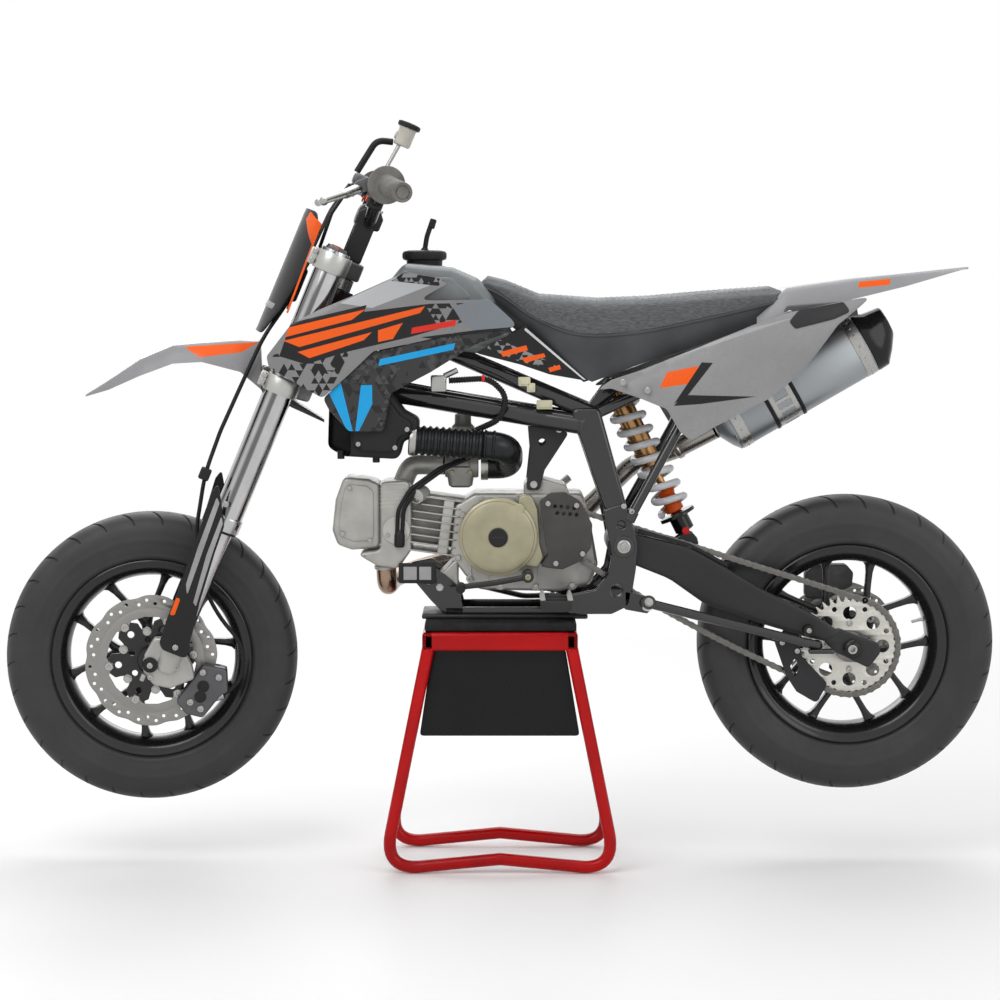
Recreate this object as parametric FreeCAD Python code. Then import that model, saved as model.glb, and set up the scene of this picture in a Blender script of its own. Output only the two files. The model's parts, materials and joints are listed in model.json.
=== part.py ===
"""A small supermoto dirt bike on a paddock stand, as separate pieces in one frame.

Millimetres. +Z is up, the bike faces -X, and its left side is -Y. The origin is on the
floor under the paddock stand, midway between the front and back of the tyres.
"""

import FreeCAD, Part
import math
import os

os.makedirs("parts", exist_ok=True)

# Driving dimensions
wheelbase = 1165.0
front_tyre_radius = 243.0
rear_tyre_radius = 248.0
front_tyre_half_width = 50.0
rear_tyre_half_width = 57.0
front_axle_height = 351.0
rear_axle_height = 374.0
rim_radius = 166.0
bead_radius = 152.4
rake = 22.6
steer_at_rest = 5.0
fork_offset = 28.0
axle_lead = 27.0
fork_spread = 90.0
pivot_height = 542.0
pivot_back_of_middle = 204.0
stand_height = 402.0

# Fits and cuts shared by all the pieces
overrun = 20.0
seat_gap = 0.3
running_gap = 0.4
sheet = 4.0

# How finely round things are drawn: sides by radius, and chords in a bend
stout_radius = 60.0
slim_radius = 15.0
thin_radius = 9.5
middle_sides = 12
slim_sides = 8
thin_sides = 6
stout_bend_steps = 2
thin_bend_steps = 1
longest_arc_share = 0.45

front_axle_x = (front_tyre_radius - rear_tyre_radius - wheelbase) / 2
rear_axle_x = front_axle_x + wheelbase


def vec(x, y, z):
    return FreeCAD.Vector(x, y, z)


ORIGIN = vec(0, 0, 0)
SIDE = vec(0, 1, 0)
UP = vec(0, 0, 1)


def write(node, *shapes):
    """Write the solids of one node to its STEP file."""
    solids = []
    for shape in shapes:
        solids.extend(shape.Solids)
    if not solids:
        raise ValueError(node + " has no solid")
    whole = solids[0] if len(solids) == 1 else Part.makeCompound(solids)
    whole.exportStep("parts/" + node + ".step")


def join(*shapes):
    """One solid from pieces that touch or overlap."""
    return shapes[0].multiFuse(list(shapes[1:])).removeSplitter()


def both_sides(shape):
    """The piece and its mirror image on the other side of the bike."""
    return [shape, shape.mirror(ORIGIN, SIDE)]


def outline(shares, start, span):
    """Side-view points from shares of a length and a height, counted from a low corner."""
    return [(start[0] + a * span[0], start[1] + b * span[1]) for a, b in shares]


def front_prism(points, x_from, x_to):
    """A front-view outline of Y and Z given a length."""
    wire = Part.makePolygon([vec(x_from, y, z) for y, z in points + points[:1]])
    return Part.Face(wire).extrude(vec(x_to - x_from, 0, 0))


def prism(points, y_from, y_to):
    """A side-view outline given a thickness across the bike."""
    wire = Part.makePolygon([vec(x, y_from, z) for x, z in points + points[:1]])
    return Part.Face(wire).extrude(vec(0, y_to - y_from, 0))


def column(points, z_from, z_to):
    """A plan-view outline given a height."""
    wire = Part.makePolygon([vec(x, y, z_from) for x, y in points + points[:1]])
    return Part.Face(wire).extrude(vec(0, 0, z_to - z_from))


def block(x_from, x_to, y_from, y_to, z_from, z_to):
    return Part.makeBox(
        x_to - x_from, y_to - y_from, z_to - z_from, vec(x_from, y_from, z_from)
    )


def sides_for(radius):
    """How many sides a bar that isn't truly round gets."""
    if radius < thin_radius:
        return thin_sides
    return slim_sides if radius < slim_radius else middle_sides


def section(centre, along, radius):
    """The corners of a regular polygon square to a direction."""
    aside = UP if abs(along.y) > abs(along.x) + abs(along.z) else SIDE
    across = along.cross(aside).normalize()
    upright = along.cross(across).normalize()
    sides = sides_for(radius)
    corners = []
    for k in range(sides):
        angle = 2 * math.pi * (k + 1 / 2) / sides
        corners.append(centre + across * (radius * math.cos(angle)) + upright * (radius * math.sin(angle)))
    return corners


def loop_face(corners):
    """A flat face with these corners."""
    return Part.Face(Part.makePolygon(corners + corners[:1]))


def rod(start, end, radius):
    """A straight bar between two points: many-sided when slim, truly round when stout."""
    if radius >= stout_radius:
        return barrel(start, end, radius)
    return loop_face(section(start, (end - start).normalize(), radius)).extrude(end - start)


def barrel(start, end, radius):
    """A truly round bar between two points, for fits."""
    return Part.makeCylinder(radius, (end - start).Length, start, end - start)


def disc(centre, radius, y_from, y_to):
    """A round bar or plate whose axis runs across the bike."""
    x, z = centre
    return rod(vec(x, y_from, z), vec(x, y_to, z), radius)


def spun(profile):
    """A ring about the Y axis from points of radius and Y."""
    wire = Part.makePolygon([vec(r, y, 0) for r, y in profile + profile[:1]])
    return Part.Face(wire).revolve(ORIGIN, SIDE, 360)


def rounded(points, bend, steps):
    """The points of a route with each corner eased into an arc of short chords."""
    route = [points[0]]
    for before, corner, after in zip(points, points[1:], points[2:]):
        into = (corner - before).normalize()
        out = (after - corner).normalize()
        half_turn = into.getAngle(out) / 2
        longest = longest_arc_share * min((corner - before).Length, (after - corner).Length)
        reach = min(bend * math.tan(half_turn), longest)
        arc_radius = reach / math.tan(half_turn)
        hub = corner + (out - into).normalize() * (arc_radius / math.cos(half_turn))
        spin = into.cross(out).normalize()
        spoke = corner - into * reach - hub
        for k in range(steps + 1):
            turned = FreeCAD.Rotation(spin, math.degrees(2 * half_turn * k / steps))
            route.append(hub + turned.multVec(spoke))
    return route + points[-1:]


def bent(points, radius, bend):
    """A bar along straight runs and arcs, mitred at each turn."""
    route = rounded(points, bend, thin_bend_steps if radius < thin_radius else stout_bend_steps)
    ring = section(route[0], (route[1] - route[0]).normalize(), radius)
    rings = [ring]
    for before, place, after in zip(route, route[1:], route[2:] + [None]):
        along = (place - before).normalize()
        facing = along if after is None else (along + (after - place).normalize()).normalize()
        ring = [c + along * ((place - c).dot(facing) / along.dot(facing)) for c in ring]
        rings.append(ring)
    faces = [loop_face(rings[0]), loop_face(rings[-1])]
    for low, high in zip(rings, rings[1:]):
        for k in range(len(low)):
            faces.append(loop_face([low[k - 1], low[k], high[k], high[k - 1]]))
    solid = Part.Solid(Part.Shell(faces))
    return solid if solid.Volume > 0 else solid.reversed()


def strip(points, thickness, z_from, z_to):
    """A wall of even thickness that follows a plan-view line, given a height."""
    outer = []
    inner = []
    for i, (x, y) in enumerate(points):
        x0, y0 = points[max(i - 1, 0)]
        x1, y1 = points[min(i + 1, len(points) - 1)]
        length = math.hypot(x1 - x0, y1 - y0)
        across = ((y1 - y0) / length * thickness / 2, (x0 - x1) / length * thickness / 2)
        outer.append((x + across[0], y + across[1]))
        inner.append((x - across[0], y - across[1]))
    return column(outer + inner[::-1], z_from, z_to)


# The steering frame: its Z runs up the steering axis, its -X points ahead of the axis,
# and its origin is the point of the axis level with the front axle.
lead_in_all = fork_offset + axle_lead
rake_angle = math.radians(rake)
steer_foot = vec(
    front_axle_x + lead_in_all * math.cos(rake_angle),
    0,
    front_axle_height - lead_in_all * math.sin(rake_angle),
)
steer_axis = vec(math.sin(rake_angle), 0, math.cos(rake_angle))


def steered(shape):
    """Place a piece drawn in the steering frame, turned as the bars rest."""
    placed = shape.copy()
    placed.rotate(ORIGIN, SIDE, rake)
    placed.translate(steer_foot)
    placed.rotate(steer_foot, steer_axis, steer_at_rest)
    return placed


def on_axis(height):
    """A point of the steering axis at a distance above its foot."""
    return steer_foot + steer_axis * height


# Wheels
hub_radius = 27.0
axle_radius = 8.0
spoke_count = 5
spoke_opening = 20.3
spoke_width = 10.0
spoke_half_depth = 12.0
spoke_apex_share = 0.425
rim_opening = 137.0
rim_wall = 5.0
front_rim_half = 40.0
rear_rim_half = 47.0
front_hub_half = 52.0
rear_hub_half = 52.0
front_spoke_turn = -10.4 - rake
rear_spoke_turn = 38.2
tyre_shoulder_share = (0.62, 0.82)
tyre_wide_share = (0.40, 1.0)
tyre_tread_share = 0.36
tyre_bead_share = 0.18


def wheel_rim(half, hub_half, turn):
    """A cast rim: a dropped barrel with two flanges, paired spokes and a bored hub."""
    lip = half - rim_wall
    rim = spun(
        [
            (rim_opening, -lip), (rim_radius, -half), (rim_radius, -lip), (bead_radius, -lip),
            (bead_radius, lip), (rim_radius, lip), (rim_radius, half), (rim_opening, lip),
        ]
    )
    apex = rim_opening * spoke_apex_share
    hub = disc((0, 0), hub_radius, -hub_half, hub_half)
    plate = disc((0, 0), apex, -spoke_half_depth, spoke_half_depth)
    pieces = [rim, hub, plate]
    for k in range(spoke_count):
        middle = math.radians(turn) + 2 * math.pi * k / spoke_count
        for lean in (-1, 1):
            far = middle + math.radians(spoke_opening) * lean
            x0, z0 = apex * 0.9 * math.sin(middle), apex * 0.9 * math.cos(middle)
            reach = rim_opening + rim_wall / 2
            x1, z1 = reach * math.sin(far), reach * math.cos(far)
            pieces.append(beam((x0, z0), (x1, z1), spoke_width, spoke_half_depth))
    bore_radius = axle_radius + running_gap
    bore = barrel(vec(0, -hub_half - overrun, 0), vec(0, hub_half + overrun, 0), bore_radius)
    return join(*pieces).cut(bore)


def beam(start, end, width, half_depth):
    """A flat bar in side view, of even width, centred across the bike."""
    length = math.hypot(end[0] - start[0], end[1] - start[1])
    across = ((end[1] - start[1]) / length * width / 2, (start[0] - end[0]) / length * width / 2)
    return prism(
        [
            (start[0] + across[0], start[1] + across[1]),
            (end[0] + across[0], end[1] + across[1]),
            (end[0] - across[0], end[1] - across[1]),
            (start[0] - across[0], start[1] - across[1]),
        ],
        -half_depth,
        half_depth,
    )


def wheel_tyre(radius, half_width, rim_half):
    """A tyre seated on the rim's bead seats, as a ring of flat bands."""
    seat = bead_radius + seat_gap
    depth = radius - rim_radius
    bead_half = rim_half - rim_wall - seat_gap
    wide = rim_radius + depth * tyre_wide_share[0]
    shoulder = rim_radius + depth * tyre_shoulder_share[0] + depth * tyre_bead_share
    half = [
        (seat, bead_half),
        (rim_radius, bead_half),
        (wide, half_width),
        (shoulder, half_width * tyre_shoulder_share[1]),
        (radius, half_width * tyre_tread_share),
    ]
    return spun(half + [(r, -y) for r, y in reversed(half)])


def at_rear(shape):
    return shape.translated(vec(rear_axle_x, 0, rear_axle_height))


def at_front(shape):
    """Place a piece of the front wheel drawn about its own centre."""
    return steered(shape.translated(vec(-lead_in_all, 0, 0)))


front_rim = wheel_rim(front_rim_half, front_hub_half, front_spoke_turn)
rear_rim = wheel_rim(rear_rim_half, rear_hub_half, rear_spoke_turn)
write("front_rim", at_front(front_rim))
write("rear_rim", at_rear(rear_rim))
write("front_tyre", at_front(wheel_tyre(front_tyre_radius, front_tyre_half_width, front_rim_half)))
write("rear_tyre", at_rear(wheel_tyre(rear_tyre_radius, rear_tyre_half_width, rear_rim_half)))

# Brake discs
front_disc_radius = 110.0
rear_disc_radius = 95.0
disc_thickness = 4.0
disc_ring_share = 0.74
disc_carrier_radius = 42.0
disc_arms = 5
disc_arm_width = 14.0
front_disc_y = -58.0
rear_disc_y = 60.0


def brake_disc(radius, y, hub_half):
    """A floating disc: a braking ring on a carrier with arms, seated on the hub's end."""
    side = 1 if y > 0 else -1
    ring_bore = radius * disc_ring_share
    half = disc_thickness / 2
    ring = disc((0, 0), radius, -half, half).cut(disc((0, 0), ring_bore, -half, half))
    carrier = [ring, disc((0, 0), disc_carrier_radius, -half, half)]
    for k in range(disc_arms):
        angle = 2 * math.pi * k / disc_arms
        tip = (ring_bore * math.sin(angle), ring_bore * math.cos(angle))
        carrier.append(beam((0, 0), tip, disc_arm_width, half))
    seat = hub_half + seat_gap
    boss_length = abs(y) - half - seat
    boss_from = -half - boss_length if side > 0 else half
    carrier.append(disc((0, 0), hub_radius, boss_from, boss_from + boss_length))
    whole = join(*carrier).translated(vec(0, y, 0))
    reach = abs(y) + overrun
    return whole.cut(barrel(vec(0, -reach, 0), vec(0, reach, 0), axle_radius + running_gap))


write("front_disc", at_front(brake_disc(front_disc_radius, front_disc_y, front_hub_half)))
write("rear_disc", at_rear(brake_disc(rear_disc_radius, rear_disc_y, rear_hub_half)))

# Rear sprocket and chain
chain_pitch = 12.7
sprocket_teeth = 40
small_teeth = 16
chain_y = -68.5
sprocket_half = 2.6
tooth_height = 5.0
chain_half_width = 7.0
chain_gap_half = 4.2
chain_tall = 6.0
chain_waist = 4.2
tooth_root = chain_tall + seat_gap
small_sprocket_x = 110.0
small_sprocket_z = 572.0
chain_sag = 14.0
chain_clear = 1.0
sprocket_holes = 8
sprocket_hole_radius = 11.0
sprocket_hole_share = 0.68
tooth_shares = [(0.12, -tooth_root), (0.40, tooth_height), (0.60, tooth_height), (0.88, -tooth_root)]
pitch_radius = chain_pitch / (2 * math.sin(math.pi / sprocket_teeth))
small_pitch_radius = chain_pitch / (2 * math.sin(math.pi / small_teeth))
tooth_angle = 2 * math.pi / sprocket_teeth


def toothed_sprocket():
    """The rear sprocket, its teeth between the chain's side plates, with round holes."""
    rim = []
    for k in range(sprocket_teeth):
        for share, height in tooth_shares:
            turn = (k + share) * tooth_angle
            radius = pitch_radius + height
            rim.append((radius * math.sin(turn), radius * math.cos(turn)))
    plate = prism(rim, chain_y - sprocket_half, chain_y + sprocket_half)
    holes = []
    for k in range(sprocket_holes):
        angle = 2 * math.pi * k / sprocket_holes
        radius = pitch_radius * sprocket_hole_share
        centre = (radius * math.sin(angle), radius * math.cos(angle))
        holes.append(disc(centre, sprocket_hole_radius, chain_y - overrun, chain_y + overrun))
    seat = -rear_hub_half - seat_gap
    boss = disc((0, 0), hub_radius, chain_y, seat)
    bore = barrel(vec(0, chain_y - overrun, 0), vec(0, seat + overrun, 0), axle_radius + running_gap)
    return join(plate.cut(Part.makeCompound(holes)), boss).cut(bore)


def chain_pins():
    """The chain's pin centres, round the loop, clockwise seen from the left."""
    big = (rear_axle_x, rear_axle_height)
    small = (small_sprocket_x, small_sprocket_z)
    dx, dz = big[0] - small[0], big[1] - small[1]
    apart = math.hypot(dx, dz)
    slope = math.atan2(dz, dx)
    lean = math.asin((pitch_radius - small_pitch_radius) / apart)
    top_turn = -slope - lean
    low_turn = math.pi - slope + lean
    first = math.ceil(top_turn / tooth_angle)
    last = math.floor(low_turn / tooth_angle)
    big_pins = []
    for k in range(first, last + 1):
        turn = k * tooth_angle
        big_pins.append((big[0] + pitch_radius * math.sin(turn), big[1] + pitch_radius * math.cos(turn)))
    small_step = 2 * math.pi / small_teeth
    small_pins = []
    steps = round((2 * math.pi - (low_turn - top_turn)) / small_step)
    for k in range(steps + 1):
        turn = low_turn + (2 * math.pi - low_turn + top_turn) * k / steps
        small_pins.append(
            (
                small[0] + small_pitch_radius * math.sin(turn),
                small[1] + small_pitch_radius * math.cos(turn),
            )
        )
    lower = run_between(big_pins[-1], small_pins[0], chain_sag)
    upper = run_between(small_pins[-1], big_pins[0], 0)
    return big_pins + lower + small_pins + upper


def run_between(start, end, sag):
    """Pin centres between two pins, a pitch apart, hanging by a sag at the middle."""
    count = round(math.hypot(end[0] - start[0], end[1] - start[1]) / chain_pitch)
    pins = []
    for k in range(1, count):
        share = k / count
        droop = sag * 4 * share * (1 - share)
        x = start[0] + (end[0] - start[0]) * share
        z = start[1] + (end[1] - start[1]) * share - droop
        pins.append((x, z))
    return pins


def loop_offset(points, distances):
    """The loop's points moved outward, each by its own distance."""
    moved = []
    for i, (x, z) in enumerate(points):
        x0, z0 = points[i - 1]
        x1, z1 = points[(i + 1) % len(points)]
        length = math.hypot(x1 - x0, z1 - z0)
        move = distances[i]
        moved.append((x - (z1 - z0) / length * move, z + (x1 - x0) / length * move))
    return moved


def drive_chain():
    """A roller chain: a waisted band, open between its side plates where the teeth turn."""
    pins = chain_pins()
    points = []
    widths = []
    for i, pin in enumerate(pins):
        following = pins[(i + 1) % len(pins)]
        points.append(pin)
        widths.append(chain_tall)
        points.append(((pin[0] + following[0]) / 2, (pin[1] + following[1]) / 2))
        widths.append(chain_waist)
    outer = loop_offset(points, widths)
    inner = loop_offset(points, [-w for w in widths])
    band = prism(outer, chain_y - chain_half_width, chain_y + chain_half_width)
    band = band.cut(prism(inner, chain_y - chain_half_width, chain_y + chain_half_width))
    channel_radius = pitch_radius + chain_tall + chain_clear
    centre = (rear_axle_x, rear_axle_height)
    return band.cut(disc(centre, channel_radius, chain_y - chain_gap_half, chain_y + chain_gap_half))


def chain_room():
    """The space that the chain and its running clearance take up."""
    pins = chain_pins()
    outer = loop_offset(pins, [chain_tall + chain_clear] * len(pins))
    inner = loop_offset(pins, [-chain_tall - chain_clear] * len(pins))
    half = chain_half_width + chain_clear
    return prism(outer, chain_y - half, chain_y + half).cut(prism(inner, chain_y - half, chain_y + half))


chain_space = chain_room()
write("rear_sprocket", at_rear(toothed_sprocket()))
write("drive_chain", drive_chain())

# Fork, drawn in the steering frame with its legs upright
fork_tube_radius = 23.5
fork_leg_radius = 17.5
fork_tube_bottom = 252.0
fork_tube_top = 746.0
fork_slide_depth = 80.0
fork_cap_height = 6.0
fork_collar_radius = 26.0
fork_collar_height = 24.0
lower_clamp_bottom = 494.0
lower_clamp_height = 28.0
top_clamp_bottom = 709.0
top_clamp_height = 32.0
clamp_ring_radius = 30.0
clamp_web_half = 24.0
stem_radius = 14.0
head_tube_radius = 27.0
head_tube_bore = 20.0
lower_clamp_gap = 16.0
top_clamp_gap = 19.0
head_tube_bottom = lower_clamp_bottom + lower_clamp_height + lower_clamp_gap
head_tube_top = top_clamp_bottom - top_clamp_gap
bearing_depth = 14.0

leg_x = -fork_offset


def fork_leg_tube():
    """The upper tube of one leg, bored from below for the sliding leg, with a collar."""
    low = vec(leg_x, -fork_spread, fork_tube_bottom)
    tall = vec(leg_x, -fork_spread, fork_tube_top)
    top = vec(leg_x, -fork_spread, fork_tube_top + fork_cap_height)
    collar = vec(leg_x, -fork_spread, fork_tube_bottom + fork_collar_height)
    bored = vec(leg_x, -fork_spread, fork_tube_bottom + fork_slide_depth)
    whole = join(
        rod(low, tall, fork_tube_radius),
        rod(low, collar, fork_collar_radius),
        rod(tall, top, fork_leg_radius),
    )
    return whole.cut(rod(low, bored, fork_leg_radius + seat_gap / 2))


lug_half = 12.0
lug_shares = [
    (0.05, 0.84), (0.42, 1.0), (0.86, 0.62), (1.0, 0.40),
    (0.66, 0.06), (0.36, 0.0), (0.10, 0.16), (0.0, 0.48),
]
lug_length = 92.0
lug_height = 88.0
lug_ahead = 70.0
lug_below = 30.0


def fork_leg():
    """One sliding leg with the cast lug that takes the axle."""
    low = vec(leg_x, -fork_spread, 0)
    high = vec(leg_x, -fork_spread, fork_tube_bottom + fork_slide_depth - seat_gap)
    lug = prism(
        outline(lug_shares, (-lug_ahead, -lug_below), (lug_length, lug_height)),
        -fork_spread - lug_half,
        -fork_spread + lug_half,
    )
    hole = disc(
        (-lead_in_all, 0), axle_radius, -fork_spread - overrun, -fork_spread + overrun
    )
    clamp_slot = rod(low, high, fork_leg_radius)
    return join(clamp_slot, lug).cut(hole)


def clamp_bridge(bottom, height):
    """A triple clamp: two split rings joined to the steering stem by a web."""
    top = bottom + height
    rings = [
        rod(vec(leg_x, y, bottom), vec(leg_x, y, top), clamp_ring_radius)
        for y in (-fork_spread, fork_spread)
    ]
    web = column(
        [
            (leg_x - clamp_web_half / 2, -fork_spread),
            (leg_x - clamp_web_half / 2, fork_spread),
            (leg_x + clamp_web_half, fork_spread),
            (clamp_web_half, clamp_web_half),
            (clamp_web_half, -clamp_web_half),
            (leg_x + clamp_web_half, -fork_spread),
        ],
        bottom,
        top,
    )
    bores = [
        rod(vec(leg_x, y, bottom - overrun), vec(leg_x, y, top + overrun), fork_tube_radius)
        for y in (-fork_spread, fork_spread)
    ]
    return join(web, *rings).cut(Part.makeCompound(bores))


# Handlebar, in the steering frame
bar_radius = 11.0
riser_height = 71.0
bar_rise = 61.0
bar_centre_height = top_clamp_bottom + top_clamp_height + riser_height
bar_rise_height = bar_centre_height + bar_rise
bar_end_y = 366.0
bar_grip_from = 240.0
bar_sweep = 24.0
bar_clamp_half = 16.0
bar_clamp_y = 42.0
grip_radius = 16.0
grip_flange_radius = 31.0
grip_flange = 7.0
bar_flat_y = 62.0
bar_rise_y = 168.0
bar_bend = 60.0
bar_ahead = 4.0


def bar_points(side):
    return [
        vec(bar_ahead, side * bar_flat_y, bar_centre_height),
        vec(-bar_ahead, side * bar_rise_y, bar_rise_height),
        vec(0, side * bar_grip_from, bar_rise_height),
        vec(bar_sweep, side * bar_end_y, bar_rise_height - bar_ahead),
    ]


handlebar_path = bar_points(-1)[::-1] + bar_points(1)
handlebar = bent(handlebar_path, bar_radius, bar_bend)

stem_bottom = lower_clamp_bottom
riser_bottom = top_clamp_bottom + top_clamp_height
riser = []
for y in (-bar_clamp_y, bar_clamp_y):
    foot = block(
        -bar_clamp_half, bar_clamp_half, y - bar_clamp_half / 2, y + bar_clamp_half / 2,
        riser_bottom - overrun / 4, bar_centre_height,
    )
    cap = disc((bar_ahead, bar_centre_height), bar_clamp_half + bar_ahead, y - bar_clamp_half / 2, y + bar_clamp_half / 2)
    riser.extend([foot, cap])
clamps = join(
    clamp_bridge(lower_clamp_bottom, lower_clamp_height),
    rod(vec(0, 0, stem_bottom), vec(0, 0, riser_bottom), stem_radius),
    barrel(
        vec(0, 0, lower_clamp_bottom), vec(0, 0, head_tube_bottom + bearing_depth), head_tube_bore - running_gap
    ),
    barrel(vec(0, 0, head_tube_top - bearing_depth), vec(0, 0, riser_bottom), head_tube_bore - running_gap),
    clamp_bridge(top_clamp_bottom, top_clamp_height),
    *riser,
)
write("triple_clamps", steered(clamps.cut(handlebar)))
write("fork_tubes", *[steered(s) for s in both_sides(fork_leg_tube())])
write("fork_legs", *[steered(s) for s in both_sides(fork_leg())])
write("handlebar", steered(handlebar))

axle_half = fork_spread + lug_half + 6.0
axle_head_radius = 13.0
spacer_radius = 13.0
spacer_from = abs(front_disc_y) + disc_thickness / 2 + 1.0
axle = disc((0, 0), axle_radius, -axle_half, axle_half)
nuts = [
    disc((0, 0), axle_head_radius, -axle_half, -fork_spread - lug_half),
    disc((0, 0), axle_head_radius, fork_spread + lug_half, axle_half),
    disc((0, 0), spacer_radius, -fork_spread + lug_half, -spacer_from),
    disc((0, 0), spacer_radius, front_hub_half + 1.0, fork_spread - lug_half),
]
write("front_axle", at_front(join(axle, *nuts)))

grip_pieces = []
for side in (-1, 1):
    inner = bar_points(side)[2]
    outer = bar_points(side)[3]
    along = (outer - inner).normalize()
    grip = rod(inner, outer, grip_radius)
    flange = rod(inner, inner + along * grip_flange, grip_flange_radius)
    whole = join(grip, flange).cut(handlebar)
    grip_pieces.append(whole)
right_grip = grip_pieces[-1]
write("grips", *[steered(grip) for grip in grip_pieces])

# Hand controls, in the steering frame
perch_y = 222.0
perch_half = 9.0
perch_radius = 17.0
lever_tip_y = 345.0
lever_tip_ahead = 82.0
lever_drop = 62.0
lever_radius = 5.0
lever_pivot_ahead = 36.0
lever_pivot_drop = 20.0
lever_knuckle_y = 262.0
master_length = 60.0
master_half = 11.0
cup_radius = 18.0
cup_height = 34.0
cup_lift = 82.0
cup_foot = bar_rise_height + cup_lift
cup_cap_height = 9.0
cup_cap_radius = 20.0
cup_y = 196.0
cup_back = 12.0
throttle_half = 13.0
throttle_radius = 24.0
throttle_y = 223.0


def lever(side):
    """A lever blade from its pivot ahead of the bar out to a ball end."""
    pivot = vec(-lever_pivot_ahead, side * perch_y, bar_rise_height - lever_pivot_drop)
    knuckle = vec(
        -lever_pivot_ahead - lever_radius * 4, side * lever_knuckle_y,
        bar_rise_height - lever_pivot_drop * 2,
    )
    tip = vec(-lever_tip_ahead, side * lever_tip_y, bar_rise_height - lever_drop)
    blade = bent([pivot, knuckle, tip], lever_radius, lever_radius * 8)
    ball = rod(tip - vec(0, lever_radius * side, 0), tip + vec(0, lever_radius * side, 0), lever_radius * 1.6)
    return join(blade, ball)


def bar_line(y):
    """The bar's centre at a distance across the bike, between its rise and its grip."""
    side = 1 if y > 0 else -1
    start, end = bar_points(side)[1:3]
    share = (abs(y) - abs(start.y)) / (abs(end.y) - abs(start.y))
    return start + (end - start) * share


def perch(side):
    """The clamp that carries a lever, round the bar, with its pivot ears."""
    centre = bar_line(side * perch_y)
    half = vec(0, perch_half, 0)
    ring = rod(centre - half, centre + half, perch_radius)
    arm = block(
        -lever_pivot_ahead - lever_radius * 2, -bar_radius / 2,
        side * perch_y - perch_half, side * perch_y + perch_half,
        bar_rise_height - lever_pivot_drop - lever_radius * 2,
        bar_rise_height + lever_radius,
    )
    return join(ring, arm).cut(handlebar)


cup_bottom = vec(cup_back, cup_y, cup_foot)
cup_top = vec(cup_back, cup_y, cup_foot + cup_height)
cup_cap = vec(cup_back, cup_y, cup_foot + cup_height + cup_cap_height)
cup = join(
    rod(cup_bottom, cup_top, cup_radius * 0.85),
    rod(cup_top, cup_cap, cup_cap_radius),
)
cup_bracket = rod(
    vec(cup_back, cup_y, cup_foot), bar_line(cup_y), lever_radius
)
master = block(
    -lever_pivot_ahead - lever_radius * 2, -bar_radius / 2,
    perch_y - perch_half - master_length, perch_y,
    bar_rise_height - master_half, bar_rise_height + master_half,
)
housing_from = bar_line(perch_y + perch_half + seat_gap)
housing_to = bar_line(bar_grip_from - seat_gap)
throttle = rod(housing_from, housing_to, throttle_radius).cut(handlebar).cut(right_grip)
right_controls = join(perch(1), lever(1), master, cup_bracket).cut(handlebar)
write("hand_controls", steered(join(perch(-1), lever(-1))), steered(right_controls), steered(throttle))
write("brake_reservoir", steered(cup.cut(cup_bracket)))

# Number plate, fork guards, caliper and hose, in the steering frame
plate_ahead = 104.0
plate_half_width = 88.0
plate_bottom = 572.0
plate_height = 222.0
plate_bow = 40.0
plate_arc_shares = [(-1.0, 0.0), (-0.72, 0.48), (-0.36, 0.86), (0, 1.0), (0.36, 0.86), (0.72, 0.48), (1.0, 0.0)]
plate_face_shares = [
    (-0.50, 0.0), (-0.80, 0.22), (-1.0, 0.62), (-0.96, 0.86), (-0.70, 1.0),
    (0.70, 1.0), (0.96, 0.86), (1.0, 0.62), (0.80, 0.22), (0.50, 0.0),
]
plate_line = [(-plate_ahead + plate_bow * (1 - b), a * plate_half_width) for a, b in plate_arc_shares]
plate_face = [(a * plate_half_width, plate_bottom + b * plate_height) for a, b in plate_face_shares]
plate = strip(plate_line, sheet, plate_bottom, plate_bottom + plate_height).common(
    front_prism(plate_face, -plate_ahead - overrun, 0)
)
plate_arm_height = 30.0
plate_arm = block(
    -plate_ahead + sheet / 2, leg_x - clamp_web_half / 2, -plate_arm_height / 2, plate_arm_height / 2,
    top_clamp_bottom, top_clamp_bottom + plate_arm_height,
)
write("number_plate", steered(join(plate, plate_arm)))

guard_shares = [
    (0.07, 1.0), (0.0, 0.94), (0.07, 0.76), (0.10, 0.55), (0.16, 0.33), (0.16, 0.18), (0.21, 0.03),
    (0.33, 0.0), (1.0, 0.0), (0.90, 0.10), (0.75, 0.33), (0.63, 0.63), (0.60, 0.78), (0.31, 0.91),
]
guard_length = 67.0
guard_height = 288.0
guard_bottom = 34.0
guard_out = fork_spread + fork_collar_radius + sheet / 4
guard_face = outline(guard_shares, (-guard_length - 2.0, guard_bottom), (guard_length, guard_height))
guard_boss = disc((leg_x, guard_bottom + lug_half), lug_half / 2, -guard_out, -fork_spread - lug_half)
guard = join(prism(guard_face, -guard_out - sheet, -guard_out), guard_boss).cut(fork_leg())
write("fork_guards", *[steered(s) for s in both_sides(guard)])

caliper_shares = [
    (0.25, 0.92), (0.78, 1.0), (1.0, 0.64), (0.87, 0.50), (0.70, 0.04), (0.31, 0.0), (0.0, 0.14),
]
caliper_length = 74.0
caliper_height = 95.0
caliper_back = 7.5
caliper_below = 58.0
caliper_half = 19.0
disc_clear = 2.0


front_caliper_face = outline(caliper_shares, (caliper_back, -caliper_below), (caliper_length, caliper_height))
front_caliper = prism(front_caliper_face, front_disc_y - caliper_half - 8.0, front_disc_y + caliper_half - 5.0)
front_slot = disc(
    (-lead_in_all, 0), front_disc_radius + disc_clear * 2,
    front_disc_y - disc_thickness / 2 - disc_clear, front_disc_y + disc_thickness / 2 + disc_clear,
)
front_caliper = front_caliper.cut(front_slot).cut(fork_leg())
write("front_caliper", steered(front_caliper))

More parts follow.
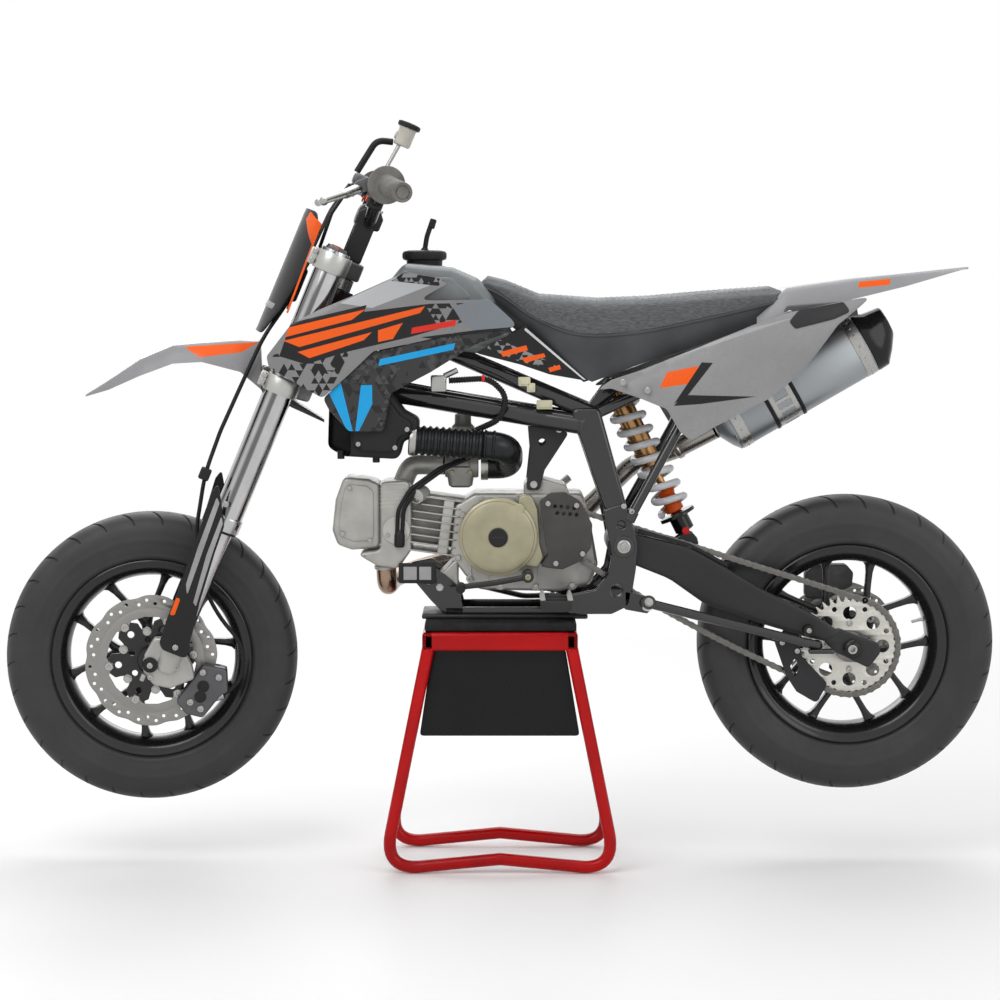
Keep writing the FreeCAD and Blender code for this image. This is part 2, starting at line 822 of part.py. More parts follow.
hose_radius = 3.5
hose_points = [
    vec(-46, 150, 858), vec(-60, 110, 806), vec(-66, 36, 704), vec(-68, -30, 646), vec(-86, -58, 570),
    vec(-90, -70, 480), vec(-93, -80, 400), vec(-90, -88, 326), vec(-70, -80, 240), vec(-34, -66, 160),
    vec(20, -70, 112), vec(76, -80, 84), vec(96, -84, 30), vec(72, -76, -14),
]
hose = bent(hose_points, hose_radius, 200.0).cut(front_caliper).cut(join(perch(1), master))
write("brake_hose", steered(hose))

# Front fender, drawn about the straight-ahead steering
fender_tip_x = -690.0
fender_length = 395.0
fender_low = 744.0
fender_tall = 138.0
fender_half = 62.0
fender_wall = 3.0
fender_pad_half = 18.0
fender_pad_depth = 10.0
fender_shares = [
    (0.0, 0.34, 0.32, 0.22), (0.10, 0.52, 0.41, 0.55), (0.23, 0.77, 0.58, 0.80), (0.37, 0.94, 0.73, 0.92),
    (0.49, 0.97, 0.75, 0.98), (0.65, 1.0, 0.63, 1.0), (0.735, 0.98, 0.42, 0.95), (0.742, 0.45, 0.38, 0.93),
    (0.86, 0.29, 0.20, 0.80), (1.0, 0.03, 0.0, 0.40),
]


def fender_shell(shares, start, span, half_width, wall, crown_share):
    """A trough-shaped mudguard lofted through arched sections."""
    sections = []
    for along, top_share, low_share, width_share in shares:
        x = start[0] + along * span[0]
        top = start[1] + top_share * span[1]
        low = start[1] + low_share * span[1]
        out = half_width * width_share
        crown = out * crown_share
        points = [
            (-out, low), (-crown, top), (crown, top), (out, low),
            (out - wall, low), (crown - wall, top - wall), (wall - crown, top - wall), (wall - out, low),
        ]
        wire = Part.makePolygon([vec(x, y, z) for y, z in points + points[:1]])
        sections.append(wire)
    return Part.makeLoft(sections, True, True)


fender_crown_share = 0.66
front_fender = fender_shell(
    fender_shares, (fender_tip_x, fender_low), (fender_length, fender_tall), fender_half, fender_wall,
    fender_crown_share,
)
front_fender.rotate(steer_foot, steer_axis, steer_at_rest)
fender_pad = block(
    -fork_offset - fender_pad_half, -fork_offset + fender_pad_half, -fender_pad_half, fender_pad_half,
    lower_clamp_bottom - fender_pad_depth, lower_clamp_bottom,
)
write("front_fender", join(front_fender, steered(fender_pad)).cut(steered(clamps)))

# Frame
spar_radius = 17.0
upper_tube_radius = 13.0
upright_inner = 70.0
upright_outer = 92.0
pivot_plate_inner = 83.0
pivot_plate_outer = 95.0
hanger_inner = 50.0
hanger_outer = 56.0
cradle_inner = 55.0
cradle_outer = 61.0
cross_radius = 12.0
pivot_radius = 26.0
pivot_bolt_radius = 8.0
skid_bottom = stand_height + 16.0
skid_thickness = 8.0
pivot = (pivot_back_of_middle, pivot_height)
upright_top = (140.0, 752.0)
shock_top = (188.0, 805.0)
shock_low = (320.0, 544.0)
frame_low = 430.0

pivot_plate_shares = [
    (0.62, 0.94), (0.86, 1.00), (0.97, 0.76), (1.00, 0.62), (0.98, 0.40), (0.92, 0.08), (0.72, 0.00),
    (0.27, 0.00), (0.00, 0.13), (0.54, 0.22), (0.68, 0.35), (0.72, 0.53), (0.67, 0.76),
]
upright_shares = [(0.00, 1.00), (0.52, 1.00), (1.00, 0.06), (0.62, 0.00)]
hanger_shares = [
    (0.02, 0.98), (0.33, 1.00), (0.93, 0.79), (1.00, 0.67), (0.45, 0.24), (0.33, 0.00), (0.00, 0.00),
    (0.10, 0.49),
]
cradle_shares = [
    (0.00, 0.90), (0.42, 0.30), (0.67, 0.00), (1.00, 0.00), (0.87, 0.60), (0.67, 0.80), (0.42, 1.00),
]
pivot_plate_span = (153.0, 184.0)
upright_span = (94.0, 172.0)
hanger_span = (69.0, 136.0)
cradle_span = (100.0, 84.0)
engine_bolt = (-100.0, 471.0)
hanger_bolt = (56.0, 642.0)
side_stand_pivot = (243.0, 451.0)


def frame_side(side):
    """The spars, upright, pivot plate, hanger and cradle of one side."""
    y = lambda value: side * value
    head_low = on_axis(head_tube_bottom + spar_radius)
    head_high = on_axis(head_tube_top - spar_radius * 2)
    spar = bent(
        [
            head_low + vec(0, y(12), 0), vec(-174, y(45), 794), vec(75, y(68), 752),
            vec(upright_top[0], y(78), upright_top[1] - 10),
        ],
        spar_radius, 150.0,
    )
    upper = bent(
        [
            head_high + vec(0, y(12), 0), vec(-83, y(45), 861), vec(upright_top[0] + 20, y(75), upright_top[1] + 5),
        ],
        upper_tube_radius, 150.0,
    )
    pieces = [spar, upper]
    flat = [
        (upright_shares, (115.0, 598.0), upright_span, upright_inner, upright_outer),
        (pivot_plate_shares, (74.0, frame_low), pivot_plate_span, pivot_plate_inner, pivot_plate_outer),
        (hanger_shares, (43.0, 633.0), hanger_span, hanger_inner, hanger_outer),
        (cradle_shares, (-158.0, 425.0), cradle_span, cradle_inner, cradle_outer),
    ]
    for shares, start, span, near, far in flat:
        pieces.append(prism(outline(shares, start, span), *sorted((y(near), y(far)))))
    rail = block(-91, 150, *sorted((y(cradle_inner), y(cradle_outer))), skid_bottom + skid_thickness, frame_low + 8)
    pieces.append(rail)
    return pieces


frame_parts = frame_side(-1) + frame_side(1)
frame_parts.append(rod(on_axis(head_tube_bottom), on_axis(head_tube_top), head_tube_radius))
frame_parts.append(disc(upright_top, cross_radius, -upright_outer, upright_outer))
frame_parts.append(disc((150.0, frame_low + cross_radius), cross_radius, -pivot_plate_outer, pivot_plate_outer))
frame_parts.append(block(-130, 146, -62, 62, skid_bottom, skid_bottom + skid_thickness))
shock_ear = [
    (upright_top[0] - 8, upright_top[1]), (upright_top[0] + 8, upright_top[1] - 8),
    (shock_top[0] + 14, shock_top[1] - 4), (shock_top[0] + 4, shock_top[1] + 14), (shock_top[0] - 10, shock_top[1] + 10),
]
shock_ear_inner = 16.0
shock_ear_outer = 22.0
frame_parts.append(prism(shock_ear, -shock_ear_outer, -shock_ear_inner))
frame_parts.append(prism(shock_ear, shock_ear_inner, shock_ear_outer))
stand_y = -118.0
stand_barrel_half = 10.0
stand_pin_radius = 6.0
stand_hinge = vec(side_stand_pivot[0], stand_y, side_stand_pivot[1])
stand_axis = vec(0.061, -0.962, 0.264)
stand_lug = [
    (205, frame_low + 8), (side_stand_pivot[0], side_stand_pivot[1] - 20), (side_stand_pivot[0] + 12, side_stand_pivot[1] - 6),
    (side_stand_pivot[0], side_stand_pivot[1] + 8), (205, frame_low + 40),
]
frame_parts.append(prism(stand_lug, -pivot_plate_outer, -pivot_plate_inner))
frame_parts.append(barrel(stand_hinge - stand_axis * 30, stand_hinge + stand_axis * (stand_barrel_half + 2), stand_pin_radius))
frame = join(*frame_parts)
frame_cuts = [
    barrel(on_axis(head_tube_bottom - overrun), on_axis(head_tube_top + overrun), head_tube_bore),
    disc(pivot, pivot_bolt_radius, -pivot_plate_outer - overrun, pivot_plate_outer + overrun),
    disc(engine_bolt, 5.0, -cradle_outer - overrun, cradle_outer + overrun),
    disc(hanger_bolt, 5.0, -hanger_outer - overrun, hanger_outer + overrun),
    disc(shock_top, 5.0, -shock_ear_outer - overrun, shock_ear_outer + overrun),
]
frame = frame.cut(Part.makeCompound(frame_cuts))
write("frame", frame)

# Subframe
subframe_radius = 9.0
strut_radius = 8.0
subframe_parts = []
for side in (-1, 1):
    rail = bent(
        [vec(158, side * 80, 760), vec(300, side * 56, 826), vec(430, side * 48, 892), vec(590, side * 42, 930)],
        subframe_radius, 150.0,
    )
    strut = bent([vec(216, side * 88, 592), vec(293, side * 72, 733), vec(345, side * 53, 848)], strut_radius, 150.0)
    subframe_parts.extend([rail, strut])
subframe_parts.append(rod(vec(430, -48, 892), vec(430, 48, 892), subframe_radius))
subframe_parts.append(rod(vec(580, -43, 927), vec(580, 43, 927), subframe_radius))
subframe = join(*subframe_parts).cut(frame)
write("subframe", subframe)

# Engine
case_left = 55.0
case_right = 70.0
crank = (-3.0, 557.0)
case_shares = [
    (0.03, 0.88), (0.17, 1.00), (0.90, 1.00), (0.96, 0.62), (1.00, 0.28), (0.95, 0.07), (0.74, 0.00),
    (0.20, 0.02), (0.10, 0.17), (0.00, 0.37),
]
case_start = (-83.0, 463.0)
case_span = (246.0, 164.0)
case_lug_half = 49.0
crankcase_parts = [
    prism(outline(case_shares, case_start, case_span), -case_left, case_right),
    prism(
        [(40, 600), (40, 640), (50, 652), (66, 652), (110, 640), (125, 600)],
        -case_lug_half, case_lug_half,
    ),
    prism([(-70, 470), (-112, 464), (-112, 480), (-70, 520)], -cradle_inner + 1, cradle_inner - 1),
]
crankcase = join(*crankcase_parts)
crankcase = crankcase.cut(disc(engine_bolt, 5.0, -case_left - overrun, case_right + overrun))
crankcase = crankcase.cut(disc(hanger_bolt, 5.0, -case_left - overrun, case_right + overrun))

engine_tilt = 8.0
fin_count = 8
fin_thickness = 2.6
fin_half = 58.0
fin_length = 84.0
fin_from = -152.0
fin_low = 526.0
fin_pitch = 13.0
barrel_half = 40.0
barrel_low = 536.0
barrel_high = 622.0


def tilted(shape):
    """Lay a piece drawn level back by the cylinder's slope, about the crankshaft."""
    placed = shape.copy()
    placed.rotate(vec(crank[0], 0, crank[1]), SIDE, engine_tilt)
    return placed


cylinder_parts = [block(fin_from - 6, crank[0] - 40, -barrel_half, barrel_half, barrel_low - 12, barrel_high - 12)]
for k in range(fin_count):
    z = fin_low - 14 + k * fin_pitch
    cylinder_parts.append(block(fin_from, fin_from + fin_length, -fin_half, fin_half, z, z + fin_thickness))
cylinder = tilted(join(*cylinder_parts))

head_shares = [
    (0.45, 0.98), (0.94, 1.00), (1.00, 0.89), (1.00, 0.21), (0.77, 0.00), (0.39, 0.03), (0.00, 0.17),
    (0.45, 0.21),
]
head = prism(outline(head_shares, (-241.0, 502.0), (94.0, 147.0)), -fin_half, fin_half)
cover_shares = [
    (0.24, 1.00), (0.77, 0.97), (1.00, 0.90), (1.00, 0.03), (0.41, 0.00), (0.11, 0.07), (0.00, 0.27),
    (0.07, 0.69),
]
head_cover = prism(outline(cover_shares, (-279.0, 532.0), (80.0, 122.0)), -fin_half + 8, fin_half - 8)
head_cover = head_cover.cut(head)
cylinder = cylinder.cut(head).cut(crankcase)
cylinder = max(cylinder.Solids, key=lambda solid: solid.Volume)

flywheel_radius = 65.0
flywheel_face = 95.0
flywheel_step = 5.0
flywheel_plug = 15.5
flywheel = join(
    disc(crank, flywheel_radius, -flywheel_face + flywheel_step, -case_left),
    disc(crank, flywheel_radius * 0.82, -flywheel_face, -case_left),
    prism(
        outline(
            [(0.00, 0.99), (0.46, 1.00), (0.71, 0.80), (0.78, 0.32), (0.92, 0.14), (0.71, 0.00), (0.07, 0.03)],
            (30.0, 506.0), (46.0, 121.0),
        ),
        -flywheel_face + flywheel_step * 2, -case_left,
    ),
    disc(crank, flywheel_plug, -flywheel_face - 3, -flywheel_face),
)
flywheel = flywheel.cut(crankcase)

sprocket_cover_shares = [
    (0.00, 0.89), (0.20, 0.99), (0.49, 1.00), (0.78, 0.88), (1.00, 0.59), (0.98, 0.29), (0.79, 0.11),
    (0.43, 0.00), (0.02, 0.03), (0.16, 0.18), (0.10, 0.33),
]
cover_start = (66.0, 504.0)
cover_span = (86.0, 127.0)
cover_wall = 3.5
cover_face = 94.0
sprocket_cover = prism(outline(sprocket_cover_shares, cover_start, cover_span), -cover_face, -case_left)
hollow = prism(
    [
        (cover_start[0] + 12, cover_start[1] + 20), (cover_start[0] + 12, cover_start[1] + cover_span[1] - 12),
        (cover_start[0] + cover_span[0] * 0.5, cover_start[1] + cover_span[1] - 5),
        (cover_start[0] + cover_span[0] + overrun, cover_start[1] + cover_span[1] * 0.74),
        (cover_start[0] + cover_span[0] + overrun, cover_start[1] + cover_span[1] * 0.10),
        (cover_start[0] + cover_span[0] * 0.5, cover_start[1] + 6),
    ],
    -cover_face + cover_wall, -case_left,
)
sprocket_cover = sprocket_cover.cut(hollow).cut(flywheel).cut(chain_space)

clutch_cover_shares = [
    (0.00, 0.55), (0.08, 0.85), (0.25, 1.00), (0.62, 0.98), (0.90, 0.80), (1.00, 0.50), (0.92, 0.15),
    (0.66, 0.00), (0.22, 0.04), (0.06, 0.25),
]
clutch_cover = join(
    prism(outline(clutch_cover_shares, (-70.0, 475.0), (190.0, 140.0)), case_right, case_right + 18),
    disc((60.0, 560.0), 52.0, case_right, case_right + 28),
)
write("engine_crankcase", crankcase)
write("engine_cylinder", cylinder)
write("engine_head", head)
write("engine_head_cover", head_cover)
write("flywheel_cover", flywheel)
write("sprocket_cover", sprocket_cover)
write("clutch_cover", clutch_cover)

# Intake
duct_radius = 26.0
duct_end = 26.0
manifold_radius = 17.0
airbox_shares = [
    (0.02, 0.82), (0.00, 0.14), (0.19, 0.04), (0.78, 0.00), (0.83, 0.25), (0.98, 0.30), (1.00, 0.55),
    (0.84, 0.66), (0.73, 0.86), (0.57, 1.00),
]
duct_y = -80.0
carb_y = -8.0
carb_z = 672.0
duct_points = [
    vec(-157, duct_y, 718), vec(14, duct_y, 706), vec(14, carb_y, carb_z), vec(-34, carb_y, carb_z),
]
airbox = prism(outline(airbox_shares, (-286.0, 686.0), (154.0, 121.0)), -112.0, -28.0)
airbox = airbox.common(column([(-286, -28), (-286, -46), (-244, -112), (-120, -112), (-120, -28)], 600, 900))
duct = bent(duct_points, duct_radius, 34.0)
airbox = airbox.cut(frame).cut(duct)
carburettor = join(
    rod(vec(-92, carb_y, carb_z), vec(-34 - seat_gap, carb_y, carb_z), 22.0),
    block(-90, -42, carb_y - 22, carb_y + 22, 634, carb_z),
    rod(vec(-62, carb_y, carb_z), vec(-62, carb_y, 738), 19.0),
    rod(vec(-62, carb_y, 738), vec(-62, carb_y, 758), 14.0),
)
manifold = bent([vec(-164, 0, 640), vec(-150, 0, carb_z), vec(-92, carb_y, carb_z)], manifold_radius, 30.0)
manifold = manifold.cut(head).cut(carburettor)
write("airbox", airbox)
write("intake_duct", duct)
write("carburettor", carburettor)
write("intake_manifold", manifold)

# Exhaust
pipe_radius = 17.0
silencer_y = 75.0
silencer_start = vec(388, silencer_y, 741)
silencer_end = vec(618, silencer_y, 874)
silencer_tall = 54.0
silencer_wide = 38.0
pipe_points = [
    vec(-192, 0, 506), vec(-190, 4, 466), vec(-178, 118, 474), vec(120, 120, 560), vec(226, 116, 664),
    vec(300, 96, 692), vec(372, silencer_y, 731),
]
silencer_along = (silencer_end - silencer_start).normalize()
silencer_up = vec(-silencer_along.z, 0, silencer_along.x)
oval_shares = [
    (1.0, 0.0), (0.94, 0.50), (0.66, 0.86), (0.0, 1.0), (-0.66, 0.86), (-0.94, 0.50),
    (-1.0, 0.0), (-0.94, -0.50), (-0.66, -0.86), (0.0, -1.0), (0.66, -0.86), (0.94, -0.50),
]


def oval(centre, wide, tall):
    """A section across the silencer."""
    points = [centre + vec(0, a * wide, 0) + silencer_up * (b * tall) for a, b in oval_shares]
    return Part.makePolygon(points + points[:1])


body = Part.Face(oval(silencer_start, silencer_wide, silencer_tall)).extrude(silencer_end - silencer_start)
cone_end = silencer_start - silencer_along * 26
cone = Part.makeLoft(
    [oval(silencer_start, silencer_wide, silencer_tall), oval(cone_end, pipe_radius, pipe_radius)], True, True
)
cap_drop = silencer_up * -14
cap = Part.makeLoft(
    [
        oval(silencer_end, silencer_wide, silencer_tall),
        oval(silencer_end + silencer_along * 22 + cap_drop * 0.3, silencer_wide * 0.92, silencer_tall * 0.9),
        oval(silencer_end + silencer_along * 52 - cap_drop, silencer_wide * 0.6, silencer_tall * 0.5),
    ],
    True, True,
)
outlet = rod(silencer_end + silencer_along * 30 - cap_drop, silencer_end + silencer_along * 80 - cap_drop, 13.0)
pipe = bent(pipe_points, pipe_radius, 60.0)
pipe = pipe.cut(cone).cut(head).cut(frame).cut(subframe)
write("exhaust_pipe", pipe)
write("silencer", body)
write("silencer_caps", cone, cap.cut(outlet))

# Fuel tank and its cap
tank_half = 73.0
tank_shares = [
    (0.00, 0.22), (0.13, 0.62), (0.20, 0.84), (0.27, 1.00), (0.55, 0.96), (0.70, 0.84), (0.78, 0.66),
    (0.90, 0.26), (0.96, 0.0), (0.50, 0.08), (0.10, 0.18),
]
tank = prism(outline(tank_shares, (-236.0, 852.0), (286.0, 156.0)), -tank_half, tank_half)
tank = tank.cut(frame)
cap_centre = (-126.0, 1000.0)
fuel_cap = join(
    rod(vec(cap_centre[0], 0, cap_centre[1]), vec(cap_centre[0], 0, 1014), 30.0),
    rod(vec(cap_centre[0], 0, 1014), vec(cap_centre[0], 0, 1030), 37.0),
)
breather = bent([vec(-126, 0, 1026), vec(-122, 0, 1052), vec(-111, 0, 1082)], 3.5, 60.0)
tank = tank.cut(rod(vec(cap_centre[0], 0, cap_centre[1]), vec(cap_centre[0], 0, 1060), 30.0))
write("fuel_tank", *tank.Solids[:1])
write("fuel_cap", join(fuel_cap, breather))

# Body panels
panel_wall = 4.0
shroud_boss_radius = 9.0
shroud_upper_shares = [
    (0.10, 0.59), (0.00, 0.33), (0.01, 0.24), (0.22, 0.00), (0.31, 0.16), (0.42, 0.37), (0.68, 0.48),
    (1.00, 0.56), (0.88, 0.78), (0.59, 0.77), (0.71, 0.90), (0.69, 0.94), (0.55, 1.00), (0.45, 0.91),
    (0.33, 0.80), (0.21, 0.70),
]
shroud_lower_shares = [
    (0.00, 0.32), (0.03, 0.21), (0.13, 0.00), (0.30, 0.00), (0.34, 0.37), (0.54, 0.57), (0.76, 0.83),
    (1.00, 1.00), (0.59, 0.90), (0.25, 0.76), (0.11, 0.51),
]
shroud_upper_line = [(-382, -134), (-300, -136), (-200, -128), (-120, -112), (-60, -100), (40, -96)]
shroud_lower_line = [(-292, -131), (-230, -127), (-170, -120), (-100, -106), (-40, -96), (40, -91)]


def panel(line, shares, start, span, thickness):
    """A body panel: a bowed wall cut to its side outline."""
    wall = strip(line, thickness, start[1] - overrun, start[1] + span[1] + overrun)
    return wall.common(prism(outline(shares, start, span), -200.0, 0))


shroud_upper = panel(shroud_upper_line, shroud_upper_shares, (-379.0, 788.0), (412.0, 205.0), panel_wall)
shroud_boss = disc((-125.0, 972.0), shroud_boss_radius, -tank_half - seat_gap, shroud_upper_line[3][1])
shroud_upper = join(shroud_upper, shroud_boss)
shroud_lower = panel(shroud_lower_line, shroud_lower_shares, (-288.0, 733.0), (325.0, 170.0), panel_wall)
shroud_lower = shroud_lower.cut(airbox)
write("shrouds_upper", *both_sides(shroud_upper))
write("shrouds_lower", *both_sides(shroud_lower))

# Seat
seat_shares = [
    (0.00, 0.91), (0.03, 1.00), (0.09, 0.96), (0.20, 0.83), (0.40, 0.79), (0.57, 0.81), (0.73, 0.85),
    (0.97, 0.90), (1.00, 0.86), (0.96, 0.66), (0.91, 0.53), (0.73, 0.35), (0.57, 0.21), (0.37, 0.00),
    (0.15, 0.52), (0.04, 0.77),
]
seat_start = (-36.0, 812.0)
seat_span = (499.0, 176.0)
seat_line = [(-60, -40), (0, -62), (100, -92), (250, -104), (400, -92), (480, -70)]
seat = prism(outline(seat_shares, seat_start, seat_span), -110.0, 110.0)
seat_plan = column(seat_line + [(x, -y) for x, y in reversed(seat_line)], seat_start[1] - overrun, 1020.0)
seat = seat.common(seat_plan)
seat = seat.cut(tank).cut(frame).cut(subframe)
write("seat", *seat.Solids[:1])

# Side panels and rear fender
side_shares = [
    (0.00, 0.35), (0.05, 0.36), (0.16, 0.29), (0.25, 0.22), (0.30, 0.06), (0.34, 0.00), (0.42, 0.09),
    (0.62, 0.29), (0.74, 0.47), (0.87, 0.80), (1.00, 1.00), (0.90, 0.97), (0.70, 0.89), (0.56, 0.80),
    (0.37, 0.65), (0.16, 0.49), (0.05, 0.42),
]
side_boss_radius = 8.0
side_line = [(150, -112), (250, -122), (350, -128), (450, -126), (540, -112), (620, -88)]
side_panel = panel(side_line, side_shares, (159.0, 718.0), (450.0, 235.0), panel_wall)
side_boss = disc((240.0, 800.0), side_boss_radius, side_line[1][1], -66.0)
side_panel = join(side_panel, side_boss).cut(subframe)
write("side_panels", *both_sides(side_panel))
infill_shares = [(0.0, 0.54), (0.43, 1.0), (1.0, 0.0), (0.68, 0.15), (0.41, 0.34)]
infill_start = (-41.0, 814.0)
infill_span = (180.0, 86.0)
infill_outer = 88.0
infill_boss = (6.0, 868.0)
infill_boss_inner = 55.0
infill = join(
    prism(outline(infill_shares, infill_start, infill_span), -infill_outer, panel_wall - infill_outer),
    disc(infill_boss, side_boss_radius, panel_wall - infill_outer, -infill_boss_inner),
)
infill = infill.cut(frame).cut(seat).cut(tank)
infill = max(infill.Solids, key=lambda solid: solid.Volume)
write("frame_infills", *both_sides(infill))
tail_shares = [
    (0.0, 0.22, 0.0, 1.0), (0.14, 0.64, 0.20, 1.0), (0.46, 0.80, 0.46, 0.86), (0.69, 0.88, 0.66, 0.68),
    (0.92, 0.97, 0.90, 0.46), (1.0, 1.0, 0.98, 0.34),
]
tail = fender_shell(tail_shares, (421.0, 905.0), (356.0, 97.0), 92.0, panel_wall, 0.8)
tail = tail.cut(seat).cut(subframe).cut(Part.makeCompound(both_sides(side_panel)))
write("rear_fender", *tail.Solids[:1])

# Swingarm
arm_far_inner = 80.0
arm_thick = 22.0
arm_shares = [
    (0.00, 1.00), (0.11, 0.95), (0.26, 0.88), (0.45, 0.68), (0.61, 0.50), (0.87, 0.26), (1.00, 0.10),
    (0.94, 0.00), (0.81, 0.06), (0.61, 0.17), (0.34, 0.34), (0.16, 0.58), (0.00, 0.70),
]
axle_plate_shares = [(0.27, 1.00), (0.96, 0.63), (1.00, 0.40), (0.80, 0.00), (0.23, 0.40), (0.00, 0.70)]
arm_line = [(170, -69), (300, -70), (470, -91), (660, -91)]
arm_behind_pivot = 22.0
arm_above_pivot = 19.0
arm_before_axle = 21.0
arm_above_axle = 11.0
arm_low = rear_axle_height + arm_above_axle
arm_face = outline(
    arm_shares,
    (pivot[0] + arm_behind_pivot, arm_low),
    (rear_axle_x - arm_before_axle - pivot[0] - arm_behind_pivot, pivot[1] + arm_above_pivot - arm_low),
)
axle_plate_ahead = 48.0
axle_plate_below = 33.0
axle_plate_length = 96.0
axle_plate_height = 66.0
swingarm_parts = []
for side in (-1, 1):
    line = [(x, y * -side) for x, y in arm_line]
    wall = strip(line, arm_thick, 330.0, 600.0)
    near_end = [(pivot[0] - 4, pivot[1] + 24), (228, 561), (228, 508), (pivot[0] - 4, pivot[1] - 24)]
    faces = join(prism(arm_face, -110.0, 110.0), prism(near_end, -110.0, 110.0))
    swingarm_parts.append(wall.common(faces))
    dropout = prism(
        outline(
            axle_plate_shares,
            (rear_axle_x - axle_plate_ahead, rear_axle_height - axle_plate_below), (axle_plate_length, axle_plate_height),
        ),
        *sorted((side * arm_far_inner, side * (arm_far_inner + arm_thick)))
    )
    swingarm_parts.append(dropout)
swingarm_parts.append(disc(pivot, pivot_radius, -82.0, 82.0))
swingarm_parts.append(prism([(250, 500), (306, 480), (306, 532), (250, 550)], -70.0, 70.0))
for y in (-shock_ear_outer, shock_ear_inner):
    swingarm_parts.append(prism([(270, 530), (306, 526), (334, 540), (324, 558), (308, 558)], y, y + 6))
spool_ahead = 73.0
spool_above = 32.0
spool = (rear_axle_x - spool_ahead, rear_axle_height + spool_above)
spool_radius = 8.0
spool_out = 18.0
for side in (-1, 1):
    face = side * (arm_far_inner + arm_thick)
    swingarm_parts.append(
        barrel(vec(spool[0], face - side * 12, spool[1]), vec(spool[0], face + side * spool_out, spool[1]), spool_radius)
    )
swingarm = join(*swingarm_parts).cut(chain_space)
swingarm = swingarm.cut(disc((rear_axle_x, rear_axle_height), axle_radius, -140.0, 140.0))
swingarm = swingarm.cut(disc(pivot, pivot_bolt_radius, -140.0, 140.0))
swingarm = swingarm.cut(disc(shock_low, 5.0, -40.0, 40.0))
write("swingarm", swingarm)
pivot_bolt = join(
    disc(pivot, pivot_bolt_radius, -pivot_plate_outer, pivot_plate_outer),
    disc(pivot, 12.0, -pivot_plate_outer - 6, -pivot_plate_outer),
    disc(pivot, 12.0, pivot_plate_outer, pivot_plate_outer + 6),
)
write("swingarm_bolt", pivot_bolt)

rear_axle_half = arm_far_inner + arm_thick + 12.0
axle_bore = 4.5
centre = (rear_axle_x, rear_axle_height)
rear_axle = join(
    disc(centre, axle_radius, -rear_axle_half, rear_axle_half),
    disc(centre, 15.0, -rear_axle_half, -arm_far_inner - arm_thick),
    disc(centre, 15.0, arm_far_inner + arm_thick, rear_axle_half),
    disc(centre, 13.0, -arm_far_inner, chain_y - sprocket_half - 1),
    disc(centre, 13.0, rear_disc_y + disc_thickness / 2 + 1, arm_far_inner),
)
rear_axle = rear_axle.cut(
    barrel(
        vec(rear_axle_x, -rear_axle_half - overrun, rear_axle_height),
        vec(rear_axle_x, rear_axle_half + overrun, rear_axle_height),
        axle_bore,
    )
)
write("rear_axle", rear_axle)

chain_guide = prism([(228, 562), (265, 553), (314, 540), (375, 505), (375, 513), (314, 546), (265, 560), (228, 571)], -79.0, -61.0)
chain_guide = chain_guide.cut(swingarm).cut(chain_space)
fin_plate_shares = [(0.00, 1.00), (0.20, 1.21), (0.45, 1.13), (0.51, 0.76), (1.00, 0.32), (0.80, 0.00), (0.42, 0.19), (0.23, 0.44)]
fin_plate_ahead = 126.0
fin_plate_below = 94.0
fin_plate_start = (rear_axle_x - fin_plate_ahead, rear_axle_height - fin_plate_below)
fin_plate = prism(outline(fin_plate_shares, fin_plate_start, (89.0, 104.0)), -84.5, -79.5)
fin_plate = fin_plate.cut(swingarm).cut(chain_space)
write("chain_guard", chain_guide, fin_plate)

# Shock absorber
shock_from = vec(shock_top[0], 0, shock_top[1])
shock_to = vec(shock_low[0], 0, shock_low[1])
shock_along = (shock_to - shock_from).normalize()
shock_length = (shock_to - shock_from).Length
coil_radius = 31.0
coil_wire = 10.0
shock_parts = [
    disc(shock_top, 12.0, -shock_ear_inner + seat_gap, shock_ear_inner - seat_gap),
    disc(shock_low, 12.0, -shock_ear_inner + seat_gap, shock_ear_inner - seat_gap),
    rod(shock_from, shock_from + shock_along * shock_length, 8.0),
    rod(shock_from + shock_along * 24, shock_from + shock_along * 150, 19.0),
    rod(shock_from + shock_along * 24, shock_from + shock_along * 32, coil_radius),
    rod(shock_from + shock_along * 240, shock_from + shock_along * 248, coil_radius),
    rod(shock_from + shock_along * 248, shock_from + shock_along * 273, 17.0),
]
shock = join(*shock_parts)
shock = shock.cut(disc(shock_top, 5.0, -40, 40)).cut(disc(shock_low, 5.0, -40, 40))
write("shock_body", shock)
coil_turns = 6
coil_steps = 9
coil_from = 32.0 + seat_gap
coil_to = 240.0 - seat_gap


def coil_spring(start, along, length, radius, wire):
    """A helical spring of square-set wire, wound about a line."""
    across = SIDE.cross(along)
    rings = []
    pitch = (length - wire) / coil_turns
    for k in range(coil_turns * coil_steps + 1):
        turn = 2 * math.pi * k / coil_steps
        outward = SIDE * math.cos(turn) + across * math.sin(turn)
        middle = start + along * (wire / 2 + pitch * k / coil_steps) + outward * (radius - wire / 2)
        rings.append([
            middle + outward * (wire / 2), middle + along * (wire / 2),
            middle - outward * (wire / 2), middle - along * (wire / 2),
        ])
    faces = [loop_face(rings[0]), loop_face(rings[-1])]
    for low, high in zip(rings, rings[1:]):
        for k in range(len(low)):
            faces.append(loop_face([low[k - 1], low[k], high[k]]))
            faces.append(loop_face([low[k - 1], high[k], high[k - 1]]))
    solid = Part.Solid(Part.Shell(faces))
    return solid if solid.Volume > 0 else solid.reversed()


spring = coil_spring(shock_from + shock_along * coil_from, shock_along, coil_to - coil_from, coil_radius, coil_wire)
write("shock_spring", spring)

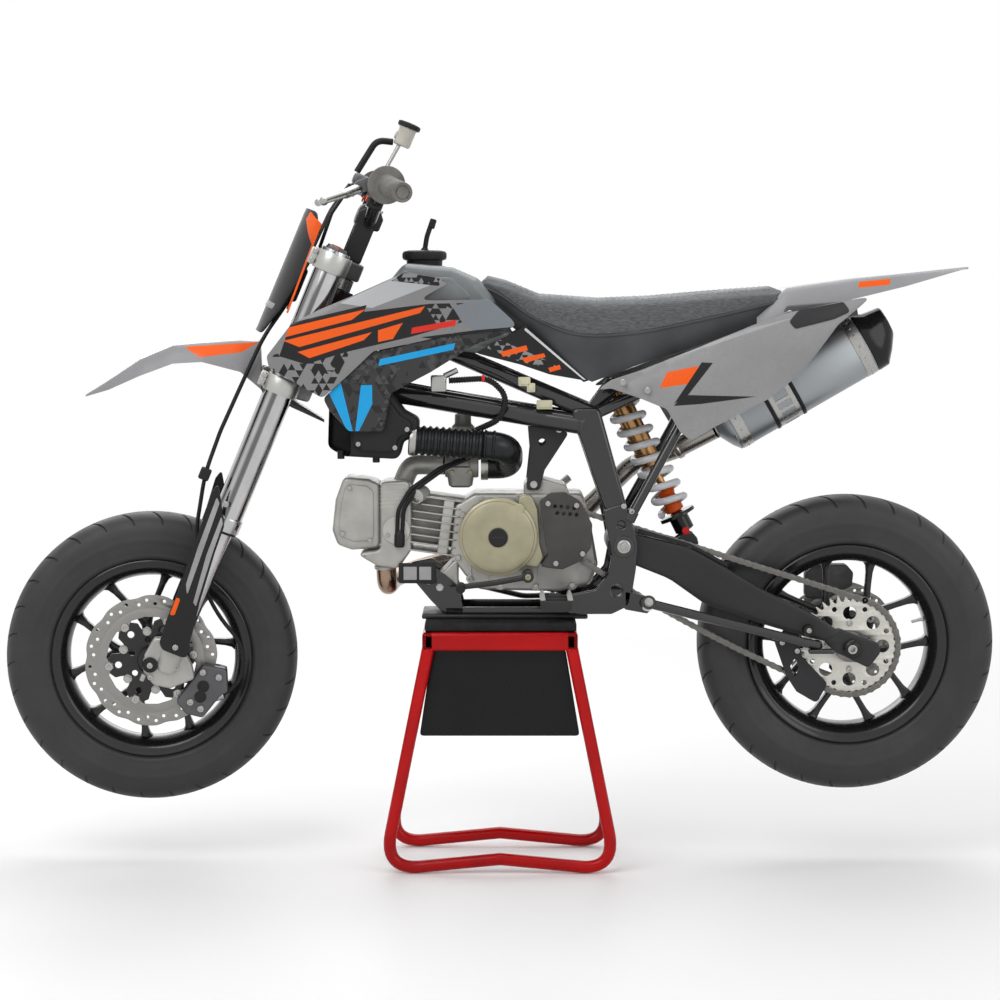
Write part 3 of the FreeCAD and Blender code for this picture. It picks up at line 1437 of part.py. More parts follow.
# Foot pegs and pedals
peg_from = 95.0
peg_to = 205.0
peg_teeth = 5
peg_front = 65.0
peg_back = 117.0
peg_low = 446.0
peg_top = 466.0
tooth = 8.0
teeth_line = [(peg_front, peg_low)]
step = (peg_back - peg_front) / peg_teeth
for k in range(peg_teeth):
    teeth_line.append((peg_front + k * step, peg_top))
    teeth_line.append((peg_front + (k + 0.5) * step, peg_top + tooth))
teeth_line.append((peg_back, peg_top))
teeth_line.append((peg_back, peg_low))
peg = prism(teeth_line, -peg_to, -peg_from - 12.0)
peg = peg.cut(block(peg_front + 9, peg_back - 9, -peg_to + 9, -peg_from - 24, peg_low - overrun, peg_top + overrun))
peg_arm = block(80, 102, -peg_from - 12.0, -peg_from, peg_low, peg_top)
peg = join(peg, peg_arm)
write("footpegs", *both_sides(peg))

gear_lever = join(
    bent([vec(46, -112, 494), vec(-10, -114, 484), vec(-62, -118, 478)], 5.0, 60.0),
    disc((46, 494), 10.0, -118.0, -case_left),
    disc((-64, 478), 8.0, -150.0, -112.0),
)
brake_pedal = join(
    bent([vec(128, 136, 436), vec(40, 142, 434), vec(-34, 140, 452)], 5.0, 60.0),
    disc((128, 436), 9.0, pivot_plate_outer, 142.0),
    block(-50, -26, 128, 156, 448, 456),
)
brake_pedal = brake_pedal.cut(pipe)
kick_lever = join(
    disc((30, 540), 12.0, case_right, 118.0),
    bent([vec(30, 112, 540), vec(70, 140, 600), vec(120, 152, 640)], 7.0, 60.0),
)
kick_lever = kick_lever.cut(clutch_cover).cut(pipe)
write("foot_controls", gear_lever.cut(crankcase).cut(flywheel), brake_pedal, *kick_lever.Solids[:1])

# Rear brake caliper
rear_caliper_shares = [
    (0.0, 0.0), (0.0, 0.76), (0.20, 1.0), (0.85, 1.0), (1.0, 0.76), (0.98, 0.38), (0.49, 0.0),
]
rear_caliper_length = 82.0
rear_caliper_height = 58.0
rear_caliper_ahead = 60.0
rear_caliper_above = 66.0
rear_caliper_inner = 50.0
rear_caliper_outer = 80.0
bracket_thickness = 8.0
bracket_length = 42.0
bracket_height = 50.0
bracket_ahead = 52.0
bracket_above = 26.0
rear_caliper_face = outline(
    rear_caliper_shares,
    (rear_axle_x - rear_caliper_ahead, rear_axle_height + rear_caliper_above),
    (rear_caliper_length, rear_caliper_height),
)
rear_caliper = prism(rear_caliper_face, rear_caliper_inner, rear_caliper_outer)
rear_slot = disc(
    centre, rear_disc_radius + disc_clear * 2,
    rear_disc_y - disc_thickness / 2 - disc_clear, rear_disc_y + disc_thickness / 2 + disc_clear,
)
bracket_front = rear_axle_x - bracket_ahead
bracket_foot = rear_axle_height + bracket_above
caliper_bracket = block(
    bracket_front, bracket_front + bracket_length, rear_caliper_outer - bracket_thickness, rear_caliper_outer,
    bracket_foot, bracket_foot + bracket_height,
)
rear_caliper = join(rear_caliper.cut(rear_slot), caliper_bracket).cut(swingarm)
write("rear_caliper", *rear_caliper.Solids[:1])

# Side stand, folded beside the swingarm
stand_leg_radius = 8.0
stand_foot = vec(525, stand_y, 380)
side_stand = join(
    rod(stand_hinge - stand_axis * stand_barrel_half, stand_hinge + stand_axis * stand_barrel_half, 12.0),
    rod(stand_hinge, stand_foot, stand_leg_radius),
    block(505, 550, stand_y - 14, stand_y + 10, 368, 376),
)
side_stand = side_stand.cut(barrel(stand_hinge - stand_axis * 30, stand_hinge + stand_axis * 30, stand_pin_radius + running_gap))
write("side_stand", side_stand)

# Paddock stand
loop_y = 108.0
loop_radius = 10.5
top_half = 128.0
top_low = 372.0
top_bar = 22.0
leg_top = 117.0
leg_foot = 193.0
loops = []
for side in (-1, 1):
    y = side * loop_y
    loop = bent(
        [vec(-leg_top, y, top_low + 10), vec(-leg_foot, y, 14), vec(0, y, 32), vec(leg_foot, y, 14), vec(leg_top, y, top_low + 10)],
        loop_radius, 46.0,
    )
    loop.translate(vec(0, 0, -loop.BoundBox.ZMin))
    loops.append(loop)
top_outer = block(-top_half, top_half, -loop_y - top_bar / 2, loop_y + top_bar / 2, top_low, stand_height)
top_inner = block(-top_half + top_bar, top_half - top_bar, -loop_y + top_bar / 2, loop_y - top_bar / 2, top_low - overrun, stand_height + overrun)
paddock_stand = join(top_outer.cut(top_inner), *loops)
write("paddock_stand", paddock_stand)
panel_y = 94.0
panel_face = outline([(0.08, 1.00), (0.91, 1.00), (1.00, 0.00), (0.00, 0.00)], (-133.0, 228.0), (265.0, 144.0))
paddock_panel = prism(panel_face, -panel_y - sheet, -panel_y).cut(paddock_stand)
write("paddock_panels", *both_sides(paddock_panel.Solids[0]))
pad = block(-124, 126, -loop_y, loop_y, stand_height, skid_bottom)
write("paddock_pad", pad)
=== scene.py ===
"""Dresses a small dirt bike on its paddock stand: one operator for each group of pieces and one
for the stage. Metres, +Z up, the bike faces -X and its left side is -Y."""

import json
import math

import bmesh
import bpy
from bpy.props import FloatProperty, FloatVectorProperty, IntProperty, PointerProperty
from mathutils import Matrix, Vector
from mathutils.geometry import delaunay_2d_cdt


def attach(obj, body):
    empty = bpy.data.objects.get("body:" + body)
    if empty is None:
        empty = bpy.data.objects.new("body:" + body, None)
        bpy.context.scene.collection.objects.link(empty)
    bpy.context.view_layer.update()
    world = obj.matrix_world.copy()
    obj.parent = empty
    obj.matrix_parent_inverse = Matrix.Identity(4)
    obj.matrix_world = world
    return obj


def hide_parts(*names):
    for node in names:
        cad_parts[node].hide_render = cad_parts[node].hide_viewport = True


bl_info = {
    "name": "Dirt bike dresser",
    "version": (1, 0, 0),
    "blender": (4, 5, 0),
    "location": "3D View > Sidebar > Dirt bike",
    "description": "Builds the finished pieces of a dirt bike and its paddock stand around their frame",
    "category": "Object",
}

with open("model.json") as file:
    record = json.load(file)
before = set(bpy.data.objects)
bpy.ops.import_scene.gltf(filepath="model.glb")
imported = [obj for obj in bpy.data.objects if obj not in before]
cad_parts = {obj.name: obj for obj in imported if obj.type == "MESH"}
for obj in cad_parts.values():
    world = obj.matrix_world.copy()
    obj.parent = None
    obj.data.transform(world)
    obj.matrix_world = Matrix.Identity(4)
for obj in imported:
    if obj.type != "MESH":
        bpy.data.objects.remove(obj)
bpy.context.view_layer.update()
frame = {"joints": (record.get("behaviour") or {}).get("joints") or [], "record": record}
joints = {joint["name"]: joint for joint in frame["joints"]}

TURN = 2 * math.pi
ALONG = Vector((1, 0, 0))
ACROSS = Vector((0, 1, 0))
UPWARD = Vector((0, 0, 1))
SIDES = (-1, 1)
Y_TO_UP = Matrix.Rotation(math.pi / 2, 4, "X")
Y_TO_DOWN = Matrix.Rotation(-math.pi / 2, 4, "X")
SHARP_ANGLE = math.radians(32)
MERGE_DISTANCE = 2e-6


# Where things are, read from the frame

def joint_place(name):
    return Vector(joints[name]["pos_m"])


def joint_axis(name):
    return Vector(joints[name]["axis"]).normalized()


def frame_of(origin, side, up):
    """A placing matrix whose Y runs across and whose Z runs up."""
    ahead = side.cross(up).normalized()
    turned = Matrix((ahead, side, up)).transposed().to_4x4()
    return Matrix.Translation(origin) @ turned


WORLD = Matrix.Identity(4)
STEERING = frame_of(joint_place("steering_turn"), joint_axis("front_wheel_spin"), joint_axis("steering_turn"))
FRONT_WHEEL = frame_of(
    joint_place("front_wheel_spin"), joint_axis("front_wheel_spin"), joint_axis("steering_turn")
)
REAR_WHEEL = Matrix.Translation(joint_place("rear_wheel_spin"))


def body_of(node):
    return next(name for name, nodes in frame["record"]["behaviour"]["bodies"].items() if node in nodes)


# Sizes and colours a user would change

def length(name, default, description):
    return FloatProperty(
        name=name, description=description, default=default, min=0.0, subtype="DISTANCE", unit="LENGTH"
    )


def colour(name, default, description):
    return FloatVectorProperty(
        name=name, description=description, default=default, min=0.0, max=1.0, subtype="COLOR"
    )


class BikeWheelSizes(bpy.types.PropertyGroup):
    groove_depth: length("Groove depth", .0035, "Depth of the tyre's tread grooves")
    groove_count: IntProperty(
        name="Groove count", description="Tread grooves round a tyre", default=30, min=4
    )
    flange_lip: length("Flange lip", .0022, "Radius of the rim flange's rolled lip")
    disc_waves: IntProperty(name="Disc waves", description="Scallops round a brake disc", default=10, min=3)
    disc_thickness: length("Disc thickness", .0036, "Thickness of a brake disc")
    sprocket_teeth: IntProperty(
        name="Sprocket teeth", description="Teeth on the rear sprocket", default=40, min=8
    )
    chain_pitch: length("Chain pitch", .0127, "Distance from one chain pin to the next")


class BikeBodySizes(bpy.types.PropertyGroup):
    panel_wall: length("Panel wall", .003, "Wall thickness of the plastic panels")
    seat_crown: length("Seat crown", .012, "How far the seat's top swells in the middle")
    stitch_pitch: length("Stitch pitch", .0042, "Distance from one stitch of the seat to the next")
    rib_pitch: length("Rib pitch", .0095, "Distance from one rib of the seat's top to the next")
    tube_sides: IntProperty(name="Tube sides", description="Faces round a tube", default=28, min=8)


class BikeMachineSizes(bpy.types.PropertyGroup):
    coil_turns: FloatProperty(
        name="Coil turns", description="Turns of the shock absorber's spring", default=7.6, min=1.0
    )
    coil_wire: length("Coil wire", .012, "Thickness of the shock absorber's spring wire")
    fin_count: IntProperty(name="Fin count", description="Cooling fins on the cylinder", default=8, min=2)
    bolt_head: length("Bolt head", .0052, "Radius of the usual bolt's head")
    duct_rib_pitch: length("Duct rib pitch", .0105, "Distance from one rib of the intake duct to the next")


class BikeColours(bpy.types.PropertyGroup):
    panel_grey: colour("Panel grey", (.235, .235, .235), "Shroud plastic")
    side_grey: colour("Side grey", (.285, .285, .29), "Side panel plastic")
    fender_grey: colour("Fender grey", (.31, .31, .32), "Fender plastic")
    accent_orange: colour("Accent orange", (.9, .115, .008), "Orange blocks and stripes")
    accent_blue: colour("Accent blue", (.011, .36, .75), "Blue blocks")
    plastic_black: colour("Plastic black", (.017, .017, .018), "Black plastic")
    frame_black: colour("Frame black", (.012, .012, .013), "Painted frame")
    stand_red: colour("Stand red", (.4, .0012, .002), "Painted paddock stand")
    engine_silver: colour("Engine silver", (.4, .395, .37), "Bare engine castings")
    cover_gold: colour("Cover gold", (.36, .335, .225), "Flywheel cover")
    shock_gold: colour("Shock gold", (.4, .22, .09), "Shock absorber body")
    spring_white: colour("Spring white", (.6, .6, .62), "Shock absorber spring")


# Materials

class Paint:
    """A material under construction: its tree, its shader and short ways to add nodes."""

    def __init__(self, name):
        self.material = bpy.data.materials.new(name)
        self.material.use_nodes = True
        self.tree = self.material.node_tree
        self.shader = self.tree.nodes["Principled BSDF"]
        self.place = self.add("ShaderNodeTexCoord").outputs["Object"]

    def add(self, kind, **settings):
        node = self.tree.nodes.new(kind)
        for key, value in settings.items():
            setattr(node, key, value)
        return node

    def link(self, source, socket):
        if hasattr(source, "is_output"):
            self.tree.links.new(source, socket)
        else:
            socket.default_value = source
        return socket

    def maths(self, operation, a, b=0.0, clamp=False):
        node = self.add("ShaderNodeMath", operation=operation, use_clamp=clamp)
        self.link(a, node.inputs[0])
        self.link(b, node.inputs[1])
        return node.outputs[0]

    def scaled(self, stretch, turn=(0, 0, 0), shift=(0, 0, 0)):
        """Object coordinates moved, turned and stretched."""
        node = self.add("ShaderNodeMapping")
        self.link(self.place, node.inputs["Vector"])
        node.inputs["Location"].default_value = shift
        node.inputs["Rotation"].default_value = turn
        node.inputs["Scale"].default_value = stretch
        return node.outputs[0]

    def noise(self, scale, detail=3.0, roughness=.55, place=None):
        node = self.add("ShaderNodeTexNoise")
        self.link(place or self.place, node.inputs["Vector"])
        node.inputs["Scale"].default_value = scale
        node.inputs["Detail"].default_value = detail
        node.inputs["Roughness"].default_value = roughness
        return node.outputs["Fac"]

    def spread(self, value, low, high, to_low=0.0, to_high=1.0):
        node = self.add("ShaderNodeMapRange")
        self.link(value, node.inputs["Value"])
        for key, amount in (("From Min", low), ("From Max", high), ("To Min", to_low), ("To Max", to_high)):
            node.inputs[key].default_value = amount
        return node.outputs[0]

    def blend(self, share, first, second):
        """One colour or socket over another, by a share."""
        node = self.add("ShaderNodeMix", data_type="RGBA")
        self.link(share, node.inputs["Factor"])
        for source, key in ((first, "A_Color"), (second, "B_Color")):
            socket = next(s for s in node.inputs if s.identifier == key)
            self.link(source if hasattr(source, "is_output") else (*source, 1.0), socket)
        return next(s for s in node.outputs if s.identifier == "Result_Color")

    def split(self):
        node = self.add("ShaderNodeSeparateXYZ")
        self.link(self.place, node.inputs[0])
        return node.outputs

    def bump(self, height, strength, distance):
        node = self.add("ShaderNodeBump")
        node.inputs["Strength"].default_value = strength
        node.inputs["Distance"].default_value = distance
        self.link(height, node.inputs["Height"])
        if self.shader.inputs["Normal"].links:
            self.link(self.shader.inputs["Normal"].links[0].from_socket, node.inputs["Normal"])
        self.link(node.outputs[0], self.shader.inputs["Normal"])

    def worn_edges(self, worn_share=.5):
        """How exposed an edge is, from 0 on a flat to 1 on a sharp corner."""
        return self.spread(self.add("ShaderNodeNewGeometry").outputs["Pointiness"], .52, .6, 0.0, worn_share)

    def inside(self, corners, flat="xz"):
        """1 inside a convex side-view outline, given clockwise or not, and 0 outside it."""
        first, second = self.split()["XYZ".index(flat[0].upper())], self.split()["XYZ".index(flat[1].upper())]
        middle = (sum(p[0] for p in corners) / len(corners), sum(p[1] for p in corners) / len(corners))
        mask = 1.0
        for (x0, z0), (x1, z1) in zip(corners, corners[1:] + corners[:1]):
            a, b = z1 - z0, x0 - x1
            sign = 1 if a * (middle[0] - x0) + b * (middle[1] - z0) > 0 else -1
            reach = math.hypot(a, b)
            a, b = sign * a / reach, sign * b / reach
            near = self.maths("ADD", self.maths("MULTIPLY", first, a), self.maths("MULTIPLY", second, b))
            edge = self.maths("GREATER_THAN", near, a * x0 + b * z0)
            mask = edge if mask == 1.0 else self.maths("MULTIPLY", mask, edge)
        return mask

    def finish(self, base, roughness, metallic=0.0, gloss=.5, coat=0.0):
        """Set the shader's own sockets and give back the material."""
        self.link(base if hasattr(base, "is_output") else (*base, 1.0), self.shader.inputs["Base Color"])
        self.link(roughness, self.shader.inputs["Roughness"])
        self.shader.inputs["Metallic"].default_value = metallic
        self.shader.inputs["Specular IOR Level"].default_value = gloss
        self.shader.inputs["Coat Weight"].default_value = coat
        self.shader.inputs["Coat Roughness"].default_value = .06
        return self.material


def shade(tint, amount):
    return tuple(min(1.0, c * amount) for c in tint)


def mottled(paint, tint, scale, low=.82, high=1.14):
    """A colour that drifts a little lighter and darker over the surface."""
    return paint.blend(paint.spread(paint.noise(scale), .35, .65), shade(tint, low), shade(tint, high))


def painted_metal(name, tint, roughness, coat=0.0, orange_peel=.1, gloss=.3):
    """Paint on metal: slow drift of tone, fine peel and lighter worn edges."""
    paint = Paint(name)
    base = paint.blend(paint.worn_edges(.35), mottled(paint, tint, 9), shade(tint, 3.0))
    rough = paint.spread(paint.noise(35, 5), .3, .7, roughness * .8, roughness * 1.25)
    paint.bump(paint.noise(900, 2), orange_peel, .0004)
    return paint.finish(base, rough, gloss=gloss, coat=coat)


def moulded_plastic(name, tint, roughness, grain=.25, gloss=.22):
    """Moulded plastic with a fine grain and faint lighter scuffs."""
    paint = Paint(name)
    scuff = paint.spread(paint.noise(60, 6, .7, paint.scaled((1, 1, 5))), .62, .78, 0.0, .35)
    base = paint.blend(scuff, mottled(paint, tint, 14, .85, 1.12), shade(tint, 2.2))
    rough = paint.spread(paint.noise(120, 4), .3, .7, roughness * .85, roughness * 1.15)
    paint.bump(paint.noise(1600, 2), grain, .0003)
    return paint.finish(base, rough, gloss=gloss)


def cast_metal(name, tint, roughness, grain=.35):
    """Sand-cast alloy: fine pits, cloudy tone and brighter edges."""
    paint = Paint(name)
    base = paint.blend(paint.worn_edges(.5), mottled(paint, tint, 22, .88, 1.08), shade(tint, 1.35))
    rough = paint.spread(paint.noise(80, 5), .3, .7, roughness * .8, roughness * 1.2)
    paint.bump(paint.noise(1100, 3), grain, .0004)
    return paint.finish(base, rough, metallic=.45)


def brushed_metal(name, tint, roughness, stretch, heat=None):
    """Metal with long fine scratches along one way, and heat tint where it is given."""
    paint = Paint(name)
    lines = paint.noise(220, 4, .6, paint.scaled(stretch))
    base = paint.blend(lines, shade(tint, .72), shade(tint, 1.12))
    if heat:
        low, high, burnt = heat
        glow = paint.spread(paint.split()[0], low, high, .85, 0.0)
        base = paint.blend(glow, base, burnt)
    rough = paint.spread(lines, .2, .8, roughness * .7, roughness * 1.4)
    paint.bump(lines, .15, .0002)
    return paint.finish(base, rough, metallic=1.0)


def polished_tube(name, tint, roughness):
    """Chromed tube along the fork's slant, with painted reflections: the dark streaks that such tubes
    reflect, painted across it.
    """
    paint = Paint(name)
    x, _, z = paint.split()
    across = paint.maths("ADD", paint.maths("MULTIPLY", x, .923), paint.maths("MULTIPLY", z, -.384))
    wave = paint.maths("SINE", paint.maths("MULTIPLY", across, 330.0))
    slow = paint.maths("SINE", paint.maths("MULTIPLY", across, 142.0))
    # painted reflection: dark bands across the tube's slant, mixed into its colour
    painted_reflection_streaks = paint.spread(paint.maths("ADD", wave, slow), -.1, .9, 0.0, .82)
    base = paint.blend(painted_reflection_streaks, mottled(paint, tint, 20, .92, 1.06), shade(tint, .14))
    rough = paint.spread(paint.noise(60, 3), .3, .7, roughness * .8, roughness * 1.3)
    return paint.finish(base, rough, metallic=1.0)


def ring_brushed(name, tint, roughness, centre, turned):
    """Metal brushed in rings about a wheel's axle."""
    paint = Paint(name)
    node = paint.add("ShaderNodeMapping", vector_type="TEXTURE")
    paint.link(paint.place, node.inputs["Vector"])
    node.inputs["Location"].default_value = centre
    node.inputs["Rotation"].default_value = turned.to_euler()
    parts = paint.add("ShaderNodeSeparateXYZ")
    paint.link(node.outputs[0], parts.inputs[0])
    flat = paint.add("ShaderNodeCombineXYZ")
    paint.link(parts.outputs[0], flat.inputs[0])
    paint.link(parts.outputs[2], flat.inputs[1])
    reach = paint.add("ShaderNodeVectorMath", operation="LENGTH")
    paint.link(flat.outputs[0], reach.inputs[0])
    rings = paint.add("ShaderNodeTexNoise", noise_dimensions="1D")
    paint.link(reach.outputs["Value"], rings.inputs["W"])
    rings.inputs["Scale"].default_value = 1400
    rings.inputs["Detail"].default_value = 3
    base = paint.blend(rings.outputs["Fac"], shade(tint, .7), shade(tint, 1.15))
    rough = paint.spread(rings.outputs["Fac"], .2, .8, roughness * .7, roughness * 1.4)
    paint.bump(rings.outputs["Fac"], .12, .0002)
    return paint.finish(base, rough, metallic=1.0)


def tyre_rubber():
    """Tyre rubber: neutral dark grey, a little dusty, with fine speckle."""
    paint = Paint("tyre_rubber")
    dust = paint.spread(paint.noise(7, 5, .6), .4, .7)
    base = paint.blend(dust, (.024, .024, .0245), (.036, .036, .036))
    speckle = paint.spread(paint.noise(420, 3), .68, .8, 0.0, .25)
    base = paint.blend(speckle, base, (.07, .07, .07))
    rough = paint.spread(paint.noise(25, 4), .3, .7, .48, .62)
    paint.bump(paint.noise(700, 3), .2, .0004)
    return paint.finish(base, rough, gloss=.4)


def soft_rubber(name, tint, roughness=.62):
    """Plain rubber with a dull fine-pitted skin."""
    paint = Paint(name)
    rough = paint.spread(paint.noise(90, 4), .3, .7, roughness * .85, roughness * 1.15)
    paint.bump(paint.noise(1300, 2), .3, .0003)
    return paint.finish(mottled(paint, tint, 30, .8, 1.3), rough, gloss=.2)


def seat_leather(name, tint, grain, ribbed=None):
    """Leatherette: a pebbled grain of small cells, and lighter long ribs inside the ribbed outline."""
    paint = Paint(name)
    cells = paint.add("ShaderNodeTexVoronoi", feature="DISTANCE_TO_EDGE")
    paint.link(paint.place, cells.inputs["Vector"])
    cells.inputs["Scale"].default_value = grain
    pebble = paint.spread(cells.outputs["Distance"], 0.0, .25)
    rough = paint.spread(paint.noise(18, 4), .3, .7, .42, .6)
    paint.bump(pebble, .25, .0003)
    base = mottled(paint, tint, 10, .75, 1.25)
    if ribbed:
        lines = paint.spread(paint.noise(520, 2, .5, paint.scaled((.2, 1, 1.6))), .36, .64)
        base = paint.blend(
            paint.inside(flat(*ribbed)), base, paint.blend(lines, shade(tint, 1.1), shade(tint, 2.1))
        )
    return paint.finish(base, rough, gloss=.3)


def triangles(paint, size, low):
    """1 inside some of the triangles of a slanted grid, in clusters, and 0 in the others."""
    x, _, z = paint.split()
    lattice = [
        paint.maths("ADD", paint.maths("MULTIPLY", x, 1 / size), paint.maths("MULTIPLY", z, -.577 / size)),
        paint.maths("MULTIPLY", z, 1.155 / size),
    ]
    parts = [paint.maths("FRACT", line) for line in lattice]
    cell = paint.add("ShaderNodeCombineXYZ")
    for line, socket in zip(lattice, cell.inputs):
        paint.link(paint.maths("FLOOR", line), socket)
    paint.link(paint.maths("GREATER_THAN", paint.maths("ADD", *parts), 1.0), cell.inputs[2])
    pick = paint.add("ShaderNodeTexWhiteNoise", noise_dimensions="3D")
    paint.link(cell.outputs[0], pick.inputs["Vector"])
    cluster = paint.spread(paint.noise(9, 1), .4, .6, -.25, .25)
    return paint.maths("GREATER_THAN", paint.maths("ADD", pick.outputs["Value"], cluster), low)


def print_and_painted_light_plastic(name, tint, marks, roughness=.22, coat=.06):
    """Glossy plastic with generic straight-edged marks and triangles: most are printed on it, some are
    painted reflections and highlights.
    """
    paint = Paint(name)
    base = mottled(paint, tint, 12, .95, 1.04)
    for mark_tint, corners, *grid in marks:
        mask = paint.inside(flat(*corners))
        if grid:
            mask = paint.maths("MULTIPLY", mask, triangles(paint, *grid))
        base = paint.blend(mask, base, mark_tint)
    rough = paint.spread(paint.noise(70, 4), .3, .7, roughness * .85, roughness * 1.2)
    paint.bump(paint.noise(500, 2), .03, .0002)
    return paint.finish(base, rough, gloss=.24, coat=coat)


FINISHES = {}


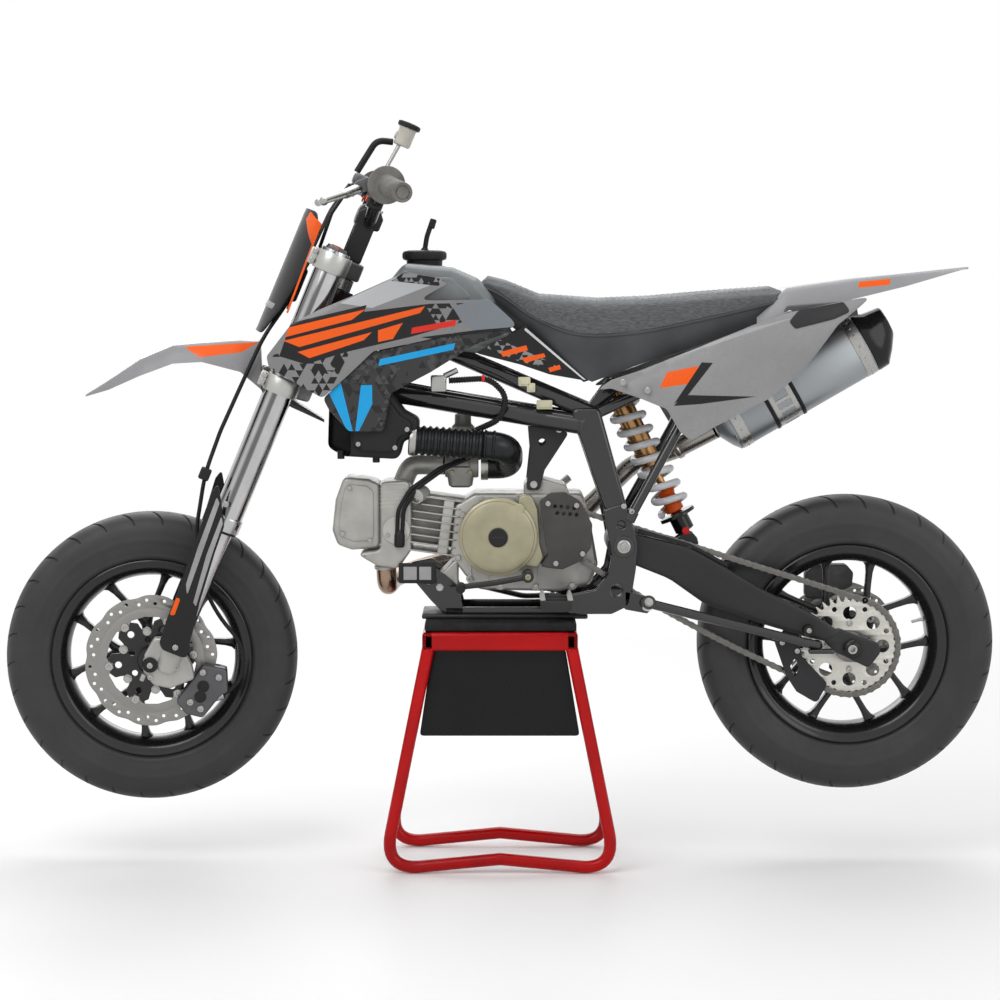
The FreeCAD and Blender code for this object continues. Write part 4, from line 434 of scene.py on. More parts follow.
def make_finishes(colours):
    """Every finish of the bike by its plain name."""
    orange, blue = tuple(colours.accent_orange), tuple(colours.accent_blue)
    panel, side_grey = tuple(colours.panel_grey), tuple(colours.side_grey)
    black, fender = tuple(colours.plastic_black), tuple(colours.fender_grey)
    silver = tuple(colours.engine_silver)
    ink, dusk = (.012, .012, .013), (.04, .04, .042)
    # bright and haze colour painted reflections on the upper shroud; red is print
    bright, painted_reflection_blue, red = (.46, .47, .48), (.2, .225, .25), (.72, .03, .015)
    upper_print_and_reflections = [
        # painted reflection: a light patch, partly the shroud's own lighter grey and partly white reflected
        # in its gloss
        (bright, [(-260, 942), (-156, 991), (-88, 981), (-208, 934)]),
        (ink, [(-177, 978), (-157, 992), (-88, 981), (-101, 970), (-130, 973)]),
        (shade(panel, 1.1), [(-177, 978), (-157, 992), (-88, 981), (-101, 970)], .008, .55),
        (ink, [(-339, 910), (-216, 939), (-245, 864), (-315, 843), (-358, 856)]),
        (ink, [(-216, 939), (-114, 941), (-49, 949), (-36, 918), (-146, 887), (-245, 864)]),
        # painted reflection: a blue-grey patch of gloss on the shroud's upper right
        (painted_reflection_blue, [(-78, 937), (-16, 952), (39, 905), (-39, 894), (-62, 911)]),
        (ink, [(-148, 889), (-39, 898), (39, 908), (39, 897), (-98, 882)]),
        (shade(panel, .95), [(-123, 942), (-49, 949), (-29, 918), (-78, 892), (-97, 897)], .011, .45),
        (ink, [(-380, 855), (-350, 863), (-241, 868), (-283, 785), (-325, 804), (-377, 835)], .0125, .5),
        (orange, [(-341, 903), (-218, 932), (-240, 915), (-348, 887)]),
        (orange, [(-351, 881), (-122, 937), (-130, 926), (-325, 871)]),
        (orange, [(-328, 863), (-208, 895), (-221, 882), (-309, 853)]),
        (orange, [(-198, 898), (-158, 910), (-174, 884), (-198, 879)]),
        (red, [(-143, 902), (-71, 915), (-73, 905), (-145, 892)]),
    ]
    lower_marks = [
        (shade(dusk, .45), [(-293, 720), (-292, 898), (49, 915), (49, 720)], .014, .66),
        (shade(dusk, 1.7), [(-293, 720), (-292, 898), (49, 915), (49, 720)], .009, .86),
        (blue, [(-278, 796), (-259, 814), (-240, 734), (-249, 734)]),
        (blue, [(-226, 809), (-208, 809), (-208, 778), (-230, 734), (-236, 734)]),
        (blue, [(-198, 840), (-195, 851), (-73, 877), (-76, 866)]),
    ]
    infill_marks = [
        (shade(panel, 1.05), [(-41, 862), (0, 882), (98, 839), (74, 829), (33, 846)], .009, .5),
        (orange, [(0, 862), (43, 873), (46, 865), (5, 854)]),
        (orange, [(36, 852), (72, 860), (75, 854), (41, 844)]),
        (orange, [(79, 836), (98, 841), (100, 834), (82, 829)]),
    ]
    side_print_and_highlight = [
        # painted highlight: a lighter band along the panel's upper front edge, where it folds
        (shade(side_grey, 1.35), [(146, 807), (182, 820), (487, 947), (568, 953), (568, 941), (487, 921)]),
        (orange, [(260, 804), (272, 830), (322, 840), (314, 812)]),
        (ink, [(328, 846), (346, 845), (306, 793), (283, 778)]),
        (ink, [(283, 775), (299, 793), (418, 790), (326, 778)]),
    ]
    fender_marks = [(orange, [(588, 967), (591, 977), (644, 982), (641, 972)])]
    front_marks = [(orange, [(-521, 870), (-399, 878), (-426, 861), (-495, 853)])]
    seat_ribs = [(-36, 1100), (470, 1100), (463, 947), (220, 895), (130, 892), (60, 917), (-36, 987)]
    FINISHES.update(
        tyre=tyre_rubber(),
        wheel_black=painted_metal("wheel_black", (.01, .01, .011), .26, coat=.3, orange_peel=.04),
        frame_black=painted_metal("frame_black", tuple(colours.frame_black), .2, coat=.7, orange_peel=.04),
        arm_black=painted_metal("arm_black", (.022, .022, .023), .42, orange_peel=.15),
        stand_red=painted_metal(
            "stand_red", tuple(colours.stand_red), .22, coat=.08, orange_peel=.03, gloss=.16
        ),
        black_plastic=moulded_plastic("black_plastic", black, .5),
        gloss_black=moulded_plastic("gloss_black", (.008, .008, .009), .18, .05, .3),
        bellows_black=moulded_plastic("bellows_black", (.007, .008, .009), .27, .1, .32),
        dark_plastic=moulded_plastic("dark_plastic", (.028, .028, .03), .38),
        tank_plastic=moulded_plastic("tank_plastic", (.2, .215, .22), .24, .04, .5),
        upper_shroud=print_and_painted_light_plastic("upper_shroud", panel, upper_print_and_reflections),
        lower_shroud=print_and_painted_light_plastic("lower_shroud", dusk, lower_marks),
        infill_panel=print_and_painted_light_plastic("infill_panel", ink, infill_marks),
        side_panel=print_and_painted_light_plastic("side_panel", side_grey, side_print_and_highlight, .28),
        rear_fender=print_and_painted_light_plastic("rear_fender", fender, fender_marks, .33),
        tail_grey=moulded_plastic("tail_grey", shade(fender, .3), .35, .08),
        front_fender=print_and_painted_light_plastic("front_fender", shade(fender, .92), front_marks, .3),
        plate_black=print_and_painted_light_plastic("plate_black", ink, [], .16),
        guard_panel=moulded_plastic("guard_panel", (.34, .335, .34), .3),
        guard_orange=moulded_plastic("guard_orange", orange, .35),
        accent_orange=moulded_plastic("accent_orange", shade(orange, .8), .4),
        engine_silver=cast_metal("engine_silver", silver, .44, .22),
        engine_grey=cast_metal("engine_grey", shade(silver, .72), .5),
        clamp_grey=cast_metal("clamp_grey", (.1, .1, .105), .4),
        cover_gold=cast_metal("cover_gold", tuple(colours.cover_gold), .42, .08),
        cover_grey=moulded_plastic("cover_grey", (.062, .06, .057), .42, .1),
        clamp_silver=brushed_metal("clamp_silver", (.5, .5, .475), .34, (1, 1, 9)),
        bright_metal=brushed_metal("bright_metal", (.43, .425, .41), .27, (1, 1, 1)),
        fork_chrome=polished_tube("fork_chrome", (.5, .5, .505), .14),
        pipe_steel=brushed_metal(
            "pipe_steel", (.34, .32, .295), .24, (1, 6, 1), (-.22, -.05, (.33, .2, .12))
        ),
        silencer_grey=brushed_metal("silencer_grey", (.33, .35, .362), .4, (6, 1, 6)),
        disc_front=ring_brushed("disc_front", (.3, .295, .28), .38, FRONT_WHEEL.translation, FRONT_WHEEL),
        disc_rear=ring_brushed("disc_rear", (.3, .295, .28), .38, REAR_WHEEL.translation, REAR_WHEEL),
        sprocket_zinc=brushed_metal("sprocket_zinc", (.6, .59, .54), .36, (1, 1, 1)),
        chain_steel=brushed_metal("chain_steel", (.17, .165, .155), .34, (1, 1, 1)),
        shock_gold=brushed_metal("shock_gold", tuple(colours.shock_gold), .25, (1, 1, 1)),
        spring_white=painted_metal("spring_white", tuple(colours.spring_white), .35, coat=.3),
        red_knob=painted_metal("red_knob", (.55, .01, .01), .3),
        hose_rubber=soft_rubber("hose_rubber", (.012, .012, .013), .45),
        grip_rubber=soft_rubber("grip_rubber", (.165, .16, .148)),
        peg_black=painted_metal("peg_black", (.02, .02, .02), .4),
        pad_rubber=soft_rubber("pad_rubber", (.016, .016, .016), .75),
        cup_white=moulded_plastic("cup_white", (.63, .6, .53), .35, .1),
        connector_cream=moulded_plastic("connector_cream", (.62, .59, .42), .4, .1),
        panel_sheet=moulded_plastic("panel_sheet", (.006, .006, .006), .3, .05, .2),
        seat_smooth=seat_leather("seat_smooth", (.058, .06, .063), 700, seat_ribs),
        seat_top=seat_leather("seat_top", (.12, .124, .127), 1100),
        stitch_thread=soft_rubber("stitch_thread", (.16, .16, .165), .7),
        white_line=moulded_plastic("white_line", (.62, .62, .62), .4, .05),
    )


# Shapes: each gives back a plain mesh

def mesh_of(points, faces):
    mesh = bpy.data.meshes.new("shape")
    mesh.from_pydata([tuple(p) for p in points], [], faces)
    return mesh


def lathe(profile, steps=72, ring=False):
    """A turned form about Y from points of radius and Y. A ring's profile closes on itself."""
    points, faces, rows = [], [], []
    for radius, y in profile:
        count = 1 if radius < MERGE_DISTANCE else steps
        rows.append(range(len(points), len(points) + count))
        for k in range(count):
            angle = TURN * k / steps
            points.append((radius * math.sin(angle), y, radius * math.cos(angle)))
    for low, high in zip(rows, rows[1:] + rows[:1] if ring else rows[1:]):
        for k in range(steps):
            j = (k + 1) % steps
            corners = [low[k % len(low)], low[j % len(low)], high[j % len(high)], high[k % len(high)]]
            corners = list(dict.fromkeys(corners))
            if len(corners) > 2:
                faces.append(corners)
    return mesh_of(points, faces)


def towards(start, end):
    """A matrix that lays a turned form's Y axis from one point to another."""
    start, end = Vector(start), Vector(end)
    turned = ACROSS.rotation_difference(end - start).to_matrix().to_4x4()
    return Matrix.Translation(start) @ turned


def bar(start, end, radius, ease=.0008, steps=32, tip_radius=None):
    """A round bar or cone between two points, with eased ends."""
    reach = (Vector(end) - Vector(start)).length
    tip = radius if tip_radius is None else tip_radius
    ease = min(ease, reach / 3, radius / 2, tip / 2)
    profile = [
        (0, 0), (radius - ease, 0), (radius, ease), (tip, reach - ease), (tip - ease, reach), (0, reach)
    ]
    mesh = lathe(profile, steps)
    mesh.transform(towards(start, end))
    return mesh


def turned(start, end, profile, steps=40):
    """A turned form along a line, from radii and shares of its length."""
    reach = (Vector(end) - Vector(start)).length
    line = [(radius, share * reach) for radius, share in profile]
    mesh = lathe([(0, line[0][1]), *line, (0, line[-1][1])], steps)
    mesh.transform(towards(start, end))
    return mesh


def arced(points, bend, steps=6):
    """A route's points with each corner eased into an arc."""
    points = [Vector(p) for p in points]
    route = [points[0]]
    for before, corner, after in zip(points, points[1:], points[2:]):
        into, out = (corner - before).normalized(), (after - corner).normalized()
        half_turn = into.angle(out, 0) / 2
        if half_turn < .01:
            route.append(corner)
            continue
        longest = .48 * min((corner - before).length, (after - corner).length)
        reach = min(bend * math.tan(half_turn), longest)
        start, end = corner - into * reach, corner + out * reach
        for k in range(steps + 1):
            t = k / steps
            route.append(start * (1 - t) ** 2 + corner * 2 * t * (1 - t) + end * t * t)
    return route + [points[-1]]


def swept(route, radii, sides=28):
    """A tube along a route, with a radius for each point."""
    points, faces = [], []
    across = None
    for i, place in enumerate(route):
        along = (route[min(i + 1, len(route) - 1)] - route[max(i - 1, 0)]).normalized()
        if across is None:
            aside = UPWARD if abs(along.z) < .9 else ALONG
            across = aside.cross(along).normalized()
        across = (across - along * across.dot(along)).normalized()
        upright = along.cross(across)
        for k in range(sides):
            angle = TURN * k / sides
            points.append(place + (across * math.cos(angle) + upright * math.sin(angle)) * radii[i])
    for i in range(len(route) - 1):
        for k in range(sides):
            j = (k + 1) % sides
            faces.append((i * sides + k, i * sides + j, (i + 1) * sides + j, (i + 1) * sides + k))
    faces.append(list(range(sides))[::-1])
    faces.append([(len(route) - 1) * sides + k for k in range(sides)])
    return mesh_of(points, faces)


def tube(points, radius, bend=.06, sides=None, steps=6):
    route = arced(points, bend, steps)
    return swept(route, [radius] * len(route), sides or bpy.context.scene.bike_body.tube_sides)


def eased(outline, radius, steps=4):
    """A flat outline with its corners rounded."""
    loop = [Vector((x, z, 0)) for x, z in outline]
    result = []
    for i, corner in enumerate(loop):
        before, after = loop[i - 1], loop[(i + 1) % len(loop)]
        into, out = (corner - before), (after - corner)
        turn = into.angle(out, 0)
        if turn < .12:
            result.append(corner)
            continue
        reach = min(radius * math.tan(turn / 2), .45 * into.length, .45 * out.length)
        start, end = corner - into.normalized() * reach, corner + out.normalized() * reach
        for k in range(steps + 1):
            t = k / steps
            result.append(start * (1 - t) ** 2 + corner * 2 * t * (1 - t) + end * t * t)
    return [(p.x, p.y) for p in result]


def around(centre, radius, turn):
    """The side-view spot at a turn about a centre, clockwise from the top."""
    return centre[0] + radius * math.sin(turn), centre[1] + radius * math.cos(turn)


def circle(centre, radius, steps=28):
    return [around(centre, radius, TURN * k / steps) for k in range(steps)]


def rim_rows(centre, radius, count):
    """Rows for copies round an upright rim: place, facing and lying direction."""
    ways = [Vector((math.cos(TURN * k / count), math.sin(TURN * k / count), 0)) for k in range(count)]
    return [(Vector(centre) + way * radius, way, UPWARD) for way in ways]


def slab(outline, low, high, holes=(), ease=.0012, corner=0.0, rounds=2):
    """A flat plate in plan view with eased edges and holes, given its low and high face."""
    drawn = bpy.data.curves.new("outline", "CURVE")
    drawn.dimensions = "2D"
    drawn.fill_mode = "BOTH"
    half = (high - low) / 2
    ease = min(ease, half * .8)
    drawn.extrude = half - ease
    drawn.bevel_depth = ease
    drawn.bevel_resolution = rounds
    drawn.offset = -ease
    for loop in [eased(outline, corner) if corner else outline, *holes]:
        spline = drawn.splines.new("POLY")
        spline.points.add(len(loop) - 1)
        for point, (x, y) in zip(spline.points, loop):
            point.co = (x, y, 0, 1)
        spline.use_cyclic_u = True
    shell = bpy.data.objects.new("outline", drawn)
    mesh = bpy.data.meshes.new_from_object(shell)
    mesh.transform(Matrix.Translation((0, 0, (low + high) / 2)))
    bpy.data.objects.remove(shell)
    bpy.data.curves.remove(drawn)
    return mesh


def plate(outline, y_from, y_to, holes=(), ease=.0012, corner=0.0, rounds=2):
    """A flat plate in side view with eased edges and holes, given its thickness across."""
    mesh = slab(outline, -y_to, -y_from, holes, ease, corner, rounds)
    mesh.transform(Y_TO_UP)
    return mesh


def beam(start, end, width, y_from, y_to, ease=.002):
    """A flat bar in side view."""
    start, end = Vector(start), Vector(end)
    away = (end - start).normalized()
    across = Vector((away.y, -away.x)) * width / 2
    corners = [start + across, end + across, end - across, start - across]
    return plate([tuple(c) for c in corners], y_from, y_to, ease=ease)


def block(low, high, ease=.002, segments=3):
    """A box with rounded edges between two corners."""
    form = bmesh.new()
    bmesh.ops.create_cube(form, size=1)
    size = [high[k] - low[k] for k in range(3)]
    bmesh.ops.scale(form, vec=size, verts=form.verts)
    bmesh.ops.translate(form, vec=[(high[k] + low[k]) / 2 for k in range(3)], verts=form.verts)
    reach = min(ease, min(size) * .45)
    bmesh.ops.bevel(form, geom=form.edges[:], offset=reach, segments=segments, affect="EDGES", profile=.5)
    return bmesh_done(form)


def bmesh_done(form):
    mesh = bpy.data.meshes.new("shape")
    form.to_mesh(mesh)
    form.free()
    return mesh


def loft(rings):
    """A skin over rings of equal point counts, closed at both ends."""
    count = len(rings[0])
    points = [p for ring in rings for p in ring]
    faces = []
    for i in range(len(rings) - 1):
        for k in range(count):
            j = (k + 1) % count
            faces.append((i * count + k, i * count + j, (i + 1) * count + j, (i + 1) * count + k))
    faces.append(list(range(count))[::-1])
    faces.append([(len(rings) - 1) * count + k for k in range(count)])
    return mesh_of(points, faces)


def smooth_line(points, at):
    """The height of a smooth line through points of x and value, at an x."""
    points = sorted(points)
    at = min(max(at, points[0][0]), points[-1][0])
    for i in range(len(points) - 1):
        if at <= points[i + 1][0]:
            break
    x0, y0 = points[i]
    x1, y1 = points[i + 1]
    before = points[i - 1] if i else (x0 - (x1 - x0), y0 - (y1 - y0))
    after = points[i + 2] if i + 2 < len(points) else (x1 + (x1 - x0), y1 + (y1 - y0))
    slope0 = (y1 - before[1]) / (x1 - before[0]) * (x1 - x0)
    slope1 = (after[1] - y0) / (after[0] - x0) * (x1 - x0)
    t = (at - x0) / (x1 - x0)
    return (
        (2 * t ** 3 - 3 * t ** 2 + 1) * y0 + (t ** 3 - 2 * t ** 2 + t) * slope0
        + (3 * t ** 2 - 2 * t ** 3) * y1 + (t ** 3 - t ** 2) * slope1
    )


def resampled(outline, spacing):
    """A closed outline with points no further apart than the spacing."""
    result = []
    for (x0, z0), (x1, z1) in zip(outline, outline[1:] + outline[:1]):
        count = max(1, round(math.hypot(x1 - x0, z1 - z0) / spacing))
        result.extend((x0 + (x1 - x0) * k / count, z0 + (z1 - z0) * k / count) for k in range(count))
    return result


def within(point, outline):
    x, z = point
    hit = False
    for (x0, z0), (x1, z1) in zip(outline, outline[1:] + outline[:1]):
        if (z0 > z) != (z1 > z) and x < (x1 - x0) * (z - z0) / (z1 - z0) + x0:
            hit = not hit
    return hit


def curved_panel(outline, depth, wall, corner=.008, spacing=.008, ease=.0009):
    """A bowed sheet cut to a side-view outline. Depth gives its Y from X and Z."""
    edge = resampled(eased(outline, corner), spacing)
    low = [min(p[k] for p in edge) for k in (0, 1)]
    high = [max(p[k] for p in edge) for k in (0, 1)]
    inner = []
    x = low[0]
    row = 0
    while x < high[0]:
        z = low[1] + (spacing / 2 if row % 2 else 0)
        while z < high[1]:
            near = min((px - x) ** 2 + (pz - z) ** 2 for px, pz in edge)
            if near > (spacing * .6) ** 2 and within((x, z), edge):
                inner.append((x, z))
            z += spacing
        x += spacing * .9
        row += 1
    flat = [Vector(p) for p in edge + inner]
    ring = [(k, (k + 1) % len(edge)) for k in range(len(edge))]
    points, _, faces, _, _, _ = delaunay_2d_cdt(flat, ring, [], 1, 1e-7)
    mesh = mesh_of([(p.x, depth(p.x, p.y), p.y) for p in points], [list(f) for f in faces])
    return thickened(mesh, wall, ease)


def thickened(mesh, wall, ease):
    """Give a sheet its wall and soften its rim."""
    shell = bpy.data.objects.new("sheet", mesh)
    bpy.context.scene.collection.objects.link(shell)
    solid = shell.modifiers.new("wall", "SOLIDIFY")
    solid.thickness = wall
    solid.offset = 0
    solid.use_even_offset = True
    rim = shell.modifiers.new("rim", "BEVEL")
    rim.width = ease
    rim.segments = 2
    rim.limit_method = "ANGLE"
    rim.angle_limit = math.radians(50)
    result = evaluated(shell)
    bpy.data.objects.remove(shell)
    return result


def evaluated(holder):
    """The plain mesh of an object with its modifiers applied."""
    bpy.context.view_layer.update()
    graph = bpy.context.evaluated_depsgraph_get()
    return bpy.data.meshes.new_from_object(holder.evaluated_get(graph))


def trimmed(mesh, spot, facing):
    """The mesh without what lies beyond a plane, closed again where it was cut."""
    made = bmesh.new()
    made.from_mesh(mesh)
    parts = made.verts[:] + made.edges[:] + made.faces[:]
    cut = bmesh.ops.bisect_plane(made, geom=parts, plane_co=spot, plane_no=facing, clear_outer=True)
    rim = [part for part in cut["geom_cut"] if isinstance(part, bmesh.types.BMEdge)]
    bmesh.ops.holes_fill(made, edges=rim)
    made.to_mesh(mesh)
    made.free()
    return mesh


def mirrored(mesh):
    """The same mesh on the other side of the bike."""
    twin = mesh.copy()
    twin.transform(Matrix.Diagonal((1, -1, 1, 1)))
    twin.flip_normals()
    return twin


# Geometry Nodes: trees for what repeats

class Tree:
    """A geometry tree under construction, with named inputs."""

    def __init__(self, name):
        self.tree = bpy.data.node_groups.new(name, "GeometryNodeTree")
        self.tree.interface.new_socket("Geometry", in_out="OUTPUT", socket_type="NodeSocketGeometry")
        self.inputs = {}
        self.source = self.tree.nodes.new("NodeGroupInput")
        self.sink = self.tree.nodes.new("NodeGroupOutput")

    def ask(self, name, kind):
        socket = self.tree.interface.new_socket(name, in_out="INPUT", socket_type="NodeSocket" + kind)
        self.inputs[name] = socket.identifier
        return next(s for s in self.source.outputs if s.identifier == socket.identifier)

    def add(self, kind, settings=None, **links):
        node = self.tree.nodes.new(kind)
        for key, value in (settings or {}).items():
            setattr(node, key, value)
        for key, value in links.items():
            socket = node.inputs[key.replace("_", " ")]
            if hasattr(value, "is_output"):
                self.tree.links.new(value, socket)
            else:
                socket.default_value = value
        return node

    def maths(self, operation, *values):
        node = self.add("ShaderNodeMath", {"operation": operation})
        for value, socket in zip(values, node.inputs):
            if hasattr(value, "is_output"):
                self.tree.links.new(value, socket)
            else:
                socket.default_value = value
        return node.outputs[0]

    def done(self, geometry, finish):
        """Realize the copies and set their material, the last two steps of every tree."""
        real = self.add("GeometryNodeRealizeInstances", Geometry=geometry)
        coloured = self.add("GeometryNodeSetMaterial", Geometry=real.outputs[0], Material=finish)
        self.tree.links.new(coloured.outputs[0], self.sink.inputs[0])
        return self

    def grown(self, mesh, **values):
        """The plain mesh that the tree makes of a mesh, with the inputs given by name."""
        holder = bpy.data.objects.new("holder", mesh)
        bpy.context.scene.collection.objects.link(holder)
        layer = holder.modifiers.new("tree", "NODES")
        layer.node_group = self.tree
        for name, value in values.items():
            layer[self.inputs[name.replace("_", " ")]] = value
        result = evaluated(holder)
        bpy.data.objects.remove(holder)
        return result


def copies_tree():
    """Copies of one object on points that say which way they face and lie."""
    tree = Tree("copies_on_points")
    points = tree.ask("Points", "Geometry")
    copy = tree.ask("Copy", "Object")
    size = tree.ask("Size", "Float")
    finish = tree.ask("Finish", "Material")
    facing, lying = (
        tree.add("GeometryNodeInputNamedAttribute", {"data_type": "FLOAT_VECTOR"}, Name=name)
        for name in ("facing", "lying")
    )
    turn = tree.add(
        "FunctionNodeAxesToRotation", {"primary_axis": "Z", "secondary_axis": "X"},
        Primary_Axis=facing.outputs[0], Secondary_Axis=lying.outputs[0],
    )
    shape = tree.add("GeometryNodeObjectInfo", Object=copy)
    spots = tree.add("GeometryNodeMeshToPoints", Mesh=points)
    placed = tree.add(
        "GeometryNodeInstanceOnPoints", Points=spots.outputs[0], Instance=shape.outputs["Geometry"],
        Rotation=turn.outputs[0], Scale=size,
    )
    return tree.done(placed.outputs[0], finish)


POINTS_A_RIB = 8


def ribbed_tree():
    """A hose along a line of points, with ribs at an even pitch."""
    tree = Tree("ribbed_hose")
    line = tree.ask("Line", "Geometry")
    radius = tree.ask("Radius", "Float")
    height = tree.ask("Rib height", "Float")
    pitch = tree.ask("Rib pitch", "Float")
    finish = tree.ask("Finish", "Material")
    route = tree.add("GeometryNodeMeshToCurve", Mesh=line)
    step = tree.maths("DIVIDE", pitch, POINTS_A_RIB)
    even = tree.add("GeometryNodeResampleCurve", {"mode": "LENGTH"}, Curve=route.outputs[0], Length=step)
    along = tree.add("GeometryNodeSplineParameter")
    turns = tree.maths("DIVIDE", along.outputs["Length"], pitch)
    wave = tree.maths("SINE", tree.maths("MULTIPLY", turns, TURN))
    swell = tree.maths("MULTIPLY_ADD", wave, height, radius)
    ring = tree.add("GeometryNodeCurvePrimitiveCircle", Resolution=32, Radius=1.0)
    skin = tree.add(
        "GeometryNodeCurveToMesh", Curve=even.outputs[0], Profile_Curve=ring.outputs[0], Fill_Caps=True
    )
    tree.tree.links.new(swell, skin.inputs["Scale"])
    return tree.done(skin.outputs[0], finish)


def coil_tree():
    """A coil spring that stands on its first turn's plane."""
    tree = Tree("coil_spring")
    turns = tree.ask("Turns", "Float")
    radius = tree.ask("Radius", "Float")
    height = tree.ask("Height", "Float")
    wire = tree.ask("Wire", "Float")
    finish = tree.ask("Finish", "Material")
    spiral = tree.add(
        "GeometryNodeCurveSpiral", Resolution=40, Rotations=turns, Start_Radius=radius, End_Radius=radius,
        Height=height,
    )
    ring = tree.add("GeometryNodeCurvePrimitiveCircle", Resolution=18, Radius=wire)
    skin = tree.add(
        "GeometryNodeCurveToMesh", Curve=spiral.outputs[0], Profile_Curve=ring.outputs[0], Fill_Caps=True
    )
    return tree.done(skin.outputs[0], finish)


TREES = {}


def spots(places):
    """A point mesh that carries, for each copy, its place, its facing and its lying direction."""
    mesh = mesh_of([place for place, _, _ in places], [])
    for name, column in (("facing", 1), ("lying", 2)):
        layer = mesh.attributes.new(name, "FLOAT_VECTOR", "POINT")
        for k, row in enumerate(places):
            layer.data[k].vector = Vector(row[column]).normalized()
    return mesh


def copies(shape, places, finish, size=1.0):
    """One mesh of many copies of a shape, each turned to face its own way."""
    pattern = bpy.data.objects.new("pattern", shape)
    bpy.context.scene.collection.objects.link(pattern)
    mesh = TREES["copies"].grown(spots(places), Copy=pattern, Size=size, Finish=FINISHES[finish])
    bpy.data.objects.remove(pattern)
    return mesh


def socket_bolt():
    """A cap screw's head with its round socket, one unit in radius, that stands on its base."""
    height, ease = .9, .12
    profile = [
        (0, height * .35), (.5, height * .35), (.55, height), (1 - ease, height), (1, height - ease), (1, 0),
        (0, 0),
    ]
    mesh = lathe(profile, 20)
    mesh.transform(Y_TO_UP)
    return mesh


def flange_bolt():
    """A hexagon bolt's head on its washer face, one unit in radius."""
    form = bmesh.new()
    bmesh.ops.create_cone(form, cap_ends=True, segments=24, radius1=1.25, radius2=1.15, depth=.3)
    bmesh.ops.translate(form, vec=(0, 0, .15), verts=form.verts)
    top = bmesh.ops.create_cone(form, cap_ends=True, segments=6, radius1=.95, radius2=.9, depth=.7)["verts"]
    bmesh.ops.translate(form, vec=(0, 0, .6), verts=top)
    return bmesh_done(form)


class Piece:
    """A finished piece under construction: shapes joined as they are added, most in its main finish."""

    def __init__(self, name, place=WORLD, finish=None):
        self.name = name
        self.place = place
        self.finish = finish
        self.form = bmesh.new()
        self.finishes = []

    def add(self, mesh, finish=None, place=None, recalculate=True):
        """Join a shape, in the piece's finish and place unless it has its own. Its doubles are merged."""
        finish = finish or self.finish
        if finish not in self.finishes:
            self.finishes.append(finish)
        part = bmesh.new()
        part.from_mesh(mesh)
        bmesh.ops.remove_doubles(part, verts=part.verts, dist=MERGE_DISTANCE)
        bmesh.ops.transform(part, matrix=place or self.place, verts=part.verts)
        if recalculate:
            bmesh.ops.recalc_face_normals(part, faces=part.faces)
        for face in part.faces:
            face.material_index = self.finishes.index(finish)
            face.smooth = True
        joined = bmesh_done(part)
        self.form.from_mesh(joined)
        bpy.data.meshes.remove(joined)
        bpy.data.meshes.remove(mesh)
        return self

    def scatter(self, shape, rows, finish, size=1.0, place=None, recalculate=True):
        """Join copies of a shape at rows of place, facing and lying direction."""
        return self.add(copies(shape, rows, finish, size), finish, place, recalculate)

    def bolt(self, heads, size=None, finish="bright_metal", kind=socket_bolt, place=None):
        """Join bolt heads at rows of place and facing."""
        rows = [(spot, facing, ALONG if abs(Vector(facing).x) < .9 else UPWARD) for spot, facing in heads]
        return self.scatter(kind(), rows, finish, size or bpy.context.scene.bike_machine.bolt_head, place)

    def done(self, *nodes, replaced=True):
        """The finished object, riding on its nodes' body in their place, or beside them."""
        mesh = bmesh_done(self.form)
        mesh.name = self.name
        for finish in self.finishes:
            mesh.materials.append(FINISHES[finish])
        mesh.set_sharp_from_angle(angle=SHARP_ANGLE)
        piece = bpy.data.objects.new(self.name, mesh)
        bpy.context.scene.collection.objects.link(piece)
        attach(piece, body_of(nodes[0]))
        if replaced:
            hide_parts(*nodes)
        return piece


# Places and outlines, from millimetres and from shares of a box

def at(x, y, z):
    """A place in metres from millimetres."""
    return Vector((x, y, z)) / 1000


def both(side, near, far):
    """The low and high Y of a layer on one side of the bike."""
    return sorted((side * near, side * far))


def flat(*points):
    """Side-view points in metres from millimetres."""
    return [(x / 1000, z / 1000) for x, z in points]


def sketch(shares, start, span):
    """Side-view points in metres from shares of a span in millimetres."""
    return [((start[0] + a * span[0]) / 1000, (start[1] + b * span[1]) / 1000) for a, b in shares]


def through(points, per=4):
    """A smooth open line through points of two values."""
    result = []
    for i in range(len(points) - 1):
        p0, p1, p2 = points[max(i - 1, 0)], points[i], points[i + 1]
        p3 = points[min(i + 2, len(points) - 1)]
        for k in range(per):
            t = k / per
            result.append(tuple(
                .5 * (2 * p1[c] + (p2[c] - p0[c]) * t + (2 * p0[c] - 5 * p1[c] + 4 * p2[c] - p3[c]) * t ** 2
                       + (3 * p1[c] - p0[c] - 3 * p2[c] + p3[c]) * t ** 3)
                for c in (0, 1)
            ))
    return result + [points[-1]]


# Wheels

BEAD = .16
TYRE_SHARES = [
    (1, 0), (.988, .34), (.95, .6), (.88, .8), (.76, .94), (.6, 1), (.42, .985), (.24, .92), (.12, .84),
    (.075, .745), (0, .7),
]
GROOVE_COLUMNS = [
    (0, 0, 0), (.06, 0, 0), (.08, 1, 0), (.14, 1, 0), (.16, 0, 0), (.3, 0, 0),
    (.5, 0, 0), (.56, 0, 0), (.58, 0, 1), (.64, 0, 1), (.66, 0, 0), (.8, 0, 0),
]


